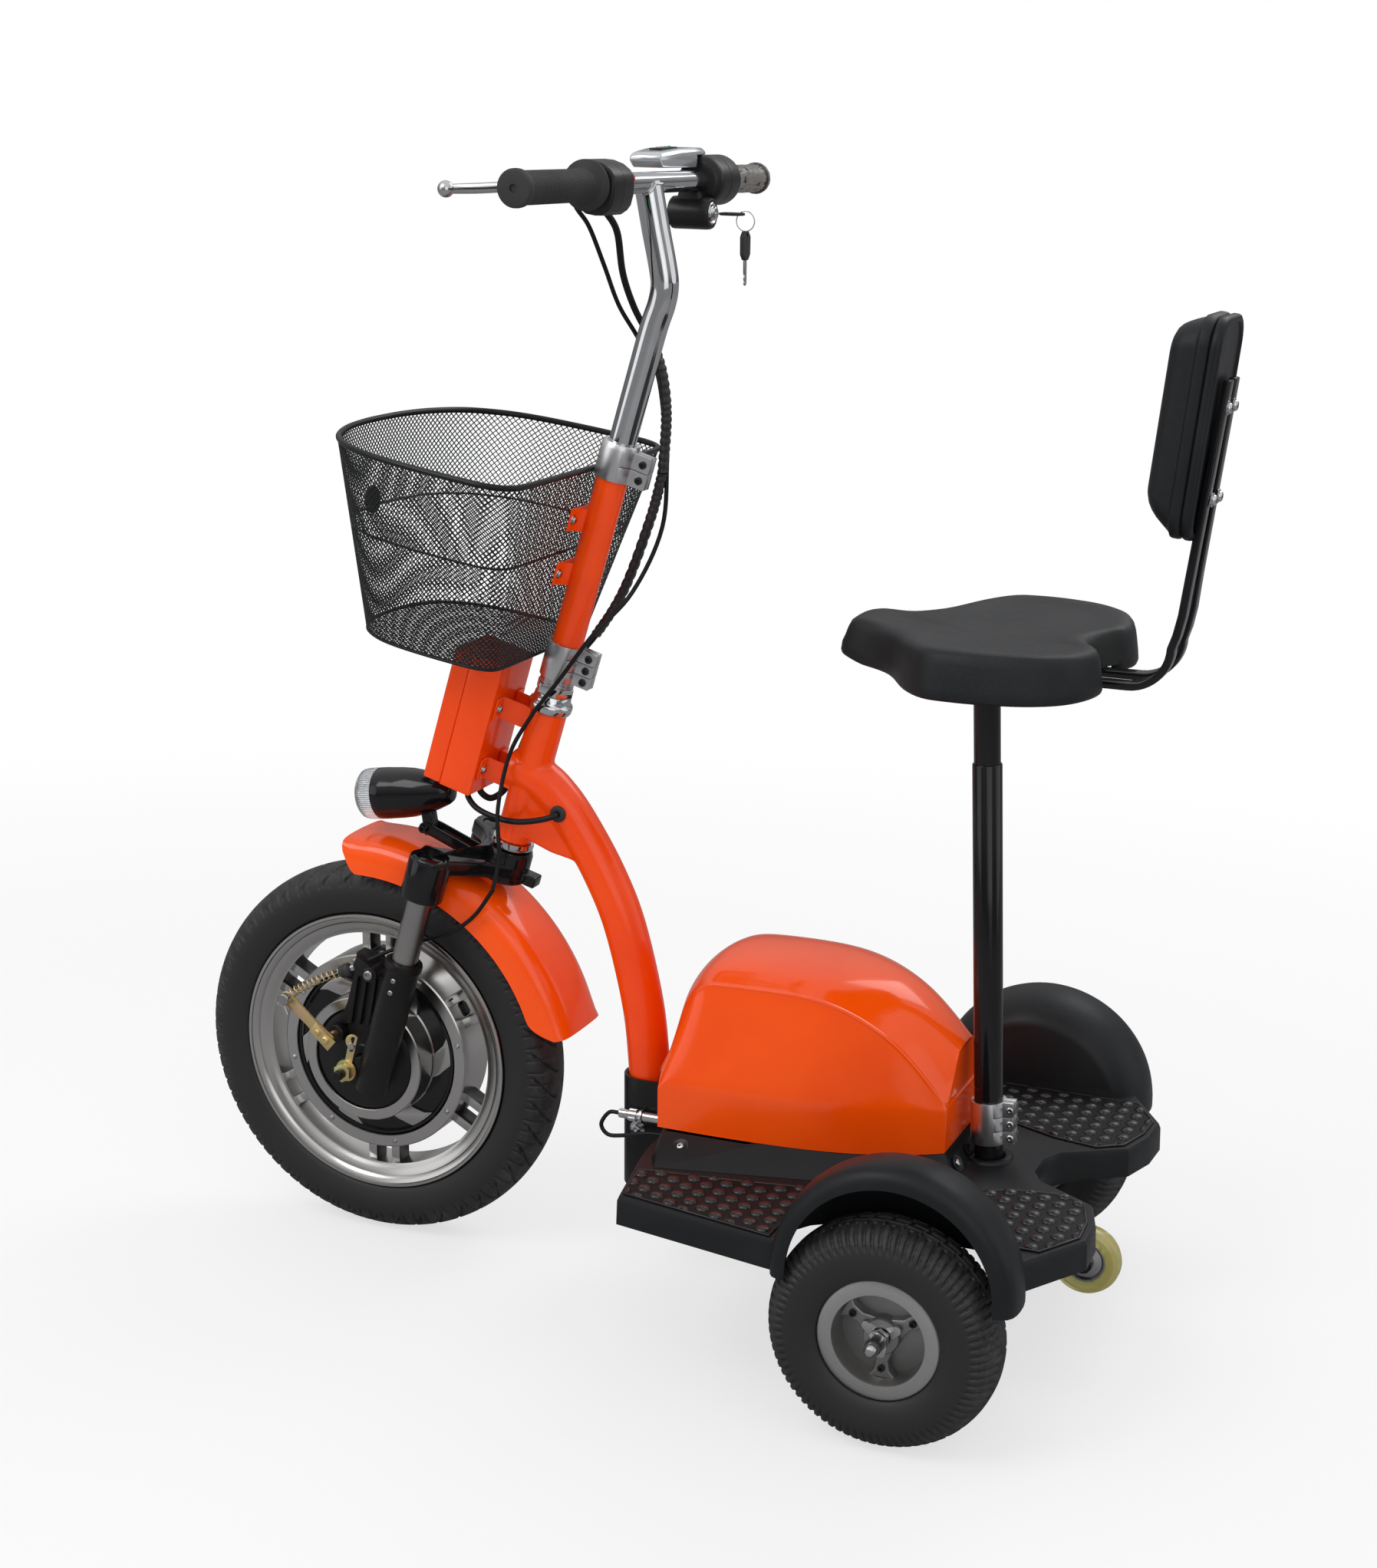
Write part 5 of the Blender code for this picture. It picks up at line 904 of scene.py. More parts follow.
for vertex in glass.data.vertices:
    radius = math.hypot(vertex.co.x, vertex.co.y)
    if 0.0262 < radius < 0.0292 and 0.093 < vertex.co.z < 0.112:
        vertex.co.xy *= 1 + 0.012 * math.cos(math.atan2(vertex.co.y, vertex.co.x) * 72)
glass.data.transform(lamp)
fitted(painted(glass, clearPlastic), "steering_set", "lamp_lens")
print("brake, fork, mudguard and lamp made")


# Frame: head tube, bent down tube and gusset grown together, so that the welds run out softly
frameTube = {"voxel": 0.0022, "rounds": 5}
foot = mm((-556, 590.5), (-519.5, 579), (-496, 560), (-472, 529), (-440, 476), (-415, 418), (-393, 330),
          (-385, 260), (-384.2, 220))
bend = tube("downTube", throughPoints([(0, y, z) for y, z in foot], 6) + [Vector((0, -0.3842, 0.125))],
            0.024, sides=10)
head = turned("headTube", mm((0, 9.7), (21, 9.7), (21, 172.3), (0, 172.3)), column, 64)
web = plate("gusset", mm((-548, 590), (-470, 560), (-438, 490), (-456, 488), (-502, 498), (-545, 515)),
            -0.016, 0.016, origin @ sideOn, 0.005, 3)
made = applied(joined("frameTube", bend, head, web), "REMESH", mode="VOXEL", voxel_size=frameTube["voxel"])
applied(made, "SMOOTH", factor=0.5, iterations=frameTube["rounds"])
painted(made, orangePaint)
parts = []
lowerCup = mm((15.1, 0), (22, 0), (24, 2.6), (24.3, 6), (23.8, 9.9), (15.1, 9.9))
upperCup = mm((15.1, 171.5), (23.2, 171.5), (24.5, 173.7), (24.9, 177), (24.9, 180.2), (24, 182.2),
              (22.2, 183), (21.4, 185), (20.6, 191.5), (19.6, 192.5), (15.1, 192.5))
for cup in (lowerCup, upperCup):
    parts.append(lathed("headCup", cup, column, 72, chrome))
for along in (0.083, 0.158):
    for side in (-1, 1):
        tab = mm((15.3, -14), (15.3, -48), (17, -50.2), (33, -50.2), (33, -47.8), (18.5, -47.8),
                 (17.7, -46.8), (17.7, -14))
        tab = [(side * x, y) for x, y in tab]
        parts.append(painted(plate("boxTab", tab, along - 0.013, along + 0.013, column, 0.0007),
                             orangePaint))
grommet = at(0.0246, -0.487, 0.548) @ turn(90, "Y")
parts.append(lathed("grommet", mm((3.6, -4), (8.8, -4), (9.6, -1), (9, 1.4), (6.8, 2.2), (3.6, 1.6)),
                    grommet, 40, rubberBlack))
fitted(joined("frameTube", made, *parts), "main_frame", "frame_tube", smooth=60)

# Black channel that takes the foot of the frame, with its pinch bolt
inner, outer = 0.0251, 0.0291
outline = arc((0, -0.3842), outer, 180, 360, 36) + [(outer, -0.335), (inner, -0.335)]
outline += arc((0, -0.3842), inner, 360, 180, 36) + [(-inner, -0.335), (-outer, -0.335)]
pieces = [painted(plate("frameSocket", outline, 0.112, 0.2465, origin, 0.0008), castBlack)]
for way in (toLeft, toRight):
    spot = at(0, -0.386, 0.188) @ way
    pieces.append(lathed("socketWasher", mm((0, 28.5), (9.5, 28.5), (9.5, 30.2), (8.8, 30.8),
            (0, 30.8)), spot, 36, brightSteel))
    pieces.append(hexHead("socketBolt", 0.0064, 0.0305, 0.0366, spot, brightSteel, 0.0028))
fitted(joined("frameSocket", *pieces), "main_frame", "frame_socket")

# Controller box in two shells, with the screws of its four tabs
pieces = [painted(box("controllerBody", (-0.039, 0.039), (-0.089, -0.0505), (0.052, 0.212), column, 0.0012,
                      3), orangePaint)]
for along in (0.083, 0.158):
    for side in (-1, 1):
        spot = column @ shift(side * 0.0252, -0.0478, along) @ turn(-90, "X")
        pieces.append(lathed("tabWasher", mm((0, 0), (5.2, 0), (5, 0.8), (0, 0.8)), spot, 28, brightSteel))
        pieces.append(roundHead("tabScrew", 0.0036, 0.0006, 0.0036, spot, brightSteel, 0.0014))
pieces.append(painted(box("boxFlange", (-0.038, 0.038), (-0.0895, -0.052), (0.051, 0.053), column, 0.0004),
                      orangePaint))
fitted(joined("controllerBody", *pieces), "main_frame", "controller_body")
lid = box("controllerLid", (-0.039, 0.039), (-0.111, -0.0895), (0.052, 0.212), column, 0.002, 3)
fitted(painted(lid, orangePaint), "main_frame", "controller_lid")
print("frame and controller box made")


# Aluminium clamps: a split ring with ears, cut by slots across its back, and a bolt head in each section
def splitClamp(name, bore, radius, ear, reach, slots, place, boltFinish):
    # slots holds the heights of the lower edge, of each slot and of the upper edge
    turnAt = math.degrees(math.asin(ear / radius))
    slotStart, slotEnd = 90 - 58, -270 + 58         # degrees, 58 to each side of the ears
    pieces, bolts = [], []
    band = arc((0, 0), radius, slotStart, slotEnd, 72) + arc((0, 0), bore, slotEnd, slotStart, 72)
    outlines = [(band, slots[0], slots[-1])]
    for low, high in zip(slots, slots[1:]):
        for way in (-1, 1):
            # Each ear runs out of the band and has a bolt of its own.
            half = [(0.0012, bore), (0.0012, reach), (ear, reach)]
            half += arc((0, 0), radius, 90 - turnAt, slotStart - 0.5, 12)
            half += arc((0, 0), bore, slotStart - 0.5, 86, 12)
            half = half if way > 0 else [(-x, y) for x, y in reversed(half)]
            outlines.append((half, low + (0.0004 if low > slots[0] else 0),
                             high - (0.0004 if high < slots[-1] else 0)))
            spot = place @ shift(way * ear, (radius + reach + 0.0035) / 2, (low + high) / 2)
            spot = spot @ (toLeft if way > 0 else toRight)
            hole = min(0.005, (high - low) * 0.44)
            bolts.append(lathed("boltSeat", [(0, -0.001), (hole, -0.001), (hole, 0.0002),
                    (hole * 0.86, 0.0004), (0, 0.0004)], spot, 32, satinSteel))
            bolts.append(roundHead("clampBolt", hole * 0.84, 0.0003, 0.0024, spot, boltFinish, hole * 0.36))
    for outline, low, high in outlines:
        pieces.append(plate(name, outline, low, high, place, 0.0004, 2))
    return joined(name, painted(joined(name, *pieces), clampAlloy), *bolts)


lower = splitClamp("clampLower", 0.0178, 0.0215, 0.008, 0.04, (0.2122, 0.226, 0.2398, 0.2536), column,
                   caseBlack)
nut = painted(rounded(turned("lockNut", mm((15.3, 193), (22.5, 193), (22.5, 203.5), (15.3, 203.5)), column
                             @ turn(30, "Z"), 6), 0.001, 3), chrome)
ring = lathed("spacer", mm((15.3, 203.6), (19, 203.6), (19.5, 204.2), (19.5, 206), (18.9, 206.6),
                           (19.5, 207.2), (19.5, 211.4), (18.9, 212.1), (15.3, 212.1)), column, 64,
              brightSteel)
fitted(joined("clampLower", lower, nut, ring), "steering_set", "clamp_lower")
upper = splitClamp("clampUpper", 0.0178, 0.0215, 0.008, 0.04, (0.4473, 0.4654, 0.483), column, caseBlack)
cap = mm((15.3, 470.6), (17.8, 470.6), (17.8, 482.4), (21.3, 482.4), (20.5, 486), (19.4, 487.8),
         (15.3, 487.8))
cap = lathed("clampCap", cap, column, 72, clampAlloy)
fitted(joined("clampUpper", upper, cap), "steering_set", "clamp_upper")

# Orange stem with the two straps that hold the basket, each with a silver screw and washer at its ends
sleeve = mm((15.1, 214.1), (17.5, 214.1), (17.5, 469.9), (15.1, 469.9))
pieces = [lathed("stemLower", sleeve, column, 72, orangePaint)]
for along in (0.3315, 0.3941):
    strap = mm((-33, -23.3), (33, -23.3), (33, -20.9), (23.5, -20.9), (15, -15), (12.8, -12.4),
               (-12.8, -12.4), (-15, -15), (-23.5, -20.9), (-33, -20.9))
    strap = plate("strap", strap, along - 0.013, along + 0.013, column, 0.0008, 3)
    strap = carved(strap, cylinder("strapBore", 0.016, 0.2, 0.5, column, 48))
    pieces.append(painted(strap, orangePaint))
    for side in (-1, 1):
        spot = column @ shift(side * 0.0262, -0.0209, along) @ turn(-90, "X")
        pieces.append(lathed("strapWasher", mm((0, 0), (5.8, 0), (5.6, 0.9), (0, 0.9)), spot, 28,
                             brightSteel))
        pieces.append(roundHead("strapScrew", 0.0042, 0.0008, 0.0036, spot, brightSteel, 0.0015))
fitted(joined("stemLower", *pieces), "steering_set", "stem_lower")


# Wire basket: expanded mesh with diamond openings, a floor of the same mesh, hoops and a rim wire
basketForm = {"cellWidth": 0.0066, "cellHeight": 0.0066, "strand": 0.001, "thickness": 0.0008,
              "slope": 0.15, "rim": 0.0034, "hoop": 0.0012}
halfPlan = [(0.0, 0.0), (0.45, 0.0), (0.8, 0.002), (0.93, 0.03), (0.99, 0.1), (1.0, 0.18), (0.995, 0.37),
            (0.955, 0.6), (0.87, 0.76), (0.7, 0.89), (0.45, 0.965), (0.2, 0.995), (0.0, 1.0)]
halfPlan = [(p.x, p.y) for p in throughPoints([(x, y, 0) for x, y in halfPlan], 6)]
basketPlan = mirrored(halfPlan)


def basketHoop(t, count, offset=0.0):
    # Evenly spaced points round the basket, from the bottom edge (t = 0) to the rim (t = 1)
    halfWidth, back, front = 0.126 + 0.079 * t, -0.5148 + 0.0628 * t, -0.707 - 0.004 * t
    plan = [(halfWidth * x, back + (front - back) * y) for x, y in basketPlan]
    lengths = [0.0]
    for first, second in zip(plan, plan[1:] + plan[:1]):
        lengths.append(lengths[-1] + math.dist(first, second))
    made, k = [], 0
    for i in range(count):
        goal = ((i + offset) / count % 1.0) * lengths[-1]
        k = 0 if goal < lengths[k] else k
        while lengths[k + 1] < goal:
            k += 1
        share = (goal - lengths[k]) / (lengths[k + 1] - lengths[k])
        (ax, ay), (bx, by) = plan[k], plan[(k + 1) % len(plan)]
        x, y = ax + (bx - ax) * share, ay + (by - ay) * share
        made.append(Vector((x, y, 0.726 + 0.208 * t + basketForm["slope"] * (back - y))))
    return made


def lattice(name, corners, cells):
    # Each cell of four corners is opened, and what stays gets the thickness of the sheet.
    bm = bmesh.new()
    points = [bm.verts.new(point) for point in corners]
    faces = [bm.faces.new([points[k] for k in cell]) for cell in cells]
    bmesh.ops.recalc_face_normals(bm, faces=bm.faces)
    bmesh.ops.inset_individual(bm, faces=faces, thickness=basketForm["strand"] / 2, use_even_offset=True)
    bmesh.ops.delete(bm, geom=faces, context="FACES")
    piece = pieceFrom(name, bm)
    piece.data.transform(origin)
    return painted(applied(piece, "SOLIDIFY", thickness=basketForm["thickness"], offset=0), wireBlack)


def meshWall(name, low, high):
    # One band of the wall, with as many cells as its own length takes
    edge = basketHoop((low + high) / 2, 120)
    girth = sum((p - q).length for p, q in zip(edge, edge[1:] + edge[:1]))
    columns = round(girth / basketForm["cellWidth"])
    rows = 2 * round((high - low) * 0.217 / basketForm["cellHeight"])
    corners, cells = [], []
    for r in range(rows + 1):
        corners += basketHoop(low + (high - low) * r / rows, columns, 0.5 * (r % 2))
    for r in range(-1, rows):
        for c in range(columns):
            side = c if r % 2 else c - 1
            here, middle, above = r * columns, (r + 1) * columns, (r + 2) * columns
            cell = [middle + (side + 1) % columns, above + c, middle + side % columns]
            if r == -1:
                cells.append(cell)
            elif r == rows - 1:
                cells.append([here + c, cell[0], cell[2]])
            else:
                cells.append([here + c] + cell)
    return lattice(name, corners, cells)


def meshFloor(name, stepX, stepY):
    # Diamonds in the plane of the bottom, kept where all four corners lie inside its edge
    edge = [(point.x, point.y) for point in basketHoop(0, 90)]

    def inside(x, y):
        crossings = 0
        for (ax, ay), (bx, by) in zip(edge, edge[1:] + edge[:1]):
            if (ay > y) != (by > y) and x < ax + (bx - ax) * (y - ay) / (by - ay):
                crossings += 1
        return crossings % 2

    corners, cells, known = [], [], {}
    for r in range(-2, 50):
        for c in range(-18, 19):
            x, y = stepX * (c + 0.5 * (r % 2)), -0.704 + stepY * r
            diamond = [(x, y), (x + stepX / 2, y + stepY), (x, y + 2 * stepY), (x - stepX / 2, y + stepY)]
            if all(inside(*corner) for corner in diamond):
                cell = []
                for cx, cy in diamond:
                    key = (round(cx * 10000), round(cy * 10000))
                    if key not in known:
                        known[key] = len(corners)
                        corners.append(Vector((cx, cy, 0.727 + basketForm["slope"] * (-0.5148 - cy))))
                    cell.append(known[key])
                cells.append(cell)
    return lattice(name, corners, cells)


def hoop(t, radius, inward):
    ring = basketHoop(t, 240)
    for k, point in enumerate(ring):
        middle = Vector((0, -0.6, point.z))
        ring[k] = point + (middle - point).normalized() * inward
    return tube("hoop", ring, radius, closed=True, sides=3)


seams = (0.004, 0.57, 0.996)
wires = [hoop(1.0, basketForm["rim"], 0.0016), hoop(seams[1], basketForm["hoop"], 0.001),
         hoop(seams[0], 0.002, 0.001)]
disc = at(0.03, -0.7096, 0.886) @ turn(92, "X")
wires.append(turned("basketDisc", mm((0, -3.6), (14.5, -3.6), (15.6, -2.6), (15.6, -0.4), (14.2, 0.8),
        (7, 1.4), (0, 1.4)), disc, 40))
lower, upper = [meshWall("wall", *pair) for pair in zip(seams, seams[1:])]
floor = meshFloor("basketFloor", 0.0078, 0.0044)
fitted(joined("basketLower", lower, floor), "steering_set", smooth=30)
fitted(joined("basket", upper, *[painted(wire, wireBlack) for wire in wires]), "steering_set", "basket",
       smooth=30)
print("stem and basket made")


# Chrome stem and bar, with a weld fillet where they meet
upright = [(0, *p) for p in ((-0.4434, 0.8801), (-0.4207, 0.9568), (-0.398, 1.0335), (-0.3823, 1.0862),
                             (-0.3735, 1.1105), (-0.37, 1.13), (-0.3725, 1.15), (-0.38, 1.185))]
upright = throughPoints(upright, 8) + [Vector((0, -0.3895, 1.2332))]
barForm = {"stem": 0.0149, "bar": 0.0111}
pieces = [tube("handlebar", upright, barForm["stem"], sides=14)]
pieces.append(cylinder("crossBar", barForm["bar"], -0.304, 0.304, barLeft, 64))
for length in pieces:
    painted(length, chrome)
weld = []
for k in range(40):
    angle = tau * k / 40
    side, ahead = barForm["stem"] * math.cos(angle), barForm["stem"] * math.sin(angle)
    depth = math.sqrt(max(barForm["bar"] ** 2 - ahead ** 2, 0.0))
    weld.append((side, -0.388 + ahead * 0.99, 1.2332 - depth - 0.0006))
pieces.append(painted(tube("weld", weld, 0.0011, closed=True, sides=3), chrome))
fitted(joined("handlebar", *pieces), "handlebar_set", "handlebar", smooth=50)

# Left grip: flange, fine ribs along the hand, end cap with a small hole
profile = mm((11.2, 148), (24, 148), (25, 148.8), (25, 151.2), (24, 152.6), (19, 155.6), (16.6, 160),
             (16, 163))
x = 0.165
while x < 0.294:
    profile += [(0.016, x), (0.016, x + 0.0022), (0.0153, x + 0.0027), (0.0153, x + 0.0034)]
    x += 0.0039
profile += mm((16, 295.5), (16.6, 297), (18, 298.5), (18.2, 301), (18.1, 305), (17, 307.4), (15, 308),
              (4, 308), (3.6, 306), (0, 306))
profile = [(0.0, 0.3044), (0.0112, 0.3044)] + profile
grip = turned("gripLeft", profile, barLeft, 72)
fitted(painted(grip, gripRubber), "handlebar_set", "grip_left", smooth=30)

# Right twist grip, still in its crinkled clear film
film = {"ripple": 0.00055, "turns": 96, "rings": 150, "radius": 0.0158, "flare": 0.0024, "top": 0.303,
        "length": 0.104}
core = mm((0, 304.4), (11.2, 304.4), (11.2, 195.7), (19.2, 195.7), (19.8, 197), (19.8, 201), (17.2, 207.5),
          (15.2, 210), (15, 295), (17, 299), (17.4, 305), (16, 307), (0, 307.2))
core = lathed("throttleGrip", core, barRight, 64, gripRubber)
profile = mm((0, 307.6), (15.5, 307.6), (17.6, 306.6), (18, 304))
lastRing = film["rings"] - 1
for i in range(film["rings"]):
    # The film flares over the last tenth of its length at either end.
    nearEnd = max(0.0, (abs(i - lastRing / 2) - 60) / 14.5)
    profile.append((film["radius"] + film["flare"] * nearEnd ** 2, film["top"] - film["length"]
                    * i / lastRing))
profile += mm((18.2, 198.5), (15, 200), (15, 299), (0, 300))
wrap = turned("gripFilm", profile, Matrix(), film["turns"])
for vertex in wrap.data.vertices:
    radius = math.hypot(vertex.co.x, vertex.co.y)
    if radius > 0.0153 and vertex.co.z < 0.307:
        point = vertex.co * 60
        creases = abs(noise.noise(Vector((point.x * 3.1, point.y * 3.1, point.z * 1.1)))) * 1.9
        creases += abs(noise.noise(Vector((point.x * 8.3, point.y * 8.3, point.z * 4.7)))) * 0.9
        creases += abs(noise.noise(Vector((point.z * 6.0 + point.x * 4, point.y * 5, 3.7)))) * 0.8
        vertex.co.xy *= 1 - film["ripple"] * creases / radius
wrap.data.transform(barRight)
fitted(joined("throttleGrip", core, painted(wrap, filmClear)), "throttle_set", "throttle_grip", smooth=25)

# Switch housing in two moulded halves, with its lever perch
outline = mm((24, 15), (16.5, 20.5), (6, 24), (-4, 24.7), (-12, 23.5), (-20.5, 19), (-26.2, 12.8),
             (-28.8, 4), (-28.8, -6), (-23, -12.5), (-15, -18), (-9, -24), (-4, -27.5), (6, -29),
             (14, -28.8), (20.5, -24.5), (24.5, -19.5), (27.2, -10), (28, -2), (28, 9))
housing = plate("switchHousing", outline, 0.095, 0.145, barSide, 0.003, 4)
housing = carved(housing, plate("seamGroove", [(p[0] * 1.1, p[1] * 1.1) for p in outline], 0.1206, 0.1212,
                                barSide, 0))
inner = plate("core", [(p[0] * 0.972, p[1] * 0.972) for p in outline], 0.11, 0.13, barSide, 0)
buttonPlaces = ((0.0185, 0.0055), (0.012, -0.0164))
for y, z in buttonPlaces:
    hole = bar @ shift(0, y, z) @ toLeft
    housing = carved(housing, cylinder("buttonHole", 0.0073, 0.09, 0.0988, hole, 48))
parts = [housing, inner]
for low, high in ((-0.0114, -0.0077), (0.0037, 0.0074)):
    tongue = mm((108, -25), (108, -40), (109.5, -44), (113, -46), (121, -46), (124.5, -44), (126, -40),
                (126, -25))
    parts.append(plate("perch", tongue, low, high, bar, 0.0008))
painted(joined("switchHousing", *parts), caseBlack)
bore = cylinder("bore", 0.01125, 0.08, 0.16, barLeft, 64)
housing = carved(parts[0], bore)
screws = []
for y, z in ((-0.015, 0.012), (-0.006, -0.017)):
    spot = bar @ shift(0.0952, y, z) @ toRight
    screws.append(roundHead("housingScrew", 0.0028, -0.001, 0.0002, spot, satinSteel, 0.0012))
pin = at(0.117, barPlace[1] - 0.0375, barPlace[2])
screws.append(roundHead("leverPin", 0.0036, 0.0074, 0.0092, pin, brightSteel))
fitted(joined("switchHousing", housing, *screws), "handlebar_set", "switch_housing")

for name, finish, (y, z) in zip(("Red", "Green"), (redPlastic, greenPlastic), buttonPlaces):
    spot = bar @ shift(0, y, z) @ toLeft
    profile = mm((0, 96.5), (6.8, 96.5), (6.8, 89), (6.6, 87.8), (5.9, 86.9), (4.5, 86.5), (2, 86.7),
                 (0, 86.8))
    fitted(lathed("button" + name, profile, spot, 48, finish), "button_" + name.lower() + "_set",
           "button_" + name.lower())

# Brake lever: flattened blade with a curled edge, pivot eye and a ball at its end
leverPin = at(0.117, barPlace[1] - 0.0375, barPlace[2] - 0.002)
route = throughPoints(mm((0, 0, 0), (25, -13, 0), (60, -33, -1), (100, -44, -2), (140, -50, -2),
                         (153, -53, -2)), 8)
rings = []
for i, point in enumerate(route):
    heading = (route[min(i + 1, len(route) - 1)] - route[max(i - 1, 0)]).normalized()
    across = heading.cross(Vector((0, 0, 1))).normalized()
    t = i / (len(route) - 1)
    thick = 0.0036 + 0.0014 * math.sin(math.pi * min(t * 1.2, 1.0))
    tall = 0.004 + 0.0012 * math.sin(math.pi * t)
    rings.append([point + across * thick * math.cos(tau * k / 20) + Vector((0, 0, 1)) * tall
                  * math.sin(tau * k / 20) for k in range(20)])
blade = skinned("brakeLever", rings)
eye = turned("leverEye", mm((0, -5.4), (6.6, -5.4), (7.2, -4.8), (7.2, 4.8), (6.6, 5.4), (0, 5.4)),
             Matrix(), 40)
clearSelection()
bpy.ops.mesh.primitive_uv_sphere_add(segments=40, ring_count=24, radius=0.008, location=route[-1])
ball = bpy.context.object
ball.data.transform(Matrix.Translation(ball.location))
ball.location = (0, 0, 0)
lever = joined("brakeLever", blade, eye, ball)
lever.data.transform(leverPin)
fitted(painted(lever, brightSteel), "brake_lever_set", "brake_lever", smooth=50)

# Throttle collar with the lock pod below it
collar = mm((11.15, 135), (19, 135), (20.2, 135.6), (24, 138.2), (25.7, 140.5), (26.8, 145), (27, 150),
            (27, 164.8), (26.5, 165.2), (26.5, 166), (27, 166.4), (27, 190), (26.4, 192.8), (24.8, 195),
            (11.15, 195))
pieces = [lathed("throttleHousing", collar, barRight, 80, caseBlack)]
for k in range(3):
    pieces.append(lathed("indent", mm((0, 26.2), (3, 26.2), (3, 27.3), (1.8, 27.3), (1.6, 26.6),
            (0, 26.6)), barRight @ shift(0, 0, 0.173 + 0.006 * k) @ turn(-62, "Z") @ turn(90, "Y"), 20,
                         caseBlack))
lockPlace = at(-0.13, barPlace[1], barPlace[2] - 0.0337) @ turn(-90, "X")
barrel = mm((0, -28.5), (15, -28.5), (17.2, -26.5), (17.5, -24), (17.5, 12), (17.1, 16), (16, 18.3),
            (14.5, 19), (11.8, 19), (11.8, 17.6), (8.5, 17.6), (8.5, 7), (0, 7))
pieces.append(lathed("lockBarrel", barrel, lockPlace, 72, caseBlack))
face = mm((8.6, 17.2), (11.7, 17.2), (11.7, 19), (10.8, 19.6), (9.4, 19), (8.6, 18.4))
pieces.append(lathed("lockFace", face, lockPlace, 60, chrome))
neck = mm((-18, -10), (7, -10), (9, -20), (8, -40), (-20, -40), (-21.5, -25))
pieces.append(painted(plate("neck", neck, -0.149, -0.12, barSide, 0.004, 4), caseBlack))
fitted(joined("throttleHousing", *pieces), "handlebar_set", "throttle_housing")

# Silver display cover with its dark window and a row of lamps under it
rings = [mm((-57.5, -43, 13.7), (-93, -45.5, 13.7), (-130, -46.5, 13.7), (-154, -42, 13.7),
            (-169, -32, 13.7), (-170, -19, 13.7), (-169, -7, 13.7), (-154, -1.5, 13.7), (-130, 0.5, 13.7),
            (-93, -3, 13.7), (-57.5, -8.5, 13.7), (-56, -25, 13.7)),
         mm((-51, -44.5, 21), (-92, -48, 22.5), (-130, -49, 23.5), (-157, -44, 24),
            (-170.8, -34, 24.5), (-171.8, -20, 24.5), (-170.8, -7, 24.5), (-157, 0.5, 24), (-130, 1.6, 24),
            (-92, -2.5, 23), (-51, -7, 21), (-50.3, -25, 21)),
         mm((-52, -44, 26.5), (-92.5, -47, 29.5), (-129, -47.5, 30.8), (-154.5, -43, 30.8),
            (-167.2, -33.5, 30.5), (-168.4, -20, 30.5), (-167.2, -8, 30.5), (-154.5, -0.8, 30.8),
            (-129, 0.4, 31), (-92.5, -3.2, 29.8), (-52, -7.8, 26.5), (-51, -25, 26.6)),
         mm((-58, -41, 29.8), (-93, -44, 33), (-127, -44.7, 34.5), (-150, -40.5, 34.3),
            (-159.5, -32.5, 34), (-160.5, -20, 34.2), (-159.5, -9.5, 34), (-150, -4, 34.3),
            (-127, -3.2, 34.6), (-93, -6.5, 33.2), (-58, -11.2, 29.8), (-57.2, -25, 30))]
pod = skinned("displayPod", rings, bar)
rounded(pod, 0.0016, 3, 24)
pod = carved(pod, cylinder("collarSpace", 0.0278, 0.128, 0.199, barRight, 80))
painted(pod, silverPaint)
window = at(barPlace[0] - 0.102, barPlace[1] - 0.0275, barPlace[2]
            + 0.0337) @ turn(2.2, "Y") @ turn(-4, "Z")
pieces = [pod, painted(box("window", (-0.019, 0.019), (-0.0072, 0.0072), (-0.0015, 0.0006), window, 0.0005),
                       glossBlack)]
for k, finish in enumerate((redPlastic, greenPlastic, greenPlastic, greenPlastic)):
    spot = window @ shift(0.0135 - 0.009 * k, 0, 0.0005)
    pieces.append(lathed("lamp", mm((0, 0), (2.1, 0), (1.9, 0.6), (1, 1), (0, 1.1)), spot, 20, finish))
fitted(joined("displayPod", *pieces), "handlebar_set", "display_pod", smooth=30)

# Key in the lock, with the hole for the ring of the second key
lock = at(-0.13, barPlace[1] + 0.02, barPlace[2] - 0.0337) @ turn(-90, "X")
core = mm((0, -12), (8, -12), (8, -1), (7.6, 0), (7, 0.4), (6.6, 3), (6, 3.5), (0, 3.5))
pieces = [lathed("ignitionKey", core, lock, 48, chrome)]
pieces.append(painted(box("keyBlade", (-0.0036, 0.0036), (-0.0011, 0.0011), (0.003, 0.01), lock, 0.0002),
                      brightSteel))
head = mm((-6, 9.5), (6, 9.5), (10, 12), (11.5, 16), (11.5, 28), (10, 32.2), (6, 34.5), (-6, 34.5),
          (-10, 32.2), (-11.5, 28), (-11.5, 16), (-10, 12))
handle = plate("keyHead", head, -0.0015, 0.0015, lock @ turn(90, "X"), 0.0007)
hole = cylinder("keyHole", 0.0032, -0.01, 0.01, lock @ shift(0, 0, 0.03) @ turn(90, "X"), 32)
pieces.append(painted(carved(handle, hole), caseBlack))
fitted(joined("ignitionKey", *pieces), "ignition_key_set", "ignition_key")


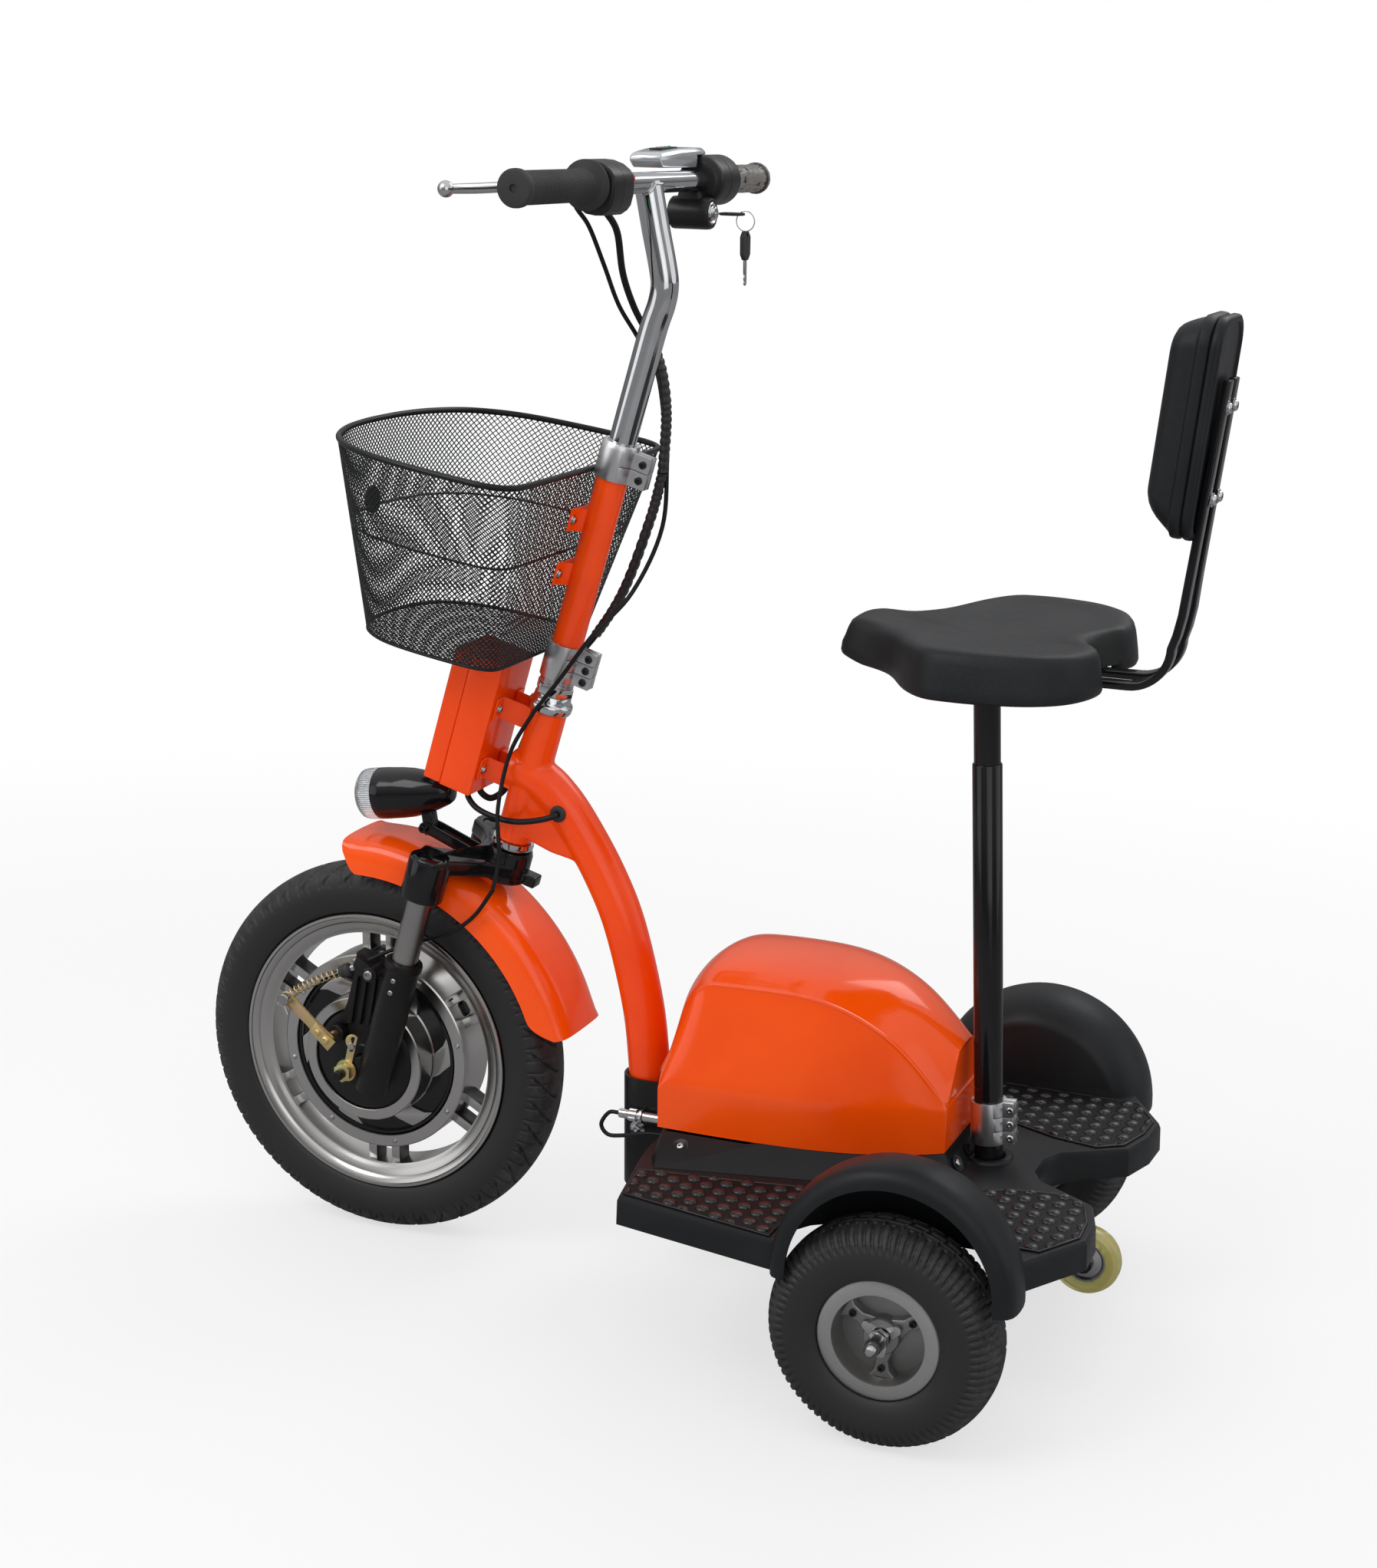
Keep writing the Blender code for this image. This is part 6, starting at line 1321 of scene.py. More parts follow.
# Deck moulding with its wheel arches and the upstand round the battery
deckForm = {"bottom": 0.178, "top": 0.2106, "wall": 0.004, "upstand": 0.2344, "edge": 0.0022}
deckHalf = mm((120, -334), (158, -329), (256.4, -309.2), (295, -118), (295, 108), (257.4, 123.7),
              (169, 179), (124, 177), (80, 163), (60, 130), (40, 96), (18, 84))
upstandFoot = mm((0, -330), (150, -316), (174.9, -302.5), (138.9, -126.3), (112, -45), (94, -6), (76, 6),
                 (0, 6))
upstandTop = mm((0, -327), (65, -325), (120, -315), (120, -200), (112, -118), (88.5, -50), (66, -8),
                (0, -5))


def deckRing(inset, z):
    whole = deckHalf + [(-x, y) for x, y in reversed(deckHalf)]
    ring = []
    for i, here in enumerate(whole):
        here = Vector(here)
        first = (here - Vector(whole[i - 1])).normalized()
        second = (Vector(whole[(i + 1) % len(whole)]) - here).normalized()
        inward = Vector((-first.y - second.y, first.x + second.x)).normalized()
        here = here + inward * inset / max(inward.dot(Vector((-first.y, first.x))), 0.35)
        ring.append((here.x, here.y, z))
    return ring


def upstandRing(half, inset, z):
    half = [(x - inset if x > 0.01 else x, y * (1 - inset)) for x, y in half]
    return [(x, y, z) for x, y in mirrored(half)]


def archRings(side, stations, low):
    return [[(side * x, y, z) for y, z in [(0.011 - radius, low)]
             + arc((0.011, 0.185), radius, 180, 0, 49) + [(0.011 + radius, low)]] for x, radius in stations]


bottom, top, wall = deckForm["bottom"], deckForm["top"], deckForm["wall"]
deck = skinned("deck", [deckRing(0, bottom), deckRing(0.0008, 0.205), deckRing(0.003, top - 0.0001),
                        deckRing(0.005, top)], origin)
hood = mm((222, 98), (224.5, 104.5), (229, 110.5), (235, 116.2), (243, 121.8), (252, 126.2), (262, 129.2),
          (273, 130.8), (285, 131), (295, 130.2), (303, 128), (308.5, 124), (311.5, 118), (312.5, 111))
space = mm((226.2, 96), (237, 111), (252, 120.5), (268, 125.6), (285, 126.8), (295, 125.8), (302.5, 122.5),
           (307, 117), (309, 109.5), (330, 109))
parts = [skinned("arch", archRings(side, hood, bottom), origin) for side in (1, -1)]
parts.append(skinned("upstand", [upstandRing(upstandFoot, 0, top - 0.002),
        upstandRing(upstandFoot, 0.0005, top + 0.001), upstandRing(upstandTop, 0, deckForm["upstand"])],
                     origin))
deck = carved(deck, *parts, operation="UNION")
cutters = [skinned("hollow", [deckRing(wall, bottom - 0.02), deckRing(wall + 0.002, top - wall)], origin),
           skinned("hollow", [upstandRing(upstandFoot, 0.006, top - 0.012),
                              upstandRing(upstandTop, 0.006, 0.24)], origin)]
cutters += [skinned("archSpace", archRings(side, space, bottom - 0.02), origin) for side in (1, -1)]
cutters.append(cylinder("postHole", 0.0166, -0.05, 0.05, post, 64))
deck = carved(deck, *cutters)
applied(deck, "BEVEL", width=deckForm["edge"], segments=3, limit_method="ANGLE",
        angle_limit=math.radians(32), use_clamp_overlap=True)
painted(deck, deckPlastic)

# Tread mats: a raised sheet on each side with staggered domes, which its edge cuts off
tread = {"pitch": 0.0222, "row": 0.019, "dome": 0.0079, "rise": 0.0038, "sheet": 0.0012,
         "first": (0.2189, -0.2693)}
matHalf = mm((186, -314), (249.4, -303.5), (286.8, -125), (215, -125), (215, 140), (167.5, 169.2),
             (129, 167.2), (88, 154.5), (70, 127), (79, 78), (100, 28), (131, -40), (160, -130),
             (174, -213.7))


def nearestOnEdge(point, outline):
    best, reach, inside = None, 1.0, False
    for a, b in zip(outline, outline[1:] + outline[:1]):
        a, b = Vector(a), Vector(b)
        if (a.y > point.y) != (b.y > point.y) and point.x < a.x + (b.x - a.x) * (point.y - a.y) / (b.y - a.y):
            inside = not inside
        share = min(max((point - a).dot(b - a) / (b - a).length_squared, 0), 1)
        close = a + (b - a) * share
        if (close - point).length < reach:
            best, reach = close, (close - point).length
    return best, reach, inside


clearSelection()
bpy.ops.mesh.primitive_uv_sphere_add(segments=16, ring_count=12, radius=1)
dome = bpy.context.object
openMesh()
bpy.ops.mesh.bisect(plane_co=(0, 0, 0.05), plane_no=(0, 0, 1), clear_inner=True)
bpy.ops.object.mode_set(mode="OBJECT")
dome.data.transform(Matrix.Diagonal((tread["dome"], tread["dome"], tread["rise"], 1)))
sheet = painted(plate("treadMat", matHalf, top - 0.0005, top + tread["sheet"], origin, 0.0005, 2),
                treadGround)
lip = [Vector((x, y, top + tread["sheet"])) for x, y in matHalf]
mats = [tube("matEdge", lip, 0.0012, closed=True, sides=2)]
for j in range(-4, 26):
    for i in range(-9, 6):
        x = tread["first"][0] + tread["pitch"] * (i + 0.5 * (j % 2))
        y = tread["first"][1] + tread["row"] * j
        close, reach, inside = nearestOnEdge(Vector((x, y)), matHalf)
        if not inside and reach > tread["dome"] * 0.35 or x < 0.05:
            continue
        made = copied(dome, Matrix())
        for vertex in made.data.vertices:
            spot = Vector((vertex.co.x + x, vertex.co.y + y))
            near, far, within = nearestOnEdge(spot, matHalf)
            if not within or far < 0.0012:
                spot = near + (Vector((x, y)) - near).normalized() * 0.0012 if inside else near
                vertex.co.z *= 0.45
            vertex.co = (spot.x, spot.y, vertex.co.z + top + tread["sheet"] - 0.0003)
        made.data.transform(origin)
        mats.append(made)
bpy.data.objects.remove(dome)
left = joined("treadMat", sheet, painted(joined("domes", *mats), treadBlack))
right = copied(left, Matrix.Diagonal((-1, 1, 1, 1)))

# Screws of the upstand in their dished seats, and the lip round the seat post
extras = []
for side in (-1, 1):
    for x, y, z, aim in ((0.14, -0.2858, 0.2252, (0.62, -0.06, 0.78)),
                         (0.054, 0.004, 0.2209, (0.1, 0.86, 0.5))):
        spot = at(side * x, y, z) @ facing((side * aim[0], aim[1], aim[2]))
        extras.append(lathed("screwSeat", mm((0, -2), (7.4, -2), (9.2, -0.4), (9.6, 0.6),
                (8.4, 0.7), (6.4, -0.3), (0, -0.4)), spot, 36, caseBlack))
        extras.append(roundHead("upstandScrew", 0.0042, -0.0003, 0.0024, spot, brightSteel, 0.0018))
# A shallow dish painted black stands for a hole in the upstand: its black is painted shade.
hole = at(0.016, 0.0048, 0.2222) @ facing((0, 0.86, 0.5))
extras.append(lathed("plugHole", mm((0, -2), (6.6, -2), (7.2, 0.2), (6.2, 0.6), (5.2, -0.6), (0, -0.8)),
                     hole, 36, wireBlack))
extras.append(lathed("postLip", mm((16.8, -10), (28, -10), (26.2, -5.2), (24, -3.8), (20.5, -3.6),
        (18.5, -4.6), (16.8, -7)), post, 64, deckPlastic))
fitted(joined("deck", deck, *extras), "main_frame", "deck", smooth=40)
fitted(joined("treadMats", left, right), "main_frame", smooth=50)
print("deck made")

# Orange battery cover: sections from front to back. Each runs from the middle of the top over the crest to
# the crease of the side, and a straight skirt goes on to the base.
base = 0.2347
sections = [mm((0, -336, 289), (35, -335, 289), (70, -333, 289), (98, -329, 289), (120, -322.5, 280)),
            mm((0, -328, 366), (35, -323.5, 366), (66, -315, 364), (91.5, -301, 357), (120, -315, 289)),
            mm((0, -306, 401), (35, -303.5, 399), (64, -298.5, 396), (90, -287, 397), (120.4, -295, 289)),
            mm((0, -281, 418), (35, -281, 416.5), (66, -275, 412), (90, -264, 398.5), (120.8, -260, 289)),
            mm((0, -212, 420.5), (35, -212, 419.2), (66, -212, 414), (90, -212, 400), (120, -200, 289)),
            mm((0, -143, 418.5), (35, -143, 417), (65, -143, 412), (89, -143, 399), (114, -130, 289)),
            mm((0, -88, 408), (34, -88, 405), (61, -88, 392), (85, -88, 376), (101, -80, 289)),
            mm((0, -49, 388), (33, -49, 382), (55, -49, 362), (77, -49, 345), (88, -46, 289)),
            mm((0, -10, 352), (31, -12, 344), (50, -12.5, 312), (66, -12.5, 291.5), (70, -13, 286)),
            mm((0, -5, 346), (29, -7, 338), (46, -7.5, 308), (61, -8, 288), (65, -8, 283))]
bm = bmesh.new()
sharpness = bm.edges.layers.float.new("crease_edge")
rows = []
bead = {"width": 0.0036, "rise": 0.0026}
for section in sections:
    # The crest carries a thin raised bead.
    inner, crest, outer = (Vector(point) for point in section[2:5])
    before, after = (inner - crest).normalized(), (outer - crest).normalized()
    raised = crest - (before + after).normalized() * bead["rise"]
    section = section[:3] + [tuple(crest + before * bead["width"]), tuple(raised),
                             tuple(crest + after * bead["width"])]
    section += [tuple(outer), (outer.x, outer.y, base)]
    rows.append([bm.verts.new((-x, y, z)) for x, y, z in section[:0:-1]]
                + [bm.verts.new(point) for point in section])
for first, second in zip(rows, rows[1:]):
    for i in range(len(first) - 1):
        bm.faces.new((first[i], first[i + 1], second[i + 1], second[i]))
for row in (rows[0], rows[-1]):
    for i in range(len(row) // 2):
        corners = [row[i], row[i + 1], row[-2 - i], row[-1 - i]]
        bm.faces.new(corners if corners[1] is not corners[2] else (corners[0], corners[1], corners[3]))
bmesh.ops.recalc_face_normals(bm, faces=bm.faces)
places = {vertex: (k, i) for k, row in enumerate(rows) for i, vertex in enumerate(row)}
for line in bm.edges:
    (k, i), (m, n) = places[line.verts[0]], places[line.verts[1]]
    aside = abs(i - 7)
    if i == n and k != m:
        line[sharpness] = {7: 1.0, 6: 0.8, 5: 0.45, 3: 0.45, 1: 0.12}.get(aside, 0.0)
    elif k == m and k in (0, len(rows) - 1):
        line[sharpness] = 0.66
    elif k == m and k in (1, 3):
        line[sharpness] = 0.25
cover = pieceFrom("batteryCover", bm)
cover.data.transform(origin)
applied(cover, "SUBSURF", levels=4, render_levels=4)
applied(cover, "SOLIDIFY", thickness=0.0028, offset=-1)
fitted(painted(cover, orangeShell), "main_frame", "battery_cover", smooth=60)
print("battery cover made")


# Seat post: outer and inner tube with the split clamp between them
outerTube = mm((14.7, -38), (16, -38), (16, 437), (15.5, 438), (14.7, 438))
fitted(lathed("postOuter", outerTube, post, 72, glossBlack), "main_frame", "post_outer")
fitted(painted(cylinder("postInner", 0.0143, 0.24, 0.5456, post, 72), glossBlack), "seat_set", "post_inner")
clamp = splitClamp("seatClamp", 0.0162, 0.02, 0.0085, 0.03, (0.0125, 0.0287, 0.0449, 0.061), post,
                   brightSteel)
fitted(clamp, "main_frame", "seat_clamp")

# Saddle: one moulded pad with a raised nose, a dished middle and a skirt that flares at the nose
saddle = {"side": 0.0075, "nose": 0.0045, "flare": 0.55, "tipLift": 0.008}
saddleHalf = mm((0, -158), (20, -156.5), (37, -148), (54, -116), (83, -83), (140, -49), (170, -20),
                (176, 10), (174, 45), (163, 86), (140, 117), (104, 134), (66, 137), (40, 124), (18, 115),
                (0, 113))


def ramp(value, low, high):
    share = max(0.0, min(1.0, (value - low) / (high - low)))
    return share * share * (3 - 2 * share)


def saddleRing(inset, z, scale=1.0):
    # Rings keep their distance from the outline at the edge. On the flat top they shrink towards the middle.
    line = throughPoints([(x, y, 0) for x, y in saddleHalf], 4)
    ring = []
    for side, row in ((1, line), (-1, line[-2:0:-1])):
        for point in row:
            flare = 1 + saddle["flare"] * ramp(-point.y, 0.085, 0.145) * ramp(z, 0.762, 0.792)
            share = (1 - inset * flare / point.length) * scale
            x, y = point.x * share, point.y * share
            rise = saddle["side"] * (abs(x) / 0.165) ** 2 + saddle["nose"] * ramp(-y, 0.09, 0.14)
            rise *= ramp(z, 0.78, 0.796)
            rise += saddle["tipLift"] * ramp(-y, 0.118, 0.16) * ramp(-z, -0.79, -0.765)
            ring.append((side * x, y, z + rise))
    return ring


levels = mm((15.5, 769), (12.5, 760), (9.5, 757.6), (4.5, 757), (1.2, 757.8), (0, 761), (1, 770), (3, 782),
            (4.6, 789), (6.8, 794), (10.2, 797.8), (15, 799.8), (21.5, 800.4), (30, 799.4), (40, 797.8))
levels += [(0.04, 0.793 + 0.0048 * scale ** 2, scale)
           for scale in (0.86, 0.72, 0.58, 0.44, 0.31, 0.19, 0.08)]
seat = skinned("seatCushion", [saddleRing(*level) for level in levels], origin)
seat = carved(seat, box("barSpace", (-0.046, 0.046), (0.09, 0.16), (0.74, 0.7642), origin, 0))
fitted(painted(seat, vinyl), "seat_set", "seat_cushion", smooth=70)

# Backrest: thick pad with a rolled rim on a stepped pan
restLean = 5.8        # degrees
rest = at(0, 0.228, 1.0675) @ turn(-restLean, "X")
pad = {"low": -0.159, "high": 0.06, "half": 0.055, "corner": 0.03, "lift": 0.02, "fall": 0.006}


def padRing(inset, depth):
    # Corners of the pad are round, and its lower and upper faces draw in towards the front.
    x, corner = pad["half"] - inset, max(pad["corner"] - inset * 0.5, 0.01)
    share = max(0.0, min(1.0, (-depth - 0.026) / 0.027))
    ring = []
    for cx, cz, first in ((x - corner, pad["high"] - inset - corner, 0), (-x + corner, pad["high"]
            - inset - corner, 90), (-x + corner, pad["low"] + inset + corner, 180),
                          (x - corner, pad["low"] + inset + corner, 270)):
        for px, pz in arc((cx, cz), corner, first, first + 90, 13):
            pz += pad["lift"] * share * max(0.0, min(1.0, (-0.06 - pz) / 0.099)) ** 1.5
            pz -= pad["fall"] * share * max(0.0, min(1.0, (pz - 0.01) / 0.05))
            ring.append((px, depth, pz))
    return ring


levels = mm((2.2, -12.4), (0.6, -14), (0, -16.5), (0, -21.5), (0.8, -23.8), (3, -24.8), (4, -25.8),
            (4.6, -28), (5.4, -34), (6.8, -41), (9.2, -46), (13, -50), (19, -53), (27, -54.4), (37, -54.8),
            (46, -55))
cushion = skinned("backrestCushion", [padRing(*level) for level in levels], rest)
fitted(painted(cushion, vinyl), "seat_set", "backrest_cushion", smooth=70)
levels = mm((7.5, -3), (6.8, -1.2), (5.2, -0.4), (3, -0.6), (0.8, -2), (0, -4.5), (0, -8.5), (1, -10.8),
            (2.4, -12))
pan = skinned("backrestPan", [padRing(*level) for level in levels], rest)
fitted(painted(pan, deckPlastic), "seat_set", "backrest_pan", smooth=50)

# Flat bars that carry the backrest, with their bolts and washers
for name, side in (("Left", 1), ("Right", -1)):
    centre = [(0.01, 0.759), (0.15, 0.759)] + arc((0.15, 0.801), 0.042, -90, 0, 13)[1:]
    centre += mm((196.5, 815), (200.5, 835), (204.4, 870), (228.1, 1067.5))
    rings = []
    for i, (y, z) in enumerate(centre):
        heading = (Vector(centre[min(i + 1, len(centre) - 1)]) - Vector(centre[max(i - 1, 0)])).normalized()
        normal = Vector((-heading.y, heading.x)) * 0.004
        middle = side * (0.026 if z < 0.8 else 0.026 - 0.0115 * min((z - 0.8) / 0.15, 1.0))
        rings.append([(middle + x, y + 0.0044 + s * normal.x, z + s * normal.y) for x,
                      s in ((-0.009, 1), (0.009, 1), (0.009, -1), (-0.009, -1))])
    strip = skinned("seatBar", rings, origin)
    pieces = [painted(rounded(strip, 0.0014, 3, 60), glossBlack)]
    lean = math.tan(math.radians(restLean))
    for z in (0.95, 1.04):
        spot = at(side * 0.0145, 0.2281 + lean * (z - 1.0675) + 0.0084, z) @ turn(-90 - restLean, "X")
        pieces.append(lathed("barWasher", mm((0, -0.8), (7.4, -0.8), (7.4, 0.4), (6.6, 0.9),
                (0, 0.9)), spot, 36, brightSteel))
        pieces.append(roundHead("barBolt", 0.0054, 0.0006, 0.0042, spot, chrome, 0.0024))
    fitted(joined("seatBar" + name, *pieces), "seat_set", "seat_bar_" + name.lower(), smooth=50)
print("seat and backrest made")


# Wires and cables. Each crosses a joint only where it hangs free.
def cable(name, points, radius, finish, perSpan=8):
    return painted(tube(name, throughPoints(points, perSpan), radius, sides=5), finish)


sleeve = {"top": 1.09, "low": 0.745, "middle": -0.029, "wide": 1.55, "radius": 0.005, "pitch": 0.0062}
loomTop = [(0.1020, -0.4025, 1.2192), (0.0800, -0.4010, 1.2060), (0.0560, -0.3990, 1.1850),
           (0.0200, -0.4090, 1.1420), (-0.0080, -0.4090, 1.1060), (-0.0250, -0.3970, 1.0700),
           (-0.0270, -0.3850, 1.0350), (-0.0260, -0.3800, 0.9900), (-0.0260, -0.3840, 0.9300)]
loomLow = [(-0.0260, -0.3840, 0.9300), (-0.0260, -0.3980, 0.8800), (-0.0260, -0.4290, 0.8000),
           (-0.0280, -0.4640, 0.7450), (-0.0300, -0.5000, 0.7050), (-0.0290, -0.5330, 0.6600),
           (-0.0280, -0.5600, 0.6000), (-0.0240, -0.5740, 0.5600), (-0.0200, -0.5920, 0.5440),
           (-0.0180, -0.6050, 0.5500), (-0.0180, -0.6050, 0.5600)]


def sleevePart(name, points):
    # Split sleeve round both cables: flat, with a turn of the wrap every few millimetres
    line = [point for point in throughPoints(points, 60) if sleeve["low"] < point.z < sleeve["top"]]
    spaced, run = [line[0]], 0.0
    for point in line[1:]:
        if (point - spaced[-1]).length > sleeve["pitch"] / 4:
            spaced.append(point)
    swell = [1 + 0.1 * (1, 0.6, -1, 0.4)[i % 4] for i in range(len(spaced))]
    made = tube(name, [(sleeve["middle"], point.y, point.z) for point in spaced], sleeve["radius"],
                sides=5, thickness=swell)
    centre = at(sleeve["middle"], 0, 0)
    made.data.transform(centre @ Matrix.Diagonal((sleeve["wide"], 1, 1, 1)) @ centre.inverted())
    return painted(made, sleeveBlack)


upperLoom = joined("loomUpper", cable("loomUpper", loomTop, 0.0036, wireBlack),
                   sleevePart("sleeve", loomTop))
lowerLoom = joined("loomLower", cable("loomLower", loomLow, 0.0038, wireBlack),
                   sleevePart("sleeve", loomLow))
hung(upperLoom, "loom")
hung(lowerLoom, "loom")

brakeTop = [(0.1075, -0.4285, 1.2295), (0.0940, -0.4272, 1.2100), (0.0720, -0.4230, 1.1900),
            (0.0400, -0.4210, 1.1500), (0.0000, -0.4230, 1.1080), (-0.0220, -0.4120, 1.0750),
            (-0.0320, -0.3920, 1.0350), (-0.0325, -0.3800, 0.9500)]
# Below the sleeve the brake cable goes in three lengths: down to the head tube, beside it, and on from the
# crown.
brakeMiddle = [(-0.0325, -0.3800, 0.9500), (-0.0330, -0.3860, 0.8700), (-0.0120, -0.4120, 0.8000),
               (0.0230, -0.4440, 0.7550), (0.0300, -0.4800, 0.7050), (0.0300, -0.5120, 0.6650)]
brakeBeside = [(0.0300, -0.5120, 0.6650), (0.0300, -0.5420, 0.6150), (0.0430, -0.5520, 0.5520),
               (0.0500, -0.5480, 0.4980), (0.0590, -0.5520, 0.4600)]
brakeLow = [(0.0590, -0.5520, 0.4600), (0.0620, -0.5742, 0.4279), (0.0620, -0.6050, 0.4036),
            (0.0570, -0.6401, 0.3890), (0.0600, -0.6740, 0.3757), (0.0840, -0.7010, 0.3640)]
upperCable = cable("brakeCableUpper", brakeTop, 0.0024, wireBlack)
ferrulePlace = at(*brakeTop[0]) @ facing(Vector(brakeTop[1]) - Vector(brakeTop[0]))
ferrule = lathed("cableFerrule", mm((0, -2), (3.4, -2), (3.4, 12), (3, 12.8), (0, 12.8)), ferrulePlace, 20,
                 satinSteel)
hung(joined("brakeCableUpper", upperCable, ferrule),
     "brake_cable")
hung(cable("brakeCableMiddle", brakeMiddle, 0.0024, wireBlack),
     "brake_cable")
hung(cable("brakeCableBeside", brakeBeside, 0.0024, wireBlack),
     "brake_cable")
hung(cable("brakeCableLower", brakeLow, 0.0024, wireBlack),
     "brake_cable")

powerLine = [(0.0200, -0.5999, 0.5621), (0.0205, -0.6010, 0.5540), (0.0260, -0.5860, 0.5430),
             (0.0300, -0.5579, 0.5362), (0.0330, -0.5320, 0.5360), (0.0370, -0.5050, 0.5420),
             (0.0340, -0.4890, 0.5470), (0.0246, -0.4870, 0.5480)]
fitted(cable("powerLead", powerLine, 0.0034, wireBlack), "main_frame", "power_lead", smooth=50)

# Charging socket plug with its short lead
chargeLine = [(0.0385, -0.4055, 0.2070), (0.0385, -0.4180, 0.2050), (0.0400, -0.4270, 0.1900),
              (0.0410, -0.4180, 0.1790), (0.0410, -0.3980, 0.1810), (0.0410, -0.3700, 0.1880),
              (0.0390, -0.3480, 0.1890)]
fitted(cable("chargeLead", chargeLine, 0.0024, wireBlack, perSpan=12), "main_frame", "charge_lead",
       smooth=50)
socket = at(0.0385, -0.4049, 0.207) @ turn(-90, "X")
profile = mm((0, 0), (4.2, 0), (5.4, 1.2), (5.5, 11.8), (6.4, 12.2), (6.8, 12.8), (6.8, 22.6), (6.4, 23.2),
             (5.6, 23.6), (5.6, 25), (7.4, 25.4), (8, 26.2), (8, 29.8), (7.4, 30.4), (5.8, 30.6), (5.8, 59),
             (0, 59))
plug = lathed("chargePlug", profile, socket, 48, chrome)
ribs = [box("rib", (-0.00035, 0.00035), (0.0066, 0.0072), (0.0132, 0.0222), socket @ turn(i * 12, "Z"),
            0.0002, 1) for i in range(30)]
nut = painted(rounded(turned("collarNut", mm((0, 26.8), (9, 26.8), (9, 29.6), (0, 29.6)), socket, 6),
                      0.0004), brightSteel)
fitted(joined("chargePlug", plug, painted(joined("ribs", *ribs), chrome), nut), "main_frame", "charge_plug",
       smooth=30)

# Second key on its ring
hook = at(-0.13, -0.3395, 1.1995)
ring = [Vector((0.0, 0.00755 + y, -0.007 + z)) for y, z in arc((0, 0), 0.0105, 0, 350, 36)]
pieces = [painted(tube("keyRing", ring, 0.0006, hook, closed=True, sides=3), brightSteel)]
head = mm((-4, -17.2), (4, -17.2), (10, -23), (9.6, -42), (4, -48), (-4, -48), (-9.6, -42), (-10, -23))
hookSide = hook @ turn(-90, "X")
head = plate("keyHead", [(x, -z) for x, z in head], 0.005, 0.0102, hookSide, 0.001, 3)
hole = cylinder("keyHole", 0.0026, -0.02, 0.02, hook @ shift(0, 0.0076, -0.0212) @ turn(90, "X"), 24)
pieces.append(painted(carved(head, hole), rubberBlack))
teeth = mm((-3.4, 47), (-3.4, 72.5), (-1.4, 75), (0.8, 75), (2.6, 72.2), (1.6, 70), (3.4, 67.2), (1.8, 64),
           (3, 61.2), (3.4, 58), (3.4, 47))
pieces.append(painted(plate("keyBlade", teeth, 0.0067, 0.0084, hookSide, 0.0002, 1), brightSteel))
fitted(joined("spareKey", *pieces), "spare_key_set", "spare_key", smooth=40)
print("cables and keys made")

# CAD nodes whose shape is right keep it and get their finish here.
for name, finish in (("chassis", castBlack), ("battery", caseBlack), ("seat_plate", castBlack)):
    piece = bpy.data.objects[name]
    for slot in piece.material_slots:
        slot.material = finish


# Floor, light and surroundings
def floorFinish():
    made = Finish("studioFloor", (0.88, 0.88, 0.88), 0.85)
    rays = made.tree.nodes.new("ShaderNodeLightPath")
    # Mirror-like surfaces see the floor painted dark grey: a painted reflection of a darker ground.
    made.put("Base Color", made.mixed(Flow(made, rays.outputs["Is Glossy Ray"]), (0.88, 0.88, 0.88),
            (0.3, 0.3, 0.31)))
    near = 1 - made.distance((0, 0, 0), (1, 0.8, 0)).between(1.1, 2.6)
    path = made.tree.nodes.new("ShaderNodeLightPath")
    seen = Flow(made, path.outputs["Is Camera Ray"])
    glow = made.node("ShaderNodeEmission", None, {"Color": (1, 1, 1), "Strength": 1.0})
    blend = made.tree.nodes.new("ShaderNodeMixShader")
    made.plug(blend.inputs[0], seen * (1 - near * (0.34 + 0.02 * made.speckle(4, 3))))
    made.tree.links.new(made.shader.outputs[0], blend.inputs[1])
    made.tree.links.new(glow.socket, blend.inputs[2])
    made.tree.links.new(blend.outputs[0], made.tree.nodes["Material Output"].inputs[0])
    return made.material


clearSelection()
bpy.ops.mesh.primitive_plane_add(size=60)
floor = bpy.context.object
floor.name = floor.data.name = "studioFloor"
painted(floor, floorFinish())

studio = {"sky": 0.76, "key": 26, "fill": 12, "rim": 14}
world = bpy.data.worlds.new("studio")
bpy.context.scene.world = world
world.use_nodes = True
nodes, links = world.node_tree.nodes, world.node_tree.links
path = nodes.new("ShaderNodeLightPath")
clear = nodes.new("ShaderNodeMath")
clear.operation = "MAXIMUM"
links.new(path.outputs["Is Camera Ray"], clear.inputs[0])
links.new(path.outputs["Is Transmission Ray"], clear.inputs[1])
place = nodes.new("ShaderNodeTexCoord")
axes = nodes.new("ShaderNodeSeparateXYZ")
links.new(place.outputs["Generated"], axes.inputs[0])


def graded(source, first, second):
    # A ramp from one (position, grey) pair to the next
    made = nodes.new("ShaderNodeValToRGB")
    for stop, (position, grey) in zip(made.color_ramp.elements, (first, second)):
        stop.position = position
        stop.color = (grey, grey, grey * 1.02, 1)
    links.new(source, made.inputs[0])
    return made.outputs["Color"]


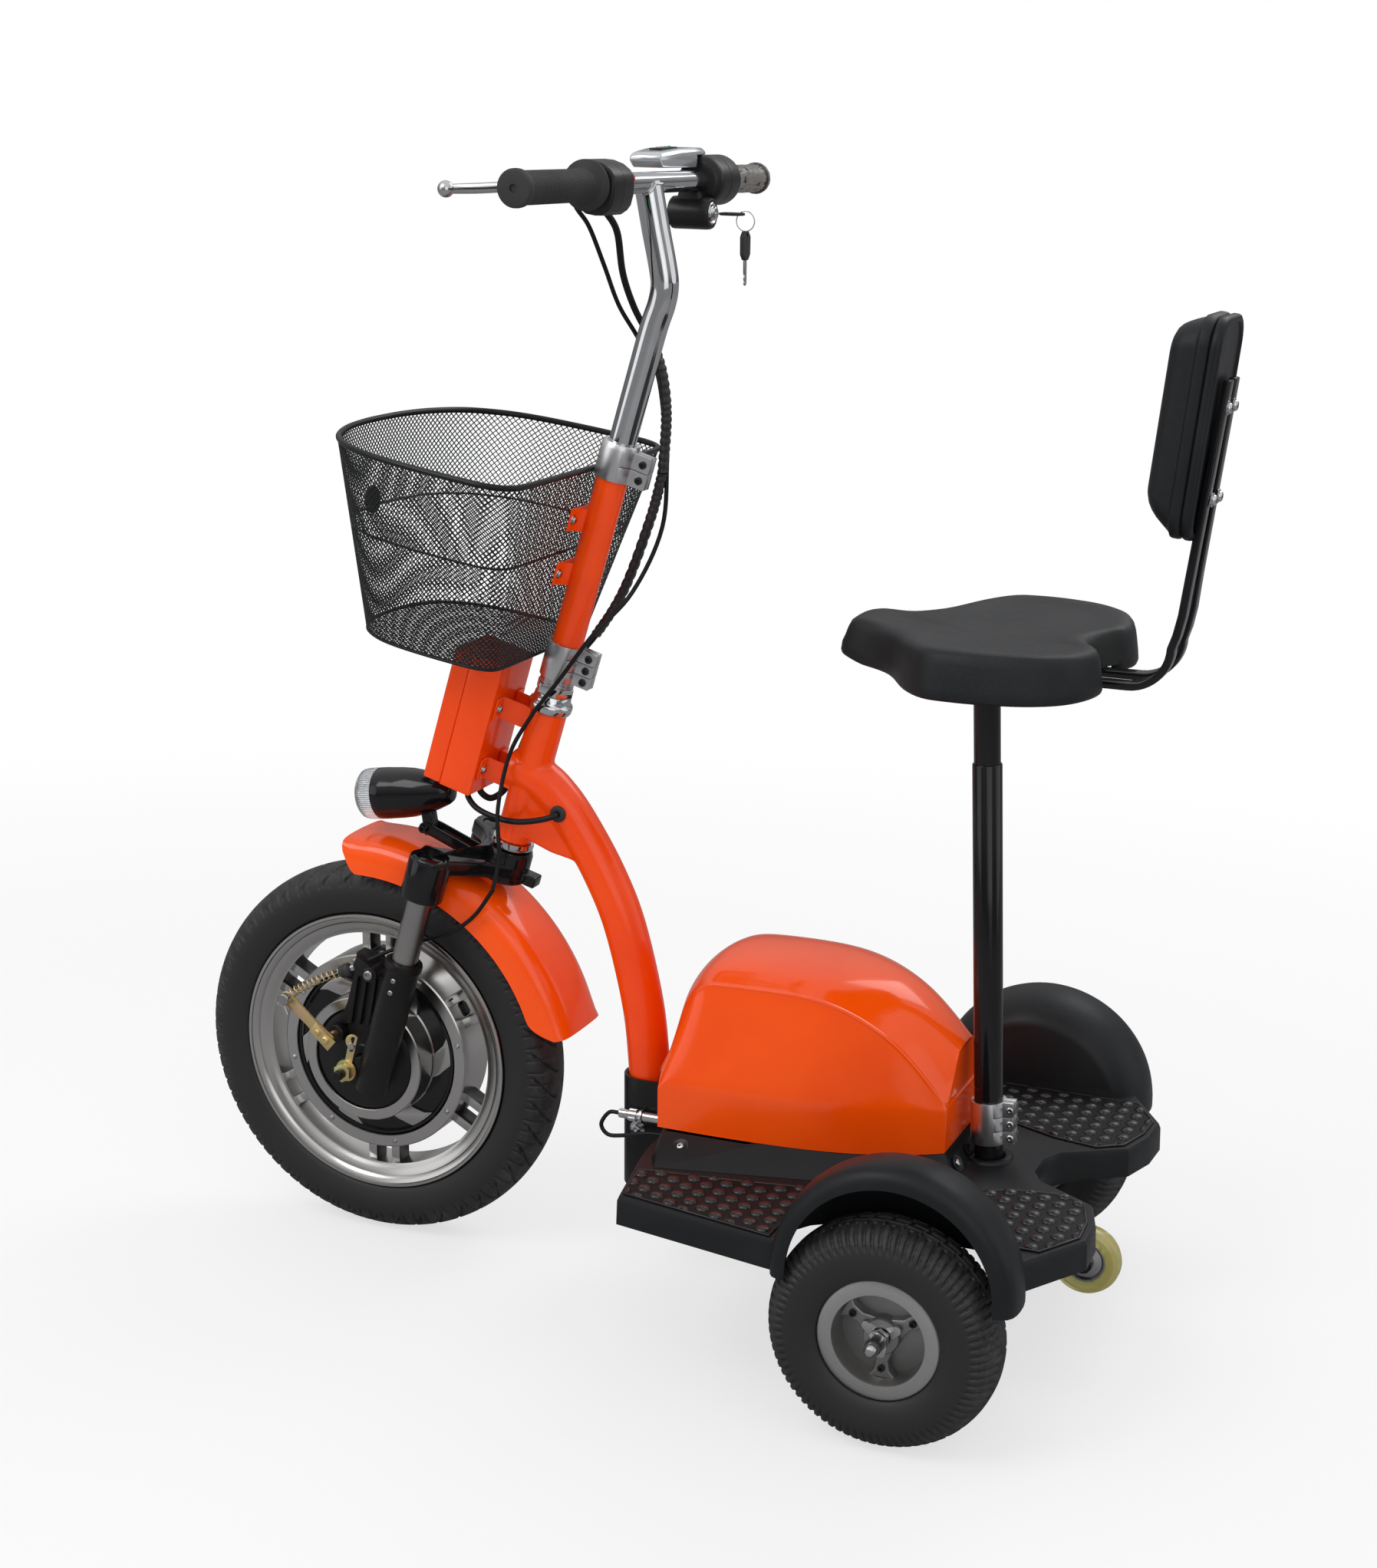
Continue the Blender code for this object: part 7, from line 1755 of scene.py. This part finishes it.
# Mirror-like surfaces see a dim room with a light ceiling and three bright panels on its walls.
room = graded(axes.outputs["Z"], (0.02, 0.13), (0.76, 0.86))
panels = (((0.62, -0.76, 0.2), 0.93, 1.15), ((-0.3, 0.93, 0.22), 0.9, 0.95),
          ((0.8, 0.58, 0.1), 0.965, 0.55))
for heading, edge, bright in panels:
    towards = nodes.new("ShaderNodeVectorMath")
    towards.operation = "DOT_PRODUCT"
    links.new(place.outputs["Generated"], towards.inputs[0])
    towards.inputs[1].default_value = Vector(heading).normalized()
    panel = graded(towards.outputs["Value"], (edge, 0.0), (edge + 0.03, bright))
    lighter = nodes.new("ShaderNodeVectorMath")
    lighter.operation = "MAXIMUM"
    links.new(room, lighter.inputs[0])
    links.new(panel, lighter.inputs[1])
    room = lighter.outputs["Vector"]
background = nodes["Background"]
background.inputs["Strength"].default_value = studio["sky"]
shine = nodes.new("ShaderNodeBackground")
shine.inputs["Strength"].default_value = 1.0
white = nodes.new("ShaderNodeBackground")
white.inputs["Color"].default_value = (1, 1, 1, 1)
white.inputs["Strength"].default_value = 1.0
links.new(room, shine.inputs["Color"])
mirrorMix = nodes.new("ShaderNodeMixShader")
links.new(path.outputs["Is Glossy Ray"], mirrorMix.inputs[0])
links.new(background.outputs[0], mirrorMix.inputs[1])
links.new(shine.outputs[0], mirrorMix.inputs[2])
viewMix = nodes.new("ShaderNodeMixShader")
links.new(clear.outputs[0], viewMix.inputs[0])
links.new(mirrorMix.outputs[0], viewMix.inputs[1])
links.new(white.outputs[0], viewMix.inputs[2])
links.new(viewMix.outputs[0], nodes["World Output"].inputs["Surface"])
background.inputs["Color"].default_value = (1, 1, 1, 1)

for name, power, size, spot, aim in (("keyLight", studio["key"], 1.6, (1.9, -1.3, 2.9), (0, -0.1, 0.6)),
        ("fillLight", studio["fill"], 2.2, (2.6, 1.9, 1.7), (0, 0, 0.5)), ("rimLight", studio["rim"], 1.4,
        (-1.9, 0.9, 2.6), (0, 0, 0.7))):
    lamp = linked(name, bpy.data.lights.new(name, "AREA"))
    lamp.data.energy = power
    lamp.data.size = size
    lamp.location = spot
    lamp.rotation_euler = (Vector(aim) - Vector(spot)).to_track_quat("-Z", "Y").to_euler()

bpy.context.scene.view_settings.view_transform = "Standard"
print("light and floor set")
